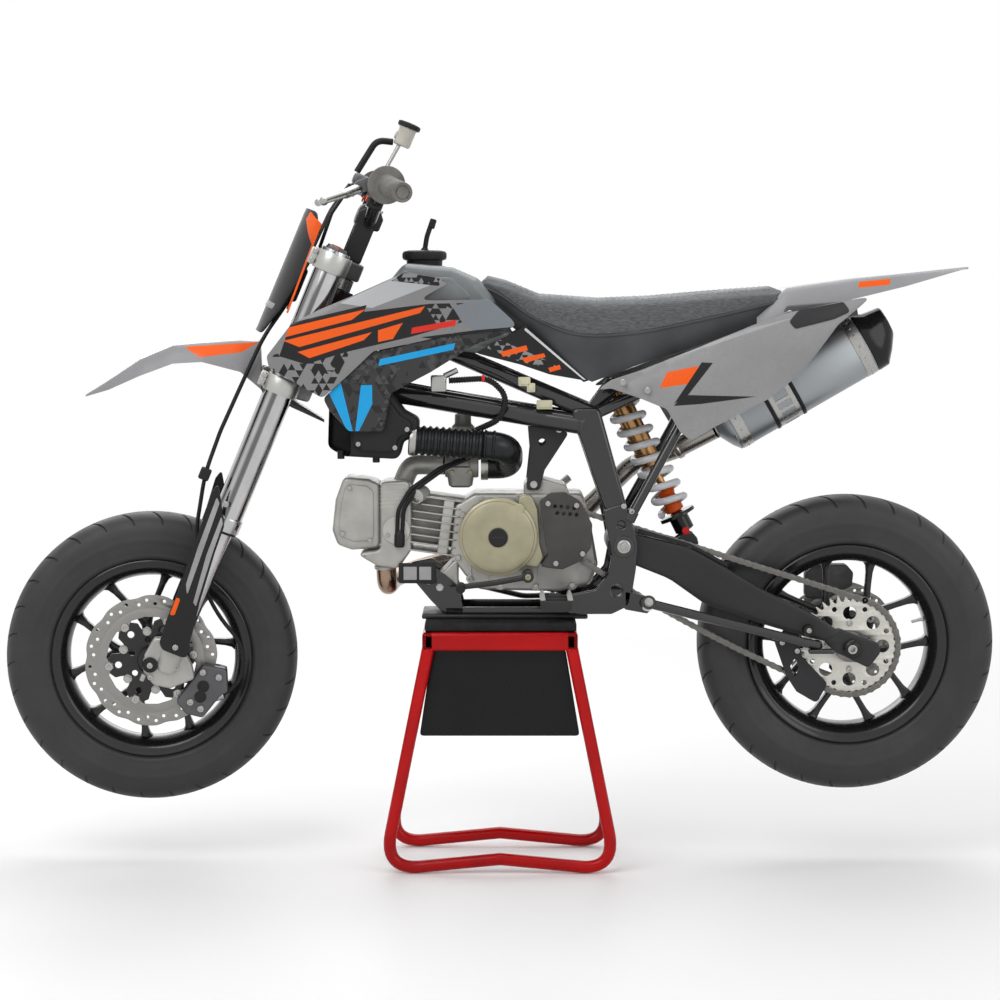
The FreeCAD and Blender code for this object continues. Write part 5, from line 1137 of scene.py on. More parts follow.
def tyre_mesh(radius, half_width, sizes):
    """A tyre with slanted tread grooves that alternate from side to side."""
    tall = radius - BEAD
    side = through([(BEAD + a * tall, b * half_width) for a, b in TYRE_SHARES], 4)
    profile = [(r, -y) for r, y in reversed(side)] + side[1:]
    columns = [(k + share, a, b) for k in range(sizes.groove_count) for share, a, b in GROOVE_COLUMNS]
    points = []
    for r, y in profile:
        reach = abs(y) / half_width
        height = (r - BEAD) / tall
        deep = sizes.groove_depth if .14 < reach and height > .8 else 0
        raised = .0011 if .44 < height < .52 or .1 < height < .2 else 0
        for turn, left, right in columns:
            cut = deep * (left if y < 0 else right)
            angle = (turn + .5 * reach) * TURN / sizes.groove_count
            out = y + math.copysign(raised, y)
            points.append(((r - cut) * math.sin(angle), out, (r - cut) * math.cos(angle)))
    rows, count = len(profile), len(columns)
    faces = []
    for i in range(rows):
        for k in range(count):
            j, after = (k + 1) % count, (i + 1) % rows
            faces.append((i * count + k, i * count + j, after * count + j, after * count + k))
    return mesh_of(points, faces)


def section(centre, across, upward, wide, tall, boxy=.45, count=20):
    """A rounded box section as a ring of points."""
    ring = []
    for k in range(count):
        angle = TURN * k / count
        c, s = math.cos(angle), math.sin(angle)
        a = math.copysign(abs(c) ** boxy, c) * wide / 2
        b = math.copysign(abs(s) ** boxy, s) * tall / 2
        ring.append(centre + across * a + upward * b)
    return ring


def strut(start, end, stations):
    """A limb in side view, thicker across (Y), through stations of share, width and depth."""
    start, end = Vector(start), Vector(end)
    along = (end - start).normalized()
    across = along.cross(ACROSS).normalized()
    return loft([section(start.lerp(end, t), across, ACROSS, wide, deep) for t, wide, deep in stations])


SPOKE_PAIRS = 5
SPOKE_SPREAD = math.radians(20.3)
DISC_ARMS = 6
SPOKE_STATIONS = [
    (0, .02, .023), (.12, .0145, .0235), (.3, .0112, .021), (.6, .0102, .0195), (.82, .0115, .02),
    (.94, .0155, .022), (1, .024, .026),
]


def cast_wheel(piece, half, hub_half, first_turn, sizes):
    """A cast rim with rolled flanges, five V pairs of spokes and its hub."""
    lip = sizes.flange_lip
    flank = [
        (.144, -half + .02), (.153, -half + .012), (.153, -half + .004), (.16, -half + .004),
        (.164, -half + .0042), (.166 - lip * .3, -half + .0038), (.166, -half + lip * .9),
        (.1656, -half + lip * .3), (.1642, -half), (.1622, -half + .0004), (.1602, -half + .0016),
        (.156, -half + .0022), (.152, -half + .0036), (.148, -half + .0072), (.144, -half + .0125),
        (.1405, -half + .019), (.1385, -half + .027), (.1375, -.01),
    ]
    profile = flank + [(r, -y) for r, y in reversed(flank)]
    piece.add(lathe(profile, 120, ring=True), "wheel_black")
    for k in range(SPOKE_PAIRS):
        middle = first_turn + TURN * k / SPOKE_PAIRS
        root = Vector((math.sin(middle), 0, math.cos(middle)))
        web = strut(root * .022, root * .066, [
            (0, .026, .04), (.5, .019, .028), (.85, .017, .024), (1, .012, .018)
        ])
        piece.add(web, "wheel_black")
        for side in SIDES:
            tip_turn = middle + side * SPOKE_SPREAD
            tip = Vector((math.sin(tip_turn), 0, math.cos(tip_turn)))
            piece.add(strut(root * .056, tip * .1392, SPOKE_STATIONS), "wheel_black")
    hub = [
        (.0085, -hub_half), (.0225, -hub_half), (.024, -hub_half + .0012), (.0265, -hub_half + .0018),
        (.027, -hub_half + .004), (.027, -.03), (.0315, -.018), (.033, -.01),
    ]
    piece.add(lathe(hub + [(r, -y) for r, y in reversed(hub)], 56, ring=True), "wheel_black")
    seal = lathe([
        (.0095, -hub_half - .0004), (.019, -hub_half - .0004), (.0195, -hub_half + .001),
        (.0095, -hub_half + .001),
    ], 40, ring=True)
    piece.add(seal, "hose_rubber")
    valve = strut((0, 0, .118), (0, 0, .1385), [(0, .005, .005), (.6, .0058, .0058), (1, .0085, .0085)])
    piece.add(
        valve, "bright_metal", piece.place @ Matrix.Rotation(first_turn + math.pi / SPOKE_PAIRS, 4, "Y")
    )


def brake_disc_piece(piece, radius, y, finish, sizes):
    """A stepped wave disc with round holes on a black six-armed carrier with bright buttons."""
    waves, half = sizes.disc_waves, sizes.disc_thickness / 2

    def spot(turn, share):
        return radius * share * math.sin(turn), radius * share * math.cos(turn)

    def place_on(turn, share, height):
        across, upright = spot(turn, share)
        return across, height, upright

    def round_the_arms(shares, shift=0):
        return [
            spot(TURN * (k + shift + a) / DISC_ARMS, reach) for k in range(DISC_ARMS) for a, reach in shares
        ]

    band = [
        spot(TURN * k / 240, 1 - .03 * (.5 + .5 * math.cos(waves * TURN * k / 240)) ** 3) for k in range(240)
    ]
    holes = [[spot(TURN * k / 120, .795) for k in range(120)]]
    for k in range(waves):
        for share, reach in ((.05, .87), (.27, .925), (.5, .87), (.73, .925)):
            holes.append(circle(spot(TURN * (k + share) / waves, reach), radius * .026, 12))
    piece.add(plate(band, y - half, y + half, holes, ease=.0005, rounds=1), finish)
    step = [spot(TURN * k / 120, .8) for k in range(120)]
    opening = round_the_arms(
        ((-.3, .675), (0, .675), (.3, .675), (.38, .64), (.44, .575), (.56, .575), (.62, .64)), .5
    )
    piece.add(plate(step, y - half * 1.25, y + half * 1.25, [opening], ease=.0005, rounds=1), finish)
    carrier = round_the_arms(
        ((-.42, .42), (-.33, .52), (-.3, .6), (-.14, .665), (.14, .665), (.3, .6), (.33, .52), (.42, .42))
    )
    inward = -math.copysign(.0022, y)
    cut = [circle((0, 0), radius * .205, 40)]
    for shift, reach, size in ((0, .5, .052), (.5, .315, .045)):
        cut += [
            circle(spot(TURN * (k + shift) / DISC_ARMS, reach), radius * size, 20) for k in range(DISC_ARMS)
        ]
    piece.add(plate(carrier, y + inward - .0026, y + inward + .0026, cut, .0008, .004), "wheel_black")
    outward = ACROSS if y > 0 else -ACROSS
    for k in range(DISC_ARMS):
        button = lathe([
            (0, -.0046), (.002, -.0046), (.0026, -.0052), (.0066, -.005), (.0073, -.004), (.0073, .004),
            (.0066, .005), (0, .0046),
        ], 28)
        piece.add(
            button, "bright_metal", piece.place @ Matrix.Translation(place_on(TURN * k / DISC_ARMS, .64, y))
        )
    heads = [
        (place_on(TURN * (k + .5) / DISC_ARMS, .45, y + inward + outward.y * .0026), outward)
        for k in range(DISC_ARMS)
    ]
    piece.bolt(heads, .0062, kind=flange_bolt)
    collar = lathe([
        (.009, y + inward * 1.2), (.024, y + inward * 1.2), (.025, y * .93), (.025, y * .9), (.009, y * .9)
    ], 40, ring=True)
    piece.add(collar, "wheel_black")


SMALL_TEETH = 16
SMALL_SPROCKET = (.11, .572)
CHAIN_Y = -.0685
LOW_RUN_SAG = .014


def chain_pins(sizes):
    """The chain's pin centres, clockwise round both sprockets, seen from the left."""
    pitch, teeth, small_teeth = sizes.chain_pitch, sizes.sprocket_teeth, SMALL_TEETH
    big_radius = pitch / 2 / math.sin(math.pi / teeth)
    small_radius = pitch / 2 / math.sin(math.pi / small_teeth)
    big, small = (REAR_WHEEL.translation.x, REAR_WHEEL.translation.z), SMALL_SPROCKET
    dx, dz = big[0] - small[0], big[1] - small[1]
    slope = math.atan2(dz, dx)
    lean = math.asin((big_radius - small_radius) / math.hypot(dx, dz))
    top_turn, low_turn = -slope - lean, math.pi - slope + lean
    tooth = TURN / teeth
    first, last = math.ceil(top_turn / tooth), math.floor(low_turn / tooth)
    on_big = [around(big, big_radius, k * tooth) for k in range(first, last + 1)]
    wrap = TURN - low_turn + top_turn
    steps = round(wrap / (TURN / small_teeth))
    on_small = [around(small, small_radius, low_turn + wrap * k / steps) for k in range(steps + 1)]

    def run(start, end, sag):
        count = round(math.hypot(end[0] - start[0], end[1] - start[1]) / pitch)
        return [
            (start[0] + (end[0] - start[0]) * k / count,
             start[1] + (end[1] - start[1]) * k / count - sag * 4 * k / count * (1 - k / count))
            for k in range(1, count)
        ]

    return on_big + run(on_big[-1], on_small[0], LOW_RUN_SAG) + on_small + run(on_small[-1], on_big[0], 0)


def link_plate(pitch, low, high):
    """A waisted chain side plate, lying flat, its pins along X."""
    rim = []
    for end in (1, -1):
        for k in range(-5, 6):
            angle = math.pi * k / 12
            rim.append((end * (pitch / 2 + .0052 * math.cos(angle)), end * .0052 * math.sin(angle)))
        rim.append((end * -.0001, end * .004))
    return slab(rim, low, high, ease=.0003, rounds=1)


def chain_shapes(pitch):
    """The inner link with its rollers and the outer link with its pins."""
    outer, inner = Piece("outer"), Piece("inner")
    for side in SIDES:
        inner.add(link_plate(pitch, *both(side, .0034, .0048)), "chain_steel")
        outer.add(link_plate(pitch, *both(side, .005, .0063)), "chain_steel")
    for end in SIDES:
        upright = Matrix.Translation((end * pitch / 2, 0, 0)) @ Y_TO_UP
        inner.add(lathe([
            (0, -.0034), (.0038, -.0032), (.0038, .0032), (0, .0034)
        ], 16), "chain_steel", upright)
        outer.add(lathe([
            (0, -.0068), (.0017, -.0067), (.0019, -.0062), (.0019, .0062), (.0017, .0067), (0, .0068)
        ], 12), "chain_steel", upright)
    return bmesh_done(outer.form), bmesh_done(inner.form)


class BIKE_OT_front_wheel(bpy.types.Operator):
    """Build the front tyre, the cast front wheel and its wave disc"""

    bl_idname = "bike.front_wheel"
    bl_label = "Front wheel"

    def execute(self, context):
        sizes = context.scene.bike_wheels
        Piece("front_tyre_skin", FRONT_WHEEL).add(tyre_mesh(.243, .05, sizes), "tyre").done("front_tyre")
        wheel = Piece("front_cast_wheel", FRONT_WHEEL)
        cast_wheel(wheel, .04, .052, math.radians(-33.0), sizes)
        wheel.done("front_rim")
        disc = Piece("front_wave_disc", FRONT_WHEEL)
        brake_disc_piece(disc, .11, -.058, "disc_front", sizes)
        disc.done("front_disc")
        return {"FINISHED"}


class BIKE_OT_rear_wheel(bpy.types.Operator):
    """Build the rear tyre, the cast rear wheel, its wave disc, the sprocket and the chain"""

    bl_idname = "bike.rear_wheel"
    bl_label = "Rear wheel and chain"

    def execute(self, context):
        sizes = context.scene.bike_wheels
        Piece("rear_tyre_skin", REAR_WHEEL).add(tyre_mesh(.248, .057, sizes), "tyre").done("rear_tyre")
        wheel = Piece("rear_cast_wheel", REAR_WHEEL)
        cast_wheel(wheel, .047, .052, math.radians(38.2), sizes)
        wheel.done("rear_rim")
        disc = Piece("rear_wave_disc", REAR_WHEEL)
        brake_disc_piece(disc, .095, .06, "disc_rear", sizes)
        disc.done("rear_disc")
        self.sprocket(sizes)
        self.chain(sizes)
        return {"FINISHED"}

    def sprocket(self, sizes):
        teeth = sizes.sprocket_teeth
        pitch_radius = sizes.chain_pitch / 2 / math.sin(math.pi / teeth)
        rim = []
        for k in range(teeth):
            for share, height in (
                (.1, -.0062), (.24, -.004), (.37, .0012), (.44, .0046), (.56, .0046), (.63, .0012),
                (.76, -.004), (.9, -.0062),
            ):
                rim.append(around((0, 0), pitch_radius + height, TURN * (k + share) / teeth))
        holes = [circle((0, 0), .0255, 40)]
        for k in range(8):
            holes.append(circle(around((0, 0), .055, TURN * k / 8), .011, 28))
            holes.append(circle(around((0, 0), .066, TURN * k / 8 + TURN / 16), .0042, 16))
        gear = Piece("rear_toothed_sprocket", REAR_WHEEL)
        gear.add(plate(rim, -.0711, -.0659, holes, .0006, rounds=1), "sprocket_zinc")
        boss = lathe([
            (.0092, -.053), (.0268, -.053), (.027, -.064), (.033, -.0648), (.033, -.07), (.0235, -.0702),
            (.023, -.0715), (.0092, -.0715),
        ], 48, ring=True)
        gear.add(boss, "engine_grey")
        heads = [((x, -.0711, z), -ACROSS) for x, z in circle((0, 0), .0385, 4)]
        gear.bolt(heads, .005)
        gear.done("rear_sprocket")

    def chain(self, sizes):
        pins = chain_pins(sizes)
        outer, inner = chain_shapes(sizes.chain_pitch)
        rows = ([], [])
        for k, (x, z) in enumerate(pins):
            after = pins[(k + 1) % len(pins)]
            middle = Vector(((x + after[0]) / 2, CHAIN_Y, (z + after[1]) / 2))
            rows[k % 2].append((middle, ACROSS, Vector((after[0] - x, 0, after[1] - z))))
        loop = Piece("roller_chain")
        loop.scatter(outer, rows[0], "chain_steel", recalculate=False)
        loop.scatter(inner, rows[1], "chain_steel", recalculate=False)
        loop.done("drive_chain")


# Front end, in the steering frame: Z up the steering axis, Y along the wheel's axle

LEG_X, LEG_Y = -.028, .09
AXLE_X = -.055


class BIKE_OT_fork(bpy.types.Operator):
    """Build the fork, its clamps, guards, axle, caliper and brake hose"""

    bl_idname = "bike.fork"
    bl_label = "Fork"

    def execute(self, context):
        names = ("fork_upper_tubes", "fork_lower_legs", "fork_leg_guards")
        tubes, legs, guards = (Piece(name, STEERING) for name in names)
        for side in SIDES:
            self.leg(tubes, legs, side)
            self.guard(guards, side)
        tubes.done("fork_tubes")
        legs.done("fork_legs")
        guards.done("fork_guards")
        self.clamps()
        self.axle()
        self.caliper()
        hose = [
            at(-46, 150, 858), at(-60, 110, 806), at(-66, 36, 704), at(-68, -30, 646), at(-86, -58, 570),
            at(-90, -70, 480), at(-93, -80, 400), at(-90, -88, 326), at(-70, -80, 240), at(-34, -66, 160),
            at(20, -70, 112), at(76, -80, 84), at(96, -84, 30), at(72, -76, -14),
        ]
        line = Piece("front_brake_hose", STEERING).add(tube(hose, .0034, .2, 14, 8), "hose_rubber")
        line.add(block(at(-99, -97, 316), at(-81, -79, 336), .003), "black_plastic")
        line.add(bar(at(60, -70, -22), at(78, -78, -6), .0062), "bright_metal")
        line.done("brake_hose")
        return {"FINISHED"}

    def leg(self, tubes, legs, side):
        y = side * LEG_Y
        low, high = Vector((LEG_X, y, .252)), Vector((LEG_X, y, .746))
        profile = [
            (.018, 0), (.0255, 0), (.026, .003), (.026, .042), (.0252, .046), (.0236, .05), (.0235, .056),
            (.0235, .47), (.0228, .48), (.0228, .52), (.0235, .525), (.0235, .996), (.0228, 1),
        ]
        tubes.add(turned(low, high, profile, 56), "fork_chrome")
        wiper = [(.0178, 0), (.0225, 0), (.0232, .25), (.0232, .8), (.0225, 1)]
        tubes.add(turned(Vector((LEG_X, y, .2475)), Vector((LEG_X, y, .2535)), wiper, 48), "hose_rubber")
        cap = [(.019, 0), (.019, .45), (.0175, .55), (.017, 1)]
        tubes.add(turned(Vector((LEG_X, y, .745)), Vector((LEG_X, y, .752)), cap, 6), "clamp_grey")
        tubes.add(bar((LEG_X, y, .75), (LEG_X, y, .7535), .008), "accent_orange")
        legs.add(bar((LEG_X, y, .004), (LEG_X, y, .326), .0175, steps=48), "fork_chrome")
        lug = sketch([
            (.05, .84), (.42, 1), (.86, .62), (1, .4), (.66, .06), (.36, 0), (.1, .16), (0, .48)
        ], (-70, -30), (92, 88))
        legs.add(
            plate(lug, y - .012, y + .012, [circle((AXLE_X, 0), .0083, 36)], .0045, .008, 4), "engine_silver"
        )
        socket = [(.0175, 0), (.0215, .1), (.022, .5), (.0205, .85), (.0178, 1)]
        legs.add(turned(Vector((LEG_X, y, -.002)), Vector((LEG_X, y, .072)), socket, 48), "engine_silver")
        legs.add(
            bar((AXLE_X - .003, y - .0115, -.018), (AXLE_X - .003, y - .0115, -.03), .0045), "bright_metal"
        )
        face = ((LEG_X + .014, y + side * .012, .012), ACROSS * side)
        legs.bolt([face, ((AXLE_X + .008, y + side * .012, -.019), ACROSS * side)], .0046)

    def guard(self, piece, side):
        guard_box = (-69, 34), (67, 288)
        rim = sketch([
            (.07, 1), (0, .94), (.07, .76), (.1, .55), (.16, .33), (.16, .18), (.21, .03), (.33, 0), (1, 0),
            (.9, .1), (.75, .33), (.63, .63), (.6, .78), (.31, .91),
        ], *guard_box)
        panel = sketch([(.16, .93), (.2, .62), (.27, .4), (.4, .34), (.34, .62), (.28, .9)], *guard_box)
        blade = sketch([(.44, .84), (.46, .6), (.6, .32), (.7, .3), (.58, .62), (.54, .8)], *guard_box)
        patch = sketch([(.175, .31), (.185, .2), (.3, .21), (.28, .31)], *guard_box)

        def bowed(lift):
            return lambda x, z: side * (.1195 + lift - 26 * (x - LEG_X - .002) ** 2 * .1)

        piece.add(curved_panel(rim, bowed(0), .0036, .012, .007), "gloss_black")
        for shape in (panel, blade):
            piece.add(curved_panel(shape, bowed(.0017), .001, .003, .008, .0003), "guard_panel")
        piece.add(curved_panel(patch, bowed(.0017), .0011, .004, .008, .0003), "guard_orange")
        post = bar((LEG_X, side * .103, .046), (LEG_X, side * .118, .046), .006)
        piece.add(post, "black_plastic")
        heads = [
            ((LEG_X, side * .1212, .046), ACROSS * side), ((LEG_X - .012, side * .1208, .296), ACROSS * side)
        ]
        piece.bolt(heads, .0048)

    def clamps(self):
        piece = Piece("fork_clamps_and_stem", STEERING, finish="bright_metal")
        for bottom, top in ((.494, .522), (.709, .741)):
            bridge = flat((-40, -92), (-40, 92), (-4, 92), (24, 32), (26, 0), (24, -32), (-4, -92))
            piece.add(slab(bridge, bottom + .001, top - .001, (), .004, .012, 3), "clamp_grey")
            for side in SIDES:
                middle = Vector((LEG_X, side * LEG_Y, 0))
                ring = [
                    (.0238, bottom), (.0283, bottom), (.0292, bottom + .002), (.0292, top - .002),
                    (.0283, top), (.0238, top),
                ]
                upright = Matrix.Translation(middle) @ Y_TO_DOWN
                band = lathe([(r, -z) for r, z in ring], 64, ring=True)
                piece.add(band, "clamp_silver", STEERING @ upright)
                y = side * (LEG_Y - .004)
                ear = block(
                    (LEG_X - .04, y - .008, bottom + .002), (LEG_X - .024, y + .008, top - .002), .002
                )
                piece.add(ear, "clamp_silver")
                for height in (bottom + .008, top - .008):
                    ends = (LEG_X - .033, y - .013, height), (LEG_X - .033, y + .013, height)
                    piece.add(bar(*ends, .0042))
        piece.add(bar((0, 0, .494), (0, 0, .742), .014), "clamp_grey")
        piece.add(bar((0, 0, .741), (0, 0, .749), .0145, .001, 6))
        for height, reach in ((.522, .552), (.676, .709)):
            piece.add(bar((0, 0, height), (0, 0, reach), .0192))
        for y in (-.042, .042):
            piece.add(block((-.016, y - .008, .74), (.016, y + .008, .806), .003), "black_plastic")
            cap = plate(
                flat((-18, 800), (-18, 822), (-8, 832), (16, 832), (24, 822), (24, 800)), y - .008, y + .008,
                ease=.003, corner=.006,
            )
            piece.add(cap, "black_plastic")
            heads = [((x, y, .8315), UPWARD) for x in (-.008, .015)]
            piece.bolt(heads, .0042)
        piece.done("triple_clamps")

    def axle(self):
        piece = Piece("front_axle_and_sliders", FRONT_WHEEL)
        piece.add(bar((0, -.104, 0), (0, .104, 0), .008), "bright_metal")
        for side in SIDES:
            slider = [(.0128, 0), (.013, .3), (.012, .75), (.0085, 1)]
            piece.add(turned((0, side * .1022, 0), (0, side * .1078, 0), slider, 36), "gloss_black")
            piece.bolt([((0, side * .1074, 0), ACROSS * side)], .0048)
        for low, high in ((-.078, -.062), (.054, .078)):
            piece.add(bar((0, low, 0), (0, high, 0), .013), "engine_grey")
        piece.done("front_axle")

    def caliper(self):
        piece = Piece("front_brake_caliper", STEERING, finish="clamp_grey")
        caliper_box = (7.5, -58), (74, 95)
        rim = sketch([(.25, .92), (.78, 1), (1, .64), (.87, .5), (.7, .04), (.31, 0), (0, .14)], *caliper_box)
        for low, high in ((-.085, -.0625), (-.0535, -.0445)):
            piece.add(plate(rim, low, high, ease=.004, corner=.008, rounds=3))
        spine = sketch([(.62, .98), (.78, 1), (1, .64), (.87, .5), (.8, .3), (.74, .6)], *caliper_box)
        piece.add(plate(spine, -.064, -.052, ease=.001, corner=.003))
        heads = [
            ((x, -.0852, z), -ACROSS) for x, z in ((.0305, .018), (.058, .02), (.03, -.036), (.05, -.04))
        ]
        piece.bolt(heads, .0055)
        for place in ((.04, -.085, -.004), (.042, -.085, -.022)):
            cup = turned(
                place, (place[0], place[1] - .0022, place[2]), [(.01, 0), (.0098, .8), (.0085, 1)], 32
            )
            piece.add(cup, "black_plastic")
        piece.done("front_caliper")


class BIKE_OT_cockpit(bpy.types.Operator):
    """Build the handlebar, grips, hand controls, reservoir, number plate and front fender"""

    bl_idname = "bike.cockpit"
    bl_label = "Cockpit"

    def execute(self, context):
        self.handlebar()
        self.grips()
        self.controls()
        self.reservoir()
        self.number_plate()
        self.fender()
        return {"FINISHED"}

    def handlebar(self):
        half = [at(4, 62, 812), at(-4, 168, 873), at(0, 240, 873), at(24, 366, 869)]
        route = [Vector((p.x, -p.y, p.z)) for p in reversed(half)] + half
        piece = Piece("handlebar_and_pad", STEERING)
        piece.add(tube(route, .0109, .06, 32, 8), "wheel_black")
        pad = [section(Vector((.004, y, .812)), ALONG, UPWARD, wide, wide * 1.05, .6, 28) for y, wide in
               ((-.036, .03), (-.034, .038), (-.028, .041), (.028, .041), (.034, .038), (.036, .03))]
        piece.add(loft([[p + Vector((-.004, 0, .004)) for p in ring] for ring in pad]), "dark_plastic")
        piece.done("handlebar")

    def grips(self):
        piece = Piece("ribbed_grips", STEERING, finish="grip_rubber")
        for side in SIDES:
            inner, outer = at(0, side * 240, 873), at(24, side * 366, 869)
            ridges = [(.03, 0), (.0305, .02), (.03, .045), (.0175, .06)]
            for k in range(22):
                start = .08 + k * .039
                ridges.extend([
                    (.0152, start), (.016, start + .01), (.016, start + .024), (.0152, start + .034)
                ])
            ridges.extend([(.015, .955), (.0158, .965), (.0155, .995), (.013, 1)])
            piece.add(turned(inner, outer, ridges, 48))
            aim = (outer - inner).normalized()
            piece.add(
                turned(outer - aim * .001, outer + aim * .002, [(.0095, 0), (.0095, .6), (.008, 1)], 32),
            )
        piece.done("grips")

    def controls(self):
        piece = Piece("levers_and_switches", STEERING, finish="clamp_grey")
        for side in SIDES:
            pivot, knuckle, tip = at(-36, side * 222, 853), at(-56, side * 262, 833), at(-82, side * 345, 811)
            route = arced([pivot, knuckle, tip], .05, 10)
            radii = [.008 - .0026 * k / (len(route) - 1) for k in range(len(route))]
            piece.add(swept(route, radii, 20), "bright_metal")
            ball = lathe([
                (0, -.0072), (.004, -.006), (.0066, -.003), (.0072, 0), (.0066, .003), (.004, .006),
                (0, .0072),
            ], 24)
            piece.add(ball, "bright_metal", STEERING @ Matrix.Translation(tip))
            ring = turned(at(-.5, side * 213, 873), at(-.5, side * 231, 873), [
                (.015, 0), (.0165, .1), (.0165, .9), (.015, 1)
            ], 36)
            piece.add(ring)
            arm = plate(
                flat((-46, 844), (-46, 860), (-34, 872), (-8, 880), (-8, 866), (-26, 850), (-36, 842)),
                side * .222 - .008, side * .222 + .008, ease=.002, corner=.005,
            )
            piece.add(arm)
            piece.add(bar((-.036, side * .222, .842), (-.036, side * .222, .864), .0062), "bright_metal")
            heads = [((-.017, side * .222 + d, .8795), UPWARD) for d in (-.0045, .0045)]
            piece.bolt(heads, .0034)
        piece.add(turned(at(-.3, 231.8, 873), at(0, 239.2, 873), [
            (.022, 0), (.0238, .12), (.0238, .88), (.022, 1)
        ], 40), "black_plastic")
        piece.add(block(at(-45, 153, 863), at(-6, 212, 883), .006, 4))
        piece.add(bar(at(8, 196, 955), at(-1, 196, 880), .0036), "bright_metal")
        piece.add(
            tube([at(-4, 194, 956), at(-31, 190, 948), at(-42, 186, 884)], .0058, .03, 20), "hose_rubber"
        )
        for y in (-.118, .118):
            piece.add(block((-.014, y - .01, .832), (.012, y + .01, .856), .003), "black_plastic")
            piece.add(
                bar((-.015, y, .844), (-.018, y, .844), .0052), "red_knob" if y > 0 else "accent_orange"
            )
        cable = [at(-38, -214, 853), at(-52, -170, 842), at(-60, -110, 800), at(-56, -50, 742)]
        piece.add(tube(cable, .003, .06, 12), "hose_rubber")
        piece.done("hand_controls")

    def reservoir(self):
        piece = Piece("brake_fluid_cup", STEERING)
        cup = [(.0125, 0), (.0148, .06), (.0152, .2), (.0152, .88), (.016, .92), (.016, 1)]
        piece.add(turned(at(12, 196, 955), at(12, 196, 989), cup, 44), "cup_white")
        cap = [(.0185, 0), (.0198, .12), (.0198, .72), (.018, .9), (.01, 1)]
        piece.add(turned(at(12, 196, 988), at(12, 196, 998), cap, 40), "black_plastic")
        rows = rim_rows(at(12, 196, 992.5), .0196, 24)
        piece.scatter(block((-.0034, -.0008, -.0004), (.0034, .0008, .0006), .0003, 1), rows, "black_plastic")
        piece.add(block(at(-6, 190, 964), at(-1, 202, 976), .0015), "bright_metal")
        piece.done("brake_reservoir")

    def number_plate(self):
        piece = Piece("number_plate_shell", STEERING, finish="dark_plastic")
        half, low, tall = .088, .573, .22
        arc = [(-1, 0), (-.72, .48), (-.36, .86), (0, 1), (.36, .86), (.72, .48), (1, 0)]
        rim = [
            (-.5, 0), (-.8, .22), (-1, .62), (-.96, .86), (-.7, 1), (.7, 1), (.96, .86), (1, .62), (.8, .22),
            (.5, 0),
        ]
        face = [(a * half * .985, low + b * tall) for a, b in rim]
        sideways = Matrix.Rotation(math.pi / 2, 4, "Z")

        def bowed(lift):
            return lambda y, z: .101 - .04 * (1 - smooth_line(arc, max(-1, min(1, y / half)))) + lift

        turned_round = STEERING @ sideways
        piece.add(curved_panel(face, bowed(0), .0034, .016, .008, .0012), "plate_black", turned_round)
        stripe = [
            (half * a, low + b * tall)
            for a, b in ((-.985, .22), (-.945, .22), (-.9, .76), (-.46, .92), (-.52, .985), (-.93, .93))
        ]
        twin = [(-y, z) for y, z in reversed(stripe)]
        for shape in (stripe, twin):
            piece.add(
                curved_panel(shape, bowed(.0018), .0008, .003, .008, .0003), "guard_orange", turned_round
            )
        line = [(half * a, low + b * tall) for a, b in ((-.56, .2), (.56, .2), (.6, .245), (-.6, .245))]
        piece.add(curved_panel(line, bowed(.0018), .0008, .002, .008, .0003), "guard_panel", turned_round)
        piece.add(block(at(-101, -15, 710), at(-40, 15, 738), .004))
        piece.add(block(at(-74, -34, 640), at(-58, 34, 700), .006))
        piece.done("number_plate")

    def fender(self):
        piece = Piece("front_fender_blade", STEERING)
        shares = [
            (0, .34, .32, .22), (.1, .52, .41, .55), (.23, .77, .58, .8), (.37, .94, .73, .92),
            (.49, .97, .75, .98), (.65, 1, .63, 1), (.735, .98, .42, .95), (.742, .45, .38, .93),
            (.86, .29, .2, .8), (1, .03, 0, .4),
        ]
        turn = Matrix.Translation(joint_place("steering_turn")) @ Matrix.Rotation(
            math.radians(5), 4, joint_axis("steering_turn")
        )
        place = turn @ Matrix.Translation(-joint_place("steering_turn"))
        piece.add(fender_mesh(shares, (-.69, .744), (.395, .138), .062, .003, .66), "front_fender", place)
        piece.add(block(at(-46, -18, 484), at(-10, 18, 494), .003), "black_plastic")
        heads = [((x, y, .4835), -UPWARD) for x in (-.038, -.018) for y in (-.011, .011)]
        piece.bolt(heads, .0042)
        piece.done("front_fender")


def fender_mesh(shares, start, span, half_width, wall, crown_share, fine=5):
    """A mudguard of smooth arched sections, given along its length as top, low and width shares."""
    stations = []
    for i in range(len(shares) - 1):
        a, b = shares[i], shares[i + 1]
        steps = fine if b[0] - a[0] > .02 else 1
        stations.extend(tuple(a[c] + (b[c] - a[c]) * k / steps for c in range(4)) for k in range(steps))
    stations.append(shares[-1])
    rings = []
    for along, top, low, wide in stations:
        x = start[0] + along * span[0]
        high, foot, out = start[1] + top * span[1], start[1] + low * span[1], half_width * wide
        crown = out * crown_share
        over = arch(out, crown, foot, high, 0)
        under = arch(out, crown, foot, high, wall)
        rings.append([Vector((x, y, z)) for y, z in over + under[::-1]])
    return loft(rings)


def arch(out, crown, foot, high, inset):
    """An arched cross-section from one skirt over the crown to the other."""
    out, crown, high = out - inset, crown - inset * .6, high - inset
    line = [(-out, foot), (-out + (out - crown) * .35, foot + (high - foot) * .45)]
    line += [
        (-crown - (out - crown) * .12, high - (high - foot) * .08), (-crown * .86, high), (-crown * .4, high),
        (0, high),
    ]
    smooth = through(line, 3)
    return smooth + [(-y, z) for y, z in reversed(smooth[:-1])]


# Frame and rear end

PIVOT = (.204, 0, .542)
STAND_HINGE = at(243, -118, 451)
STAND_AIM = Vector((.061, -.962, .264))


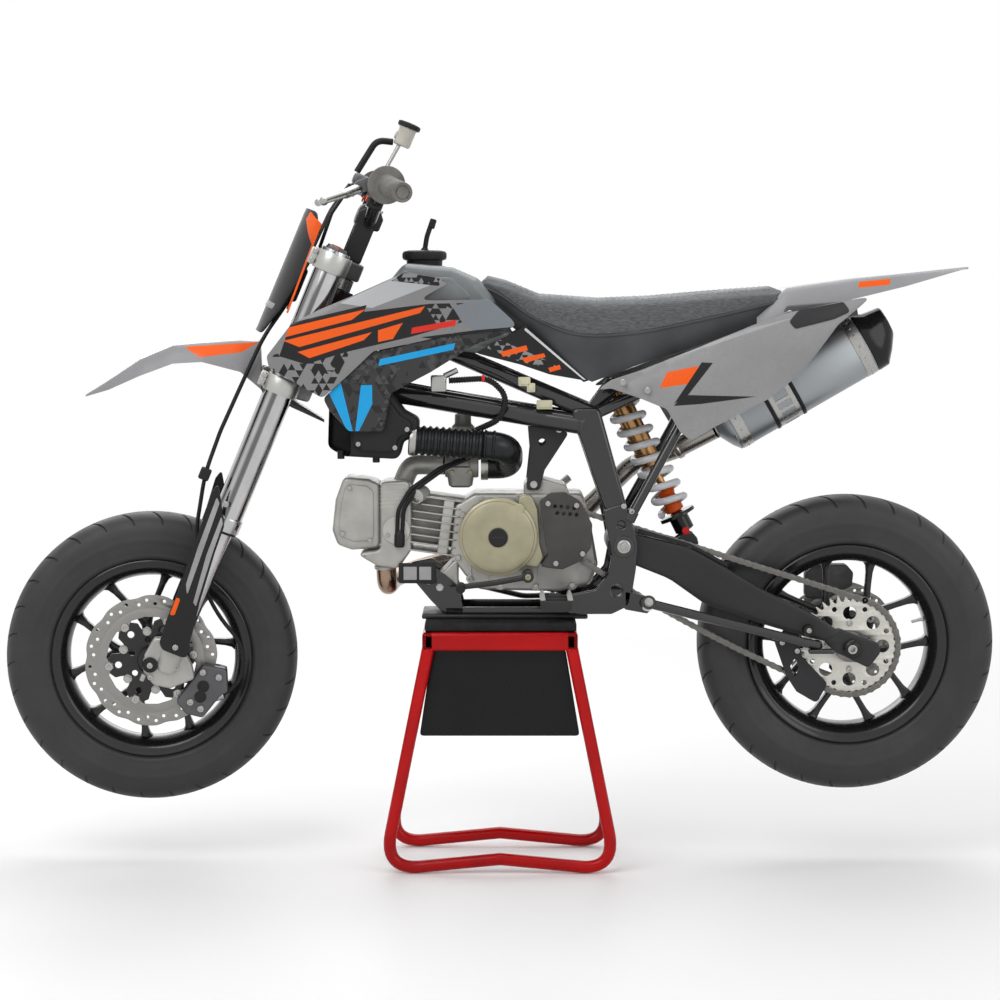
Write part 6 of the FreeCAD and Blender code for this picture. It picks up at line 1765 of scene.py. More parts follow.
def on_axis(height, y):
    """A place on the steering axis by its height, moved across by Y."""
    return STEERING @ Vector((0, 0, height)) + Vector((0, y, 0))


def spans_at(outline, x):
    """The lowest and highest Z of an outline at an X."""
    heights = []
    for (x0, z0), (x1, z1) in zip(outline, outline[1:] + outline[:1]):
        if min(x0, x1) <= x <= max(x0, x1) and abs(x1 - x0) > 1e-9:
            heights.append(z0 + (z1 - z0) * (x - x0) / (x1 - x0))
    return min(heights), max(heights)


def limb(outline, line, thick, spacing=.012, boxy=.32, ends=.6):
    """A rounded box-section limb cut to a side-view outline that follows a plan-view line."""
    low, high = min(p[0] for p in outline) + .0005, max(p[0] for p in outline) - .0005
    count = max(3, round((high - low) / spacing))
    rings = []
    for k in range(count + 1):
        x = low + (high - low) * k / count
        bottom, top = spans_at(outline, x)
        wide = thick * (ends if k in (0, count) else 1)
        tall = (top - bottom) * (ends if k in (0, count) else 1)
        rings.append(
            section(
                Vector((x, smooth_line(line, x), (bottom + top) / 2)), ACROSS, UPWARD, wide, tall, boxy, 28
            )
        )
    return loft(rings)


def weld(centre, normal, radius, size=.0028, beads=26):
    """A ring of overlapping weld beads round a joint."""
    normal = Vector(normal).normalized()
    across = normal.orthogonal().normalized()
    upright = normal.cross(across)
    rows = []
    for k in range(beads):
        turn = TURN * k / beads
        out = across * math.cos(turn) + upright * math.sin(turn)
        along = upright * math.cos(turn) - across * math.sin(turn)
        rows.append((Vector(centre) + out * radius, out, along))
    bead = lathe([(0, -.6), (.42, -.45), (.6, 0), (.42, .45), (0, .6)], 10)
    return rows, bead, size


class BIKE_OT_frame(bpy.types.Operator):
    """Build the frame, subframe, swingarm, rear axle, shock absorber, side stand and foot controls"""

    bl_idname = "bike.frame"
    bl_label = "Frame and rear end"

    def execute(self, context):
        self.frame()
        self.subframe()
        self.swingarm()
        self.axles()
        self.shock(context.scene.bike_machine)
        self.rear_caliper()
        self.side_stand()
        self.foot_pegs()
        self.foot_controls()
        return {"FINISHED"}

    def frame(self):
        piece = Piece("frame_tubes", finish="frame_black")
        for s in SIDES:
            spar = [on_axis(.555, s * .012), at(-174, s * 45, 794), at(75, s * 68, 752), at(140, s * 78, 742)]
            upper = [on_axis(.656, s * .012), at(-83, s * 45, 861), at(160, s * 75, 757)]
            piece.add(tube(spar, .017, .15, 36, 8))
            piece.add(tube(upper, .013, .15, 28, 8))
            upright = sketch([(0, 1), (.52, 1), (1, .06), (.62, 0)], (115, 598), (94, 172))
            piece.add(plate(upright, *both(s, .07, .092), ease=.007, corner=.01, rounds=5))
            pivot = sketch([
                (.62, .94), (.86, 1), (.97, .76), (1, .62), (.98, .4), (.92, .08), (.72, 0), (.27, 0),
                (0, .13), (.54, .22), (.68, .35), (.72, .53), (.67, .76),
            ], (74, 430), (153, 184))
            holes = [
                circle(PIVOT[::2], .0082, 32), circle((.192, .47), .01, 28),
                circle((.2, .578), .0065, 24),
            ]
            piece.add(plate(pivot, *both(s, .083, .095), holes, .003, .01, 3))
            rim = lathe([
                (.0082, s * .0946), (.0185, s * .0946), (.0175, s * .0966), (.0082, s * .0966)
            ], 40, ring=True)
            piece.add(rim, "frame_black", Matrix.Translation(PIVOT))
            hanger = sketch([
                (.02, .98), (.33, 1), (.93, .79), (1, .67), (.45, .24), (.33, 0), (0, 0), (.1, .49)
            ], (43, 633), (69, 136))
            piece.add(
                plate(hanger, *both(s, .05, .056), [circle((.07, .712), .006, 24)], .0012, .006), "arm_black"
            )
            cradle = sketch([
                (0, .9), (.42, .3), (.67, 0), (1, 0), (.87, .6), (.67, .8), (.42, 1)
            ], (-158, 425), (100, 84))
            piece.add(
                plate(cradle, *both(s, .055, .061), [circle((-.118, .482), .0065, 24)], .0014, .008),
            )
            near, far = both(s, .055, .061)
            piece.add(block((-.091, near, .426), (.15, far, .438), .0015))
            ear = flat((132, 752), (148, 744), (202, 801), (192, 819), (178, 815))
            piece.add(plate(ear, *both(s, .016, .022), ease=.0012, corner=.005))
            heads = [
                ((-.1, s * .061, .471), ACROSS * s), ((.056, s * .056, .642), ACROSS * s),
                ((.052, s * .056, .756), ACROSS * s), ((.098, s * .056, .734), ACROSS * s),
                ((.188, s * .022, .805), ACROSS * s),
            ]
            piece.bolt(heads, .0052, kind=flange_bolt)
            for x, z in ((.2165, .6005), (.2035, .609)):
                piece.bolt([((x, s * .0952, z), ACROSS * s)], .0046)
            for centre, normal, radius in (
                (at(132, s * 76.8, 743.5), (1, s * .15, -.15), .0172),
                (at(147, s * 74, 759), (1, s * .1, -.7), .0135),
            ):
                rows, bead, size = weld(centre, normal, radius)
                piece.scatter(bead, rows, "frame_black", size)
        piece.add(lathe([
            (.0205, -.69), (.0255, -.69), (.027, -.688), (.027, -.676), (.0262, -.672), (.0262, -.556),
            (.027, -.552), (.027, -.54), (.0255, -.538), (.0205, -.538),
        ], 56, ring=True), "frame_black", STEERING @ Y_TO_DOWN)
        piece.add(bar(at(140, -91, 752), at(140, 91, 752), .012))
        piece.add(bar(at(150, -94, 442), at(150, 94, 442), .012))
        piece.add(block(at(-130, -62, 418), at(146, 62, 426), .003), "arm_black")
        lug = flat((205, 438), (243, 431), (255, 445), (243, 459), (205, 470))
        piece.add(plate(lug, -.095, -.083, ease=.002, corner=.004))
        piece.add(bar(STAND_HINGE - STAND_AIM * .03, STAND_HINGE + STAND_AIM * .012, .006), "bright_metal")
        piece.done("frame")

    def subframe(self):
        piece = Piece("seat_subframe", finish="frame_black")
        for s in SIDES:
            rail = [at(158, s * 80, 760), at(300, s * 56, 826), at(430, s * 48, 892), at(590, s * 42, 930)]
            piece.add(tube(rail, .009, .15, 24, 8))
            strut_line = [at(216, s * 88, 592), at(293, s * 72, 733), at(345, s * 53, 848)]
            piece.add(tube(strut_line, .008, .15, 24, 8))
            piece.add(bar(at(212, s * 88.6, 584), at(220, s * 87.2, 600), .0098))
        piece.add(bar(at(430, -48, 892), at(430, 48, 892), .009))
        piece.add(bar(at(580, -43, 927), at(580, 43, 927), .009))
        piece.done("subframe")

    def swingarm(self):
        piece = Piece("swingarm_and_plates", finish="arm_black")
        arm = sketch([
            (0, 1), (.11, .95), (.26, .88), (.45, .68), (.61, .5), (.87, .26), (1, .1), (.94, 0), (.81, .06),
            (.61, .17), (.34, .34), (.16, .58), (0, .7),
        ], (226, 385), (333, 176))
        top_corner, low_corner = flat((200, 566), (200, 518))
        for s in SIDES:
            line = [(x, s * y) for x, y in ((.17, .069), (.3, .07), (.47, .091), (.66, .091))]
            piece.add(limb([top_corner, *arm, low_corner], line, .0215))
            dropout = sketch([
                (.27, 1), (.96, .63), (1, .4), (.8, 0), (.23, .4), (0, .7)
            ], (532, 341), (96, 66))
            slot_rim = [(.572, .382), (.592, .376), (.59, .366), (.57, .37)]
            piece.add(plate(dropout, *both(s, .08, .102), ease=.0035, corner=.008, rounds=4))
            piece.add(plate(slot_rim, *both(s, .1016, .1028), ease=.0003, corner=.003), "bright_metal")
            spool = [(.008, 0), (.009, .12), (.0078, .3), (.007, .55), (.009, .82), (.0085, 1)]
            piece.add(turned(at(507, s * 102, 406), at(507, s * 119, 406), spool, 32), "gloss_black")
            piece.bolt([((.507, s * .119, .406), ACROSS * s)], .0042)
            piece.add(bar((.606, s * .091, .381), (.621, s * .091, .377), .0045), "bright_metal")
        pivot_tube = lathe([
            (.0085, -.082), (.0245, -.082), (.026, -.08), (.026, .08), (.0245, .082), (.0085, .082)
        ], 48, ring=True)
        piece.add(pivot_tube, "arm_black", Matrix.Translation(PIVOT))
        piece.add(
            plate(flat((250, 500), (306, 480), (306, 532), (250, 550)), -.07, .07, ease=.004, corner=.008),
        )
        for s in SIDES:
            ear = flat((270, 530), (306, 526), (334, 540), (324, 558), (308, 558))
            piece.add(plate(ear, *both(s, .016, .022), ease=.001, corner=.005))
        piece.done("swingarm")
        guard = Piece("chain_guide_and_fin")
        guide = flat(
            (228, 562), (265, 553), (314, 540), (375, 505), (375, 513), (314, 546), (265, 560), (228, 571)
        )
        guard.add(plate(guide, -.0785, -.0615, ease=.001, corner=.003), "black_plastic")
        fin_box = (454, 280), (89, 104)
        fin = sketch([
            (0, 1), (.2, 1.21), (.45, 1.13), (.51, .76), (1, .32), (.8, 0), (.42, .19), (.23, .44)
        ], *fin_box)
        slots = [eased(sketch([(.3, .6), (.4, .75), (.46, .55), (.38, .4)], *fin_box), .004)]
        guard.add(plate(fin, -.0842, -.0798, slots, .0012, .008), "dark_plastic")
        guard.bolt([((.467, -.0842, .382), -ACROSS), ((.492, -.0842, .368), -ACROSS)], .0045)
        guard.done("chain_guard")

    def axles(self):
        bolt = Piece("swingarm_pivot_bolt", finish="bright_metal")
        bolt.add(bar(at(204, -95, 542), at(204, 95, 542), .0078))
        for s in SIDES:
            head = [(.0118, 0), (.012, .2), (.0095, .35), (.0095, 1)]
            bolt.add(turned(at(204, s * 95, 542), at(204, s * 101, 542), head, 28))
            bolt.bolt([((.204, s * .1006, .542), ACROSS * s)], .0065)
        bolt.done("swingarm_bolt")
        axle = Piece("rear_axle_and_sliders", REAR_WHEEL, finish="bright_metal")
        hollow = lathe([
            (.0046, -.112), (.0078, -.112), (.008, -.11), (.008, .11), (.0078, .112), (.0046, .112)
        ], 36, ring=True)
        axle.add(hollow)
        for s in SIDES:
            slider = lathe([
                (.0046, s * .1022), (.0135, s * .1022), (.015, s * .1036), (.015, s * .1085),
                (.012, s * .1125), (.009, s * .1138), (.0046, s * .1138),
            ], 40, ring=True)
            axle.add(slider, "gloss_black")
            washer = lathe([
                (.0046, s * .1136), (.0075, s * .1136), (.0075, s * .1142), (.0046, s * .1142)
            ], 32, ring=True)
            axle.add(washer)
        for low, high in ((-.08, -.0725), (.0635, .08)):
            axle.add(lathe([
                (.0082, low), (.0125, low), (.013, low + .0008), (.013, high - .0008), (.0125, high),
                (.0082, high),
            ], 36, ring=True))
        axle.done("rear_axle")

    def shock(self, sizes):
        top, low = at(188, 0, 805), at(320, 0, 544)
        along = (low - top).normalized()
        place = towards(top, low)
        body = Piece("shock_absorber_body")
        profile = [
            (.008, .012), (.008, .02), (.015, .022), (.0175, .0245), (.0185, .026), (.0185, .033),
            (.0178, .036), (.0182, .04), (.0182, .145), (.0165, .15), (.012, .151), (.007, .152),
            (.0068, .238), (.012, .24),
        ]
        barrel = lathe([(0, profile[0][1])] + profile + [(0, profile[-1][1])], 44)
        body.add(barrel, "shock_gold", place)
        seats = [(.019, .0242), (.03, .0242), (.0308, .0256), (.0308, .0305), (.029, .0318), (.019, .0318)]
        body.add(lathe(seats, 48, ring=True), "gloss_black", place)
        low_seat = [
            (0, .2405), (.03, .2405), (.0308, .242), (.0308, .2465), (.023, .248), (.0165, .249),
            (.0165, .272), (.014, .2735), (0, .2735),
        ]
        body.add(lathe(low_seat, 48), "gloss_black", place)
        bumper = [
            (.0072, .196), (.012, .197), (.0148, .203), (.0125, .209), (.015, .215), (.013, .221),
            (.0155, .228), (.0155, .236), (.0072, .239),
        ]
        body.add(lathe(bumper, 36, ring=True), "accent_orange", place)
        for centre in (top, low):
            eye = lathe([
                (.0052, -.015), (.0105, -.015), (.0118, -.0135), (.0118, .0135), (.0105, .015), (.0052, .015)
            ], 36, ring=True)
            body.add(eye, "wheel_black", Matrix.Translation(centre))
        knob = bar(low - along * .02 + at(0, -15, 0), low - along * .02 + at(0, -23, 0), .0065)
        body.add(knob, "red_knob")
        body.done("shock_body")
        spring = Piece("shock_coil_spring")
        wire = sizes.coil_wire / 2
        height = .2395 - .0325 - 2 * wire
        coil = TREES["coil"].grown(
            mesh_of([(0, 0, 0)], []), Turns=sizes.coil_turns, Radius=.0305 - wire, Height=height, Wire=wire,
            Finish=FINISHES["spring_white"],
        )
        lying = place @ Matrix.Translation((0, .0325 + wire, 0)) @ Y_TO_DOWN
        spring.add(coil, "spring_white", lying, recalculate=False)
        spring.done("shock_spring")

    def rear_caliper(self):
        piece = Piece("rear_brake_caliper", finish="clamp_grey")
        rim = flat((520, 440), (520, 484), (536, 498), (590, 498), (602, 484), (600, 462), (560, 440))
        for low, high in ((.05, .0555), (.0645, .08)):
            piece.add(plate(rim, low, high, ease=.002, corner=.008, rounds=3))
        spine = flat((524, 474), (538, 497), (590, 497), (601, 484), (600, 480))
        piece.add(plate(spine, .054, .066, ease=.001, corner=.004))
        piece.add(
            plate(flat((528, 400), (570, 400), (570, 450), (528, 450)), .0722, .0798, ease=.001, corner=.005),
        )
        piece.bolt([((.534, .08, .476), ACROSS), ((.59, .08, .478), ACROSS)], .0055)
        piece.done("rear_caliper")

    def side_stand(self):
        piece = Piece("folding_side_stand", finish="frame_black")
        hinge, aim, foot = STAND_HINGE, STAND_AIM, at(525, -118, 380)
        piece.add(bar(hinge - aim * .0098, hinge + aim * .0098, .0118))
        piece.add(bar(hinge + (foot - hinge).normalized() * .008, foot, .0078))
        piece.add(block(at(506, -131.5, 368.5), at(549, -108.5, 375.5), .003))
        piece.bolt([(hinge + aim * .0098, aim)], .0062, kind=flange_bolt)
        piece.done("side_stand")

    def foot_pegs(self):
        piece = Piece("toothed_foot_pegs", finish="peg_black")
        for s in SIDES:
            near, far = both(s, .107, .205)
            for x in (.067, .1115):
                piece.add(block((x, near, .448), (x + .0038, far, .465), .001))
            for y in (.107, .156, .2):
                near, far = both(s, y, y + .0042)
                piece.add(block((.066, near, .448), (.116, far, .464), .001))
            rows = []
            for x in (.0689, .1134):
                for k in range(9):
                    rows.append((Vector((x, s * (.112 + k * .0108), .4655)), UPWARD, ACROSS))
            tooth = bmesh.new()
            bmesh.ops.create_cone(tooth, cap_ends=True, segments=4, radius1=.0046, radius2=.0016, depth=.0078)
            bmesh.ops.translate(tooth, vec=(0, 0, .0034), verts=tooth.verts)
            piece.scatter(bmesh_done(tooth), rows, "bright_metal")
            near, far = both(s, .095, .108)
            piece.add(block((.081, near, .4465), (.101, far, .4655), .002))
            piece.add(bar((.091, s * .099, .4445), (.091, s * .099, .4675), .0045), "bright_metal")
        piece.done("footpegs")

    def foot_controls(self):
        piece = Piece("pedals_and_levers", finish="wheel_black")
        gear = [at(46, -112, 494), at(-10, -114, 484), at(-62, -118, 478)]
        piece.add(tube(gear, .0048, .06, 20))
        piece.add(bar(at(46, -72, 494), at(46, -117.5, 494), .0095))
        piece.bolt([(at(46, -117.2, 494), -ACROSS)], .0048, "cover_gold")
        rubber = [(.006, 0), (.0078, .05), (.0078, .95), (.006, 1)]
        piece.add(turned(at(-64, -113, 478), at(-64, -149.5, 478), rubber, 28), "hose_rubber")
        brake = [at(128, 136, 436), at(40, 142, 434), at(-34, 140, 452)]
        piece.add(tube(brake, .005, .06, 20))
        piece.add(bar(at(128, 95.5, 436), at(128, 141.5, 436), .0088))
        piece.add(block(at(-50, 128, 448.5), at(-26, 156, 455.5), .002), "bright_metal")
        piece.add(bar(at(30, 98.5, 540), at(30, 117.5, 540), .0118), "engine_silver")
        piece.add(
            tube([at(30, 112, 540), at(70, 140, 600), at(120, 152, 640)], .0068, .06, 20), "engine_silver"
        )
        piece.done("foot_controls")


# Engine

SPINDLE = Vector((-.003, 0, .557))
CAN_WIDE, CAN_TALL, CAN_BOXY = .0372, .0532, .8


class BIKE_OT_engine(bpy.types.Operator):
    """Build the engine with its covers, intake, exhaust and wiring"""

    bl_idname = "bike.engine"
    bl_label = "Engine"

    def execute(self, context):
        self.crankcase()
        self.cylinder(context.scene.bike_machine)
        self.head()
        self.covers()
        self.intake(context.scene.bike_machine)
        self.exhaust()
        self.wiring()
        return {"FINISHED"}

    def crankcase(self):
        piece = Piece("engine_crankcase_halves", finish="engine_silver")
        case = sketch([
            (.03, .88), (.17, 1), (.9, 1), (.96, .62), (1, .28), (.95, .07), (.74, 0), (.2, .02), (.1, .17),
            (0, .37),
        ], (-83, 463), (246, 164))
        piece.add(plate(case, -.055, .0048, ease=.007, corner=.014, rounds=4))
        piece.add(plate(case, .0052, .07, ease=.007, corner=.014, rounds=4))
        inner = [(x + (.04 - x) * .02, z + (.545 - z) * .02) for x, z in case]
        piece.add(plate(inner, .004, .006, ease=.0004, corner=.012), "hose_rubber")
        lug = flat((40, 600), (40, 640), (50, 652), (66, 652), (110, 640), (125, 600))
        piece.add(plate(lug, -.049, .049, [circle((.056, .642), .0051, 24)], .003, .006))
        piece.add(
            plate(
                flat((-70, 470), (-112, 464), (-112, 480), (-70, 520)), -.054, .054, ease=.003, corner=.005
            ),
        )
        heads = []
        for x, z in (
            (-70, 520), (-62, 592), (-30, 617), (30, 618), (88, 616), (136, 604), (144, 560), (152, 510),
            (120, 474), (60, 472), (0, 474), (-48, 484),
        ):
            heads.append((at(x, -55, z), -ACROSS))
        for place, _ in heads:
            piece.add(
                turned(place + at(0, 8, 0), place + at(0, .4, 0), [(.0085, 0), (.0078, 1)], 20),
            )
        piece.bolt(heads, .0048)
        for k in range(5):
            x = (-.05 + k * .028) * 1000
            rib = flat((x, 480), (x + 3, 480), (x + 3, 512), (x, 512))
            piece.add(plate(rib, -.0572, -.05, ease=.001))
        piece.done("engine_crankcase")

    def cylinder(self, sizes):
        lean = Matrix.Rotation(math.radians(8), 4, "Y")
        tilt = Matrix.Translation(SPINDLE) @ lean @ Matrix.Translation(-SPINDLE)
        piece = Piece("finned_cylinder")
        piece.add(block(at(-157, -39, 525), at(-50, 39, 609), .006, 4), "engine_grey", tilt)
        rows = [
            (Vector((-.11, 0, .5133 + k * .104 / sizes.fin_count)), UPWARD, ALONG)
            for k in range(sizes.fin_count)
        ]
        fin = slab(
            flat((-42, -58), (-42, 58), (42, 58), (42, -58)), -.0013, .0013, ease=.0011, corner=.01, rounds=2
        )
        piece.scatter(fin, rows, "engine_silver", place=tilt)
        for s in SIDES:
            piece.add(
                block((-.1, s * .05 - .006, .512), (-.082, s * .05 + .006, .607), .003), "engine_silver", tilt
            )
        piece.done("engine_cylinder")

    def head(self):
        piece = Piece("cylinder_head", finish="engine_silver")
        shape = sketch([
            (.45, .98), (.94, 1), (1, .89), (1, .21), (.77, 0), (.39, .03), (0, .17), (.45, .21)
        ], (-241, 502), (94, 147))
        piece.add(plate(shape, -.0575, .0575, ease=.005, corner=.01, rounds=4))
        for s in SIDES:
            ring = [(.0215, 0), (.0235, .3), (.0225, 1)]
            piece.add(turned((-.172, s * .057, .566), (-.172, s * .0605, .566), ring, 40))
            heads = [((x, s * .0603, z), ACROSS * s) for x, z in circle((-.172, .566), .0165, 3)]
            piece.bolt(heads, .0036)
        rows = [(Vector((-.176, 0, .604 + k * .0062)), UPWARD, ALONG) for k in range(7)]
        fin = slab(
            flat((-24, -58), (-24, 58), (25, 58), (25, -58)), -.0011, .0011, ease=.0009, corner=.008, rounds=2
        )
        piece.scatter(fin, rows, "engine_silver")
        piece.done("engine_head")
        cover = Piece("cylinder_head_cover", finish="engine_silver")
        cover_box = (-279, 532), (80, 122)
        shape = sketch([
            (.24, 1), (.77, .97), (1, .9), (1, .03), (.41, 0), (.11, .07), (0, .27), (.07, .69)
        ], *cover_box)
        cover.add(plate(shape, -.0495, .0495, ease=.007, corner=.012, rounds=4))
        face = sketch([
            (.3, .9), (.72, .88), (.86, .8), (.86, .14), (.45, .12), (.22, .18), (.14, .32), (.2, .66)
        ], *cover_box)
        for s in SIDES:
            cover.add(plate(face, *both(s, .048, .0525), ease=.003, corner=.01, rounds=3))
            heads = [
                ((x, s * .0525, z), ACROSS * s) for x, z in ((-.2165, .5485), (-.25, .636), (-.262, .56))
            ]
            cover.bolt(heads, .0042)
        cover.done("engine_head_cover")

    def covers(self):
        fly = Piece("flywheel_side_cover", finish="cover_gold")
        rings = [
            (0, -.0935), (.016, -.0935), (.0164, -.0945), (.03, -.095), (.045, -.0946), (.056, -.0934),
            (.059, -.0922), (.06, -.0908), (.0628, -.0902), (.0645, -.0888), (.065, -.0865), (.065, -.06),
            (0, -.06),
        ]
        fly.add(lathe(rings, 96), "cover_gold", Matrix.Translation(SPINDLE))
        wing = sketch([
            (0, .99), (.46, 1), (.71, .8), (.78, .32), (.92, .14), (.71, 0), (.07, .03)
        ], (30, 506), (46, 121))
        fly.add(plate(wing, -.085, -.056, ease=.003, corner=.01, rounds=3))
        plug = [(.015, 0), (.0155, .35), (.0155, .8), (.014, 1)]
        fly.add(turned((-.003, -.0925, .557), (-.003, -.098, .557), plug, 40), "black_plastic")
        fly.add(block((-.0135, -.0988, .5555), (.0075, -.0972, .5585), .0005), "dark_plastic")
        cap = turned((.032, -.0895, .604), (.032, -.0935, .604), [(.0085, 0), (.0085, .7), (.007, 1)], 32)
        fly.add(cap)
        fly.done("flywheel_cover")
        guard = Piece("front_sprocket_cover", finish="cover_grey")
        shape = sketch([
            (0, .89), (.2, .99), (.49, 1), (.78, .88), (1, .59), (.98, .29), (.79, .11), (.43, 0), (.02, .03),
            (.16, .18), (.1, .33),
        ], (66, 504), (86, 127))
        holes = []
        for row in range(2):
            for k in range(4):
                holes.append(
                    circle((.0905 + k * .0105 + row * .004, .6085 - row * .011 - k * .001), .003, 16)
                )
        guard.add(plate(shape, -.0938, -.09, holes, .0022, .01, 3))
        middle = Vector((.108, .568))
        for a, b in zip(shape, shape[1:] + shape[:1]):
            if a in shape[4:6]:
                continue
            ends = [Vector(p) + (middle - Vector(p)).normalized() * .003 for p in (a, b)]
            guard.add(beam(*ends, .0035, -.0915, -.056, ease=.0008))
        heads = [((x, -.0938, z), -ACROSS) for x, z in ((.079, .613), (.126, .61), (.136, .53), (.092, .514))]
        guard.bolt(heads, .0044)
        guard.done("sprocket_cover")
        clutch = Piece("clutch_side_cover")
        shape = sketch([
            (0, .55), (.08, .85), (.25, 1), (.62, .98), (.9, .8), (1, .5), (.92, .15), (.66, 0), (.22, .04),
            (.06, .25),
        ], (-70, 475), (190, 140))
        clutch.add(plate(shape, .07, .088, ease=.006, corner=.016, rounds=4), "engine_silver")
        lid = [
            (0, .08), (.052, .08), (.052, .0945), (.0495, .0975), (.04, .098), (.038, .0965), (.036, .098),
            (0, .098),
        ]
        clutch.add(lathe(lid, 72), "engine_silver", Matrix.Translation((.06, 0, .56)))
        heads = [((x, .0976, z), ACROSS) for x, z in circle((.06, .56), .046, 6)]
        clutch.bolt(heads, .004)
        clutch.done("clutch_cover")

    def intake(self, sizes):
        box = Piece("airbox_shell", finish="black_plastic")
        case_box = (-286, 686), (154, 121)
        shape = sketch([
            (.02, .82), (0, .14), (.19, .04), (.78, 0), (.83, .25), (.98, .3), (1, .55), (.84, .66),
            (.73, .86), (.57, 1),
        ], *case_box)
        case = plate(shape, -.1, -.0285, ease=.01, corner=.014, rounds=5)
        for start, end in (((-.284, -.045), (-.26, -.081)), ((-.26, -.081), (-.242, -.103))):
            facing = Vector((end[1] - start[1], start[0] - end[0], 0))
            case = trimmed(case, Vector((start[0], start[1], 0)), facing)
        box.add(case)
        raised = sketch([
            (.32, .8), (.3, .2), (.4, .12), (.74, .1), (.78, .3), (.92, .38), (.92, .5), (.8, .6), (.68, .8),
            (.55, .88),
        ], *case_box)
        box.add(plate(raised, -.11, -.098, ease=.005, corner=.01, rounds=4))
        for x, z in ((-.262, .7), (-.204, .694)):
            box.add(bar((x, -.08, z), (x, -.08, z - .014), .006), "hose_rubber")
        heads = [
            ((x, -.1098, z), -ACROSS) for x, z in ((-.236, .778), (-.232, .712), (-.172, .706), (-.152, .736))
        ]
        box.bolt(heads, .004)
        box.done("airbox")
        duct = Piece("ribbed_intake_duct", finish="bellows_black")
        route = arced([at(-150, -80, 717.6), at(14, -80, 706), at(14, -8, 672), at(-32, -8, 672)], .034, 8)
        line = bpy.data.meshes.new("line")
        line.from_pydata([at(-150, -80, 717.6), at(-24, -80, 708.7)], [(0, 1)], [])
        skin = TREES["ribbed"].grown(
            line, Radius=.0238, Rib_height=.0018, Rib_pitch=sizes.duct_rib_pitch,
            Finish=FINISHES["bellows_black"],
        )
        duct.add(skin)
        bend = [at(-26, -80, 708.8)] + [p for p in route if p.x > -.024 or p.y > -.079]
        duct.add(swept(bend, [.0236] * len(bend), 40))
        for share in (0, 1):
            start = at(-27 + share * 14, -80, 708.9 - share * .9)
            duct.add(turned(start, start + at(5, 0, -.35), [
                (.0238, 0), (.0254, .3), (.0254, .7), (.0238, 1)
            ], 44))
        for start, end in (
            (at(-148, -80, 717.4), at(-138, -80, 716.7)), (at(-20, -8, 672), at(-32, -8, 672))
        ):
            duct.add(turned(start, end, [
                (.0255, 0), (.0258, .1), (.0258, .9), (.0255, 1)
            ], 44), "bright_metal")
        duct.done("intake_duct")
        carb = Piece("carburettor_body", finish="engine_grey")
        carb.add(turned(at(-92, -8, 672), at(-36, -8, 672), [
            (.02, 0), (.0218, .06), (.0218, .25), (.019, .3), (.019, .7), (.0218, .76), (.0218, .95),
            (.0205, 1),
        ], 44))
        bowl = [
            section(Vector((-.066, -.008, z)), ALONG, ACROSS, w, d, .5, 28)
            for z, w, d in (
                (.6345, .03, .028), (.638, .04, .038), (.652, .0445, .042), (.656, .0475, .0435),
                (.668, .0475, .0435), (.671, .04, .038),
            )
        ]
        carb.add(loft(bowl))
        column = [
            (0, -.672), (.0185, -.672), (.0185, -.716), (.019, -.718), (.019, -.736), (.015, -.74),
            (.0138, -.742), (.0135, -.756), (.006, -.758), (0, -.758),
        ]
        carb.add(lathe(column, 40), "engine_grey", Matrix.Translation((-.062, -.008, 0)) @ Y_TO_DOWN)
        carb.bolt([((-.05, -.03, .66), -ACROSS), ((-.08, -.03, .66), -ACROSS)], .0034, "cover_gold")
        carb.done("carburettor")
        pipe = Piece("intake_manifold_pipe")
        pipe.add(
            tube([at(-163, 0, 641), at(-150, 0, 672), at(-93, -8, 672)], .0168, .03, 32, 8), "engine_silver"
        )
        pipe.done("intake_manifold")

    def exhaust(self):
        pipe = Piece("exhaust_header_pipe", finish="pipe_steel")
        route = [
            at(-192, 0, 506), at(-190, 4, 466), at(-178, 118, 474), at(120, 120, 560), at(226, 116, 664),
            at(300, 96, 692), at(366, 76.5, 727.6),
        ]
        pipe.add(tube(route, .0168, .06, 36, 9))
        pipe.add(turned(at(-192, 0, 503), at(-191.6, .6, 497), [
            (.019, 0), (.0198, .2), (.0198, .8), (.019, 1)
        ], 36), "engine_silver")
        pipe.add(turned(at(300, 96, 692), at(309, 93, 697), [
            (.0175, 0), (.0192, .2), (.0192, .8), (.0175, 1)
        ], 36))
        pipe.done("exhaust_pipe")
        start, end = at(388, 75, 741), at(618, 75, 874)
        along = (end - start).normalized()
        upright = Vector((-along.z, 0, along.x))

        def ring(distance, wide, tall, lift=0.0):
            centre = start + along * distance + upright * lift
            return section(centre, ACROSS, upright, wide * 2, tall * 2, CAN_BOXY, 56)

        def band(low, high, inset, raised, slope):
            """A band round the can: its foot and its face are this far outside the can's skin."""
            rows = ((low, inset), (low + slope, raised), (high - slope, raised), (high, inset))
            return loft([ring(spot, CAN_WIDE + out, CAN_TALL + out) for spot, out in rows])

        def on_can(distance, turn, out):
            """A copy's place on the can's skin, its facing and its lying direction."""
            c, s = math.cos(turn), math.sin(turn)
            a = math.copysign(abs(c) ** CAN_BOXY, c) * (CAN_WIDE + out)
            b = math.copysign(abs(s) ** CAN_BOXY, s) * (CAN_TALL + out)
            facing = (ACROSS * c / .038 + upright * s / .054).normalized()
            return start + along * distance + ACROSS * a + upright * b, facing, along

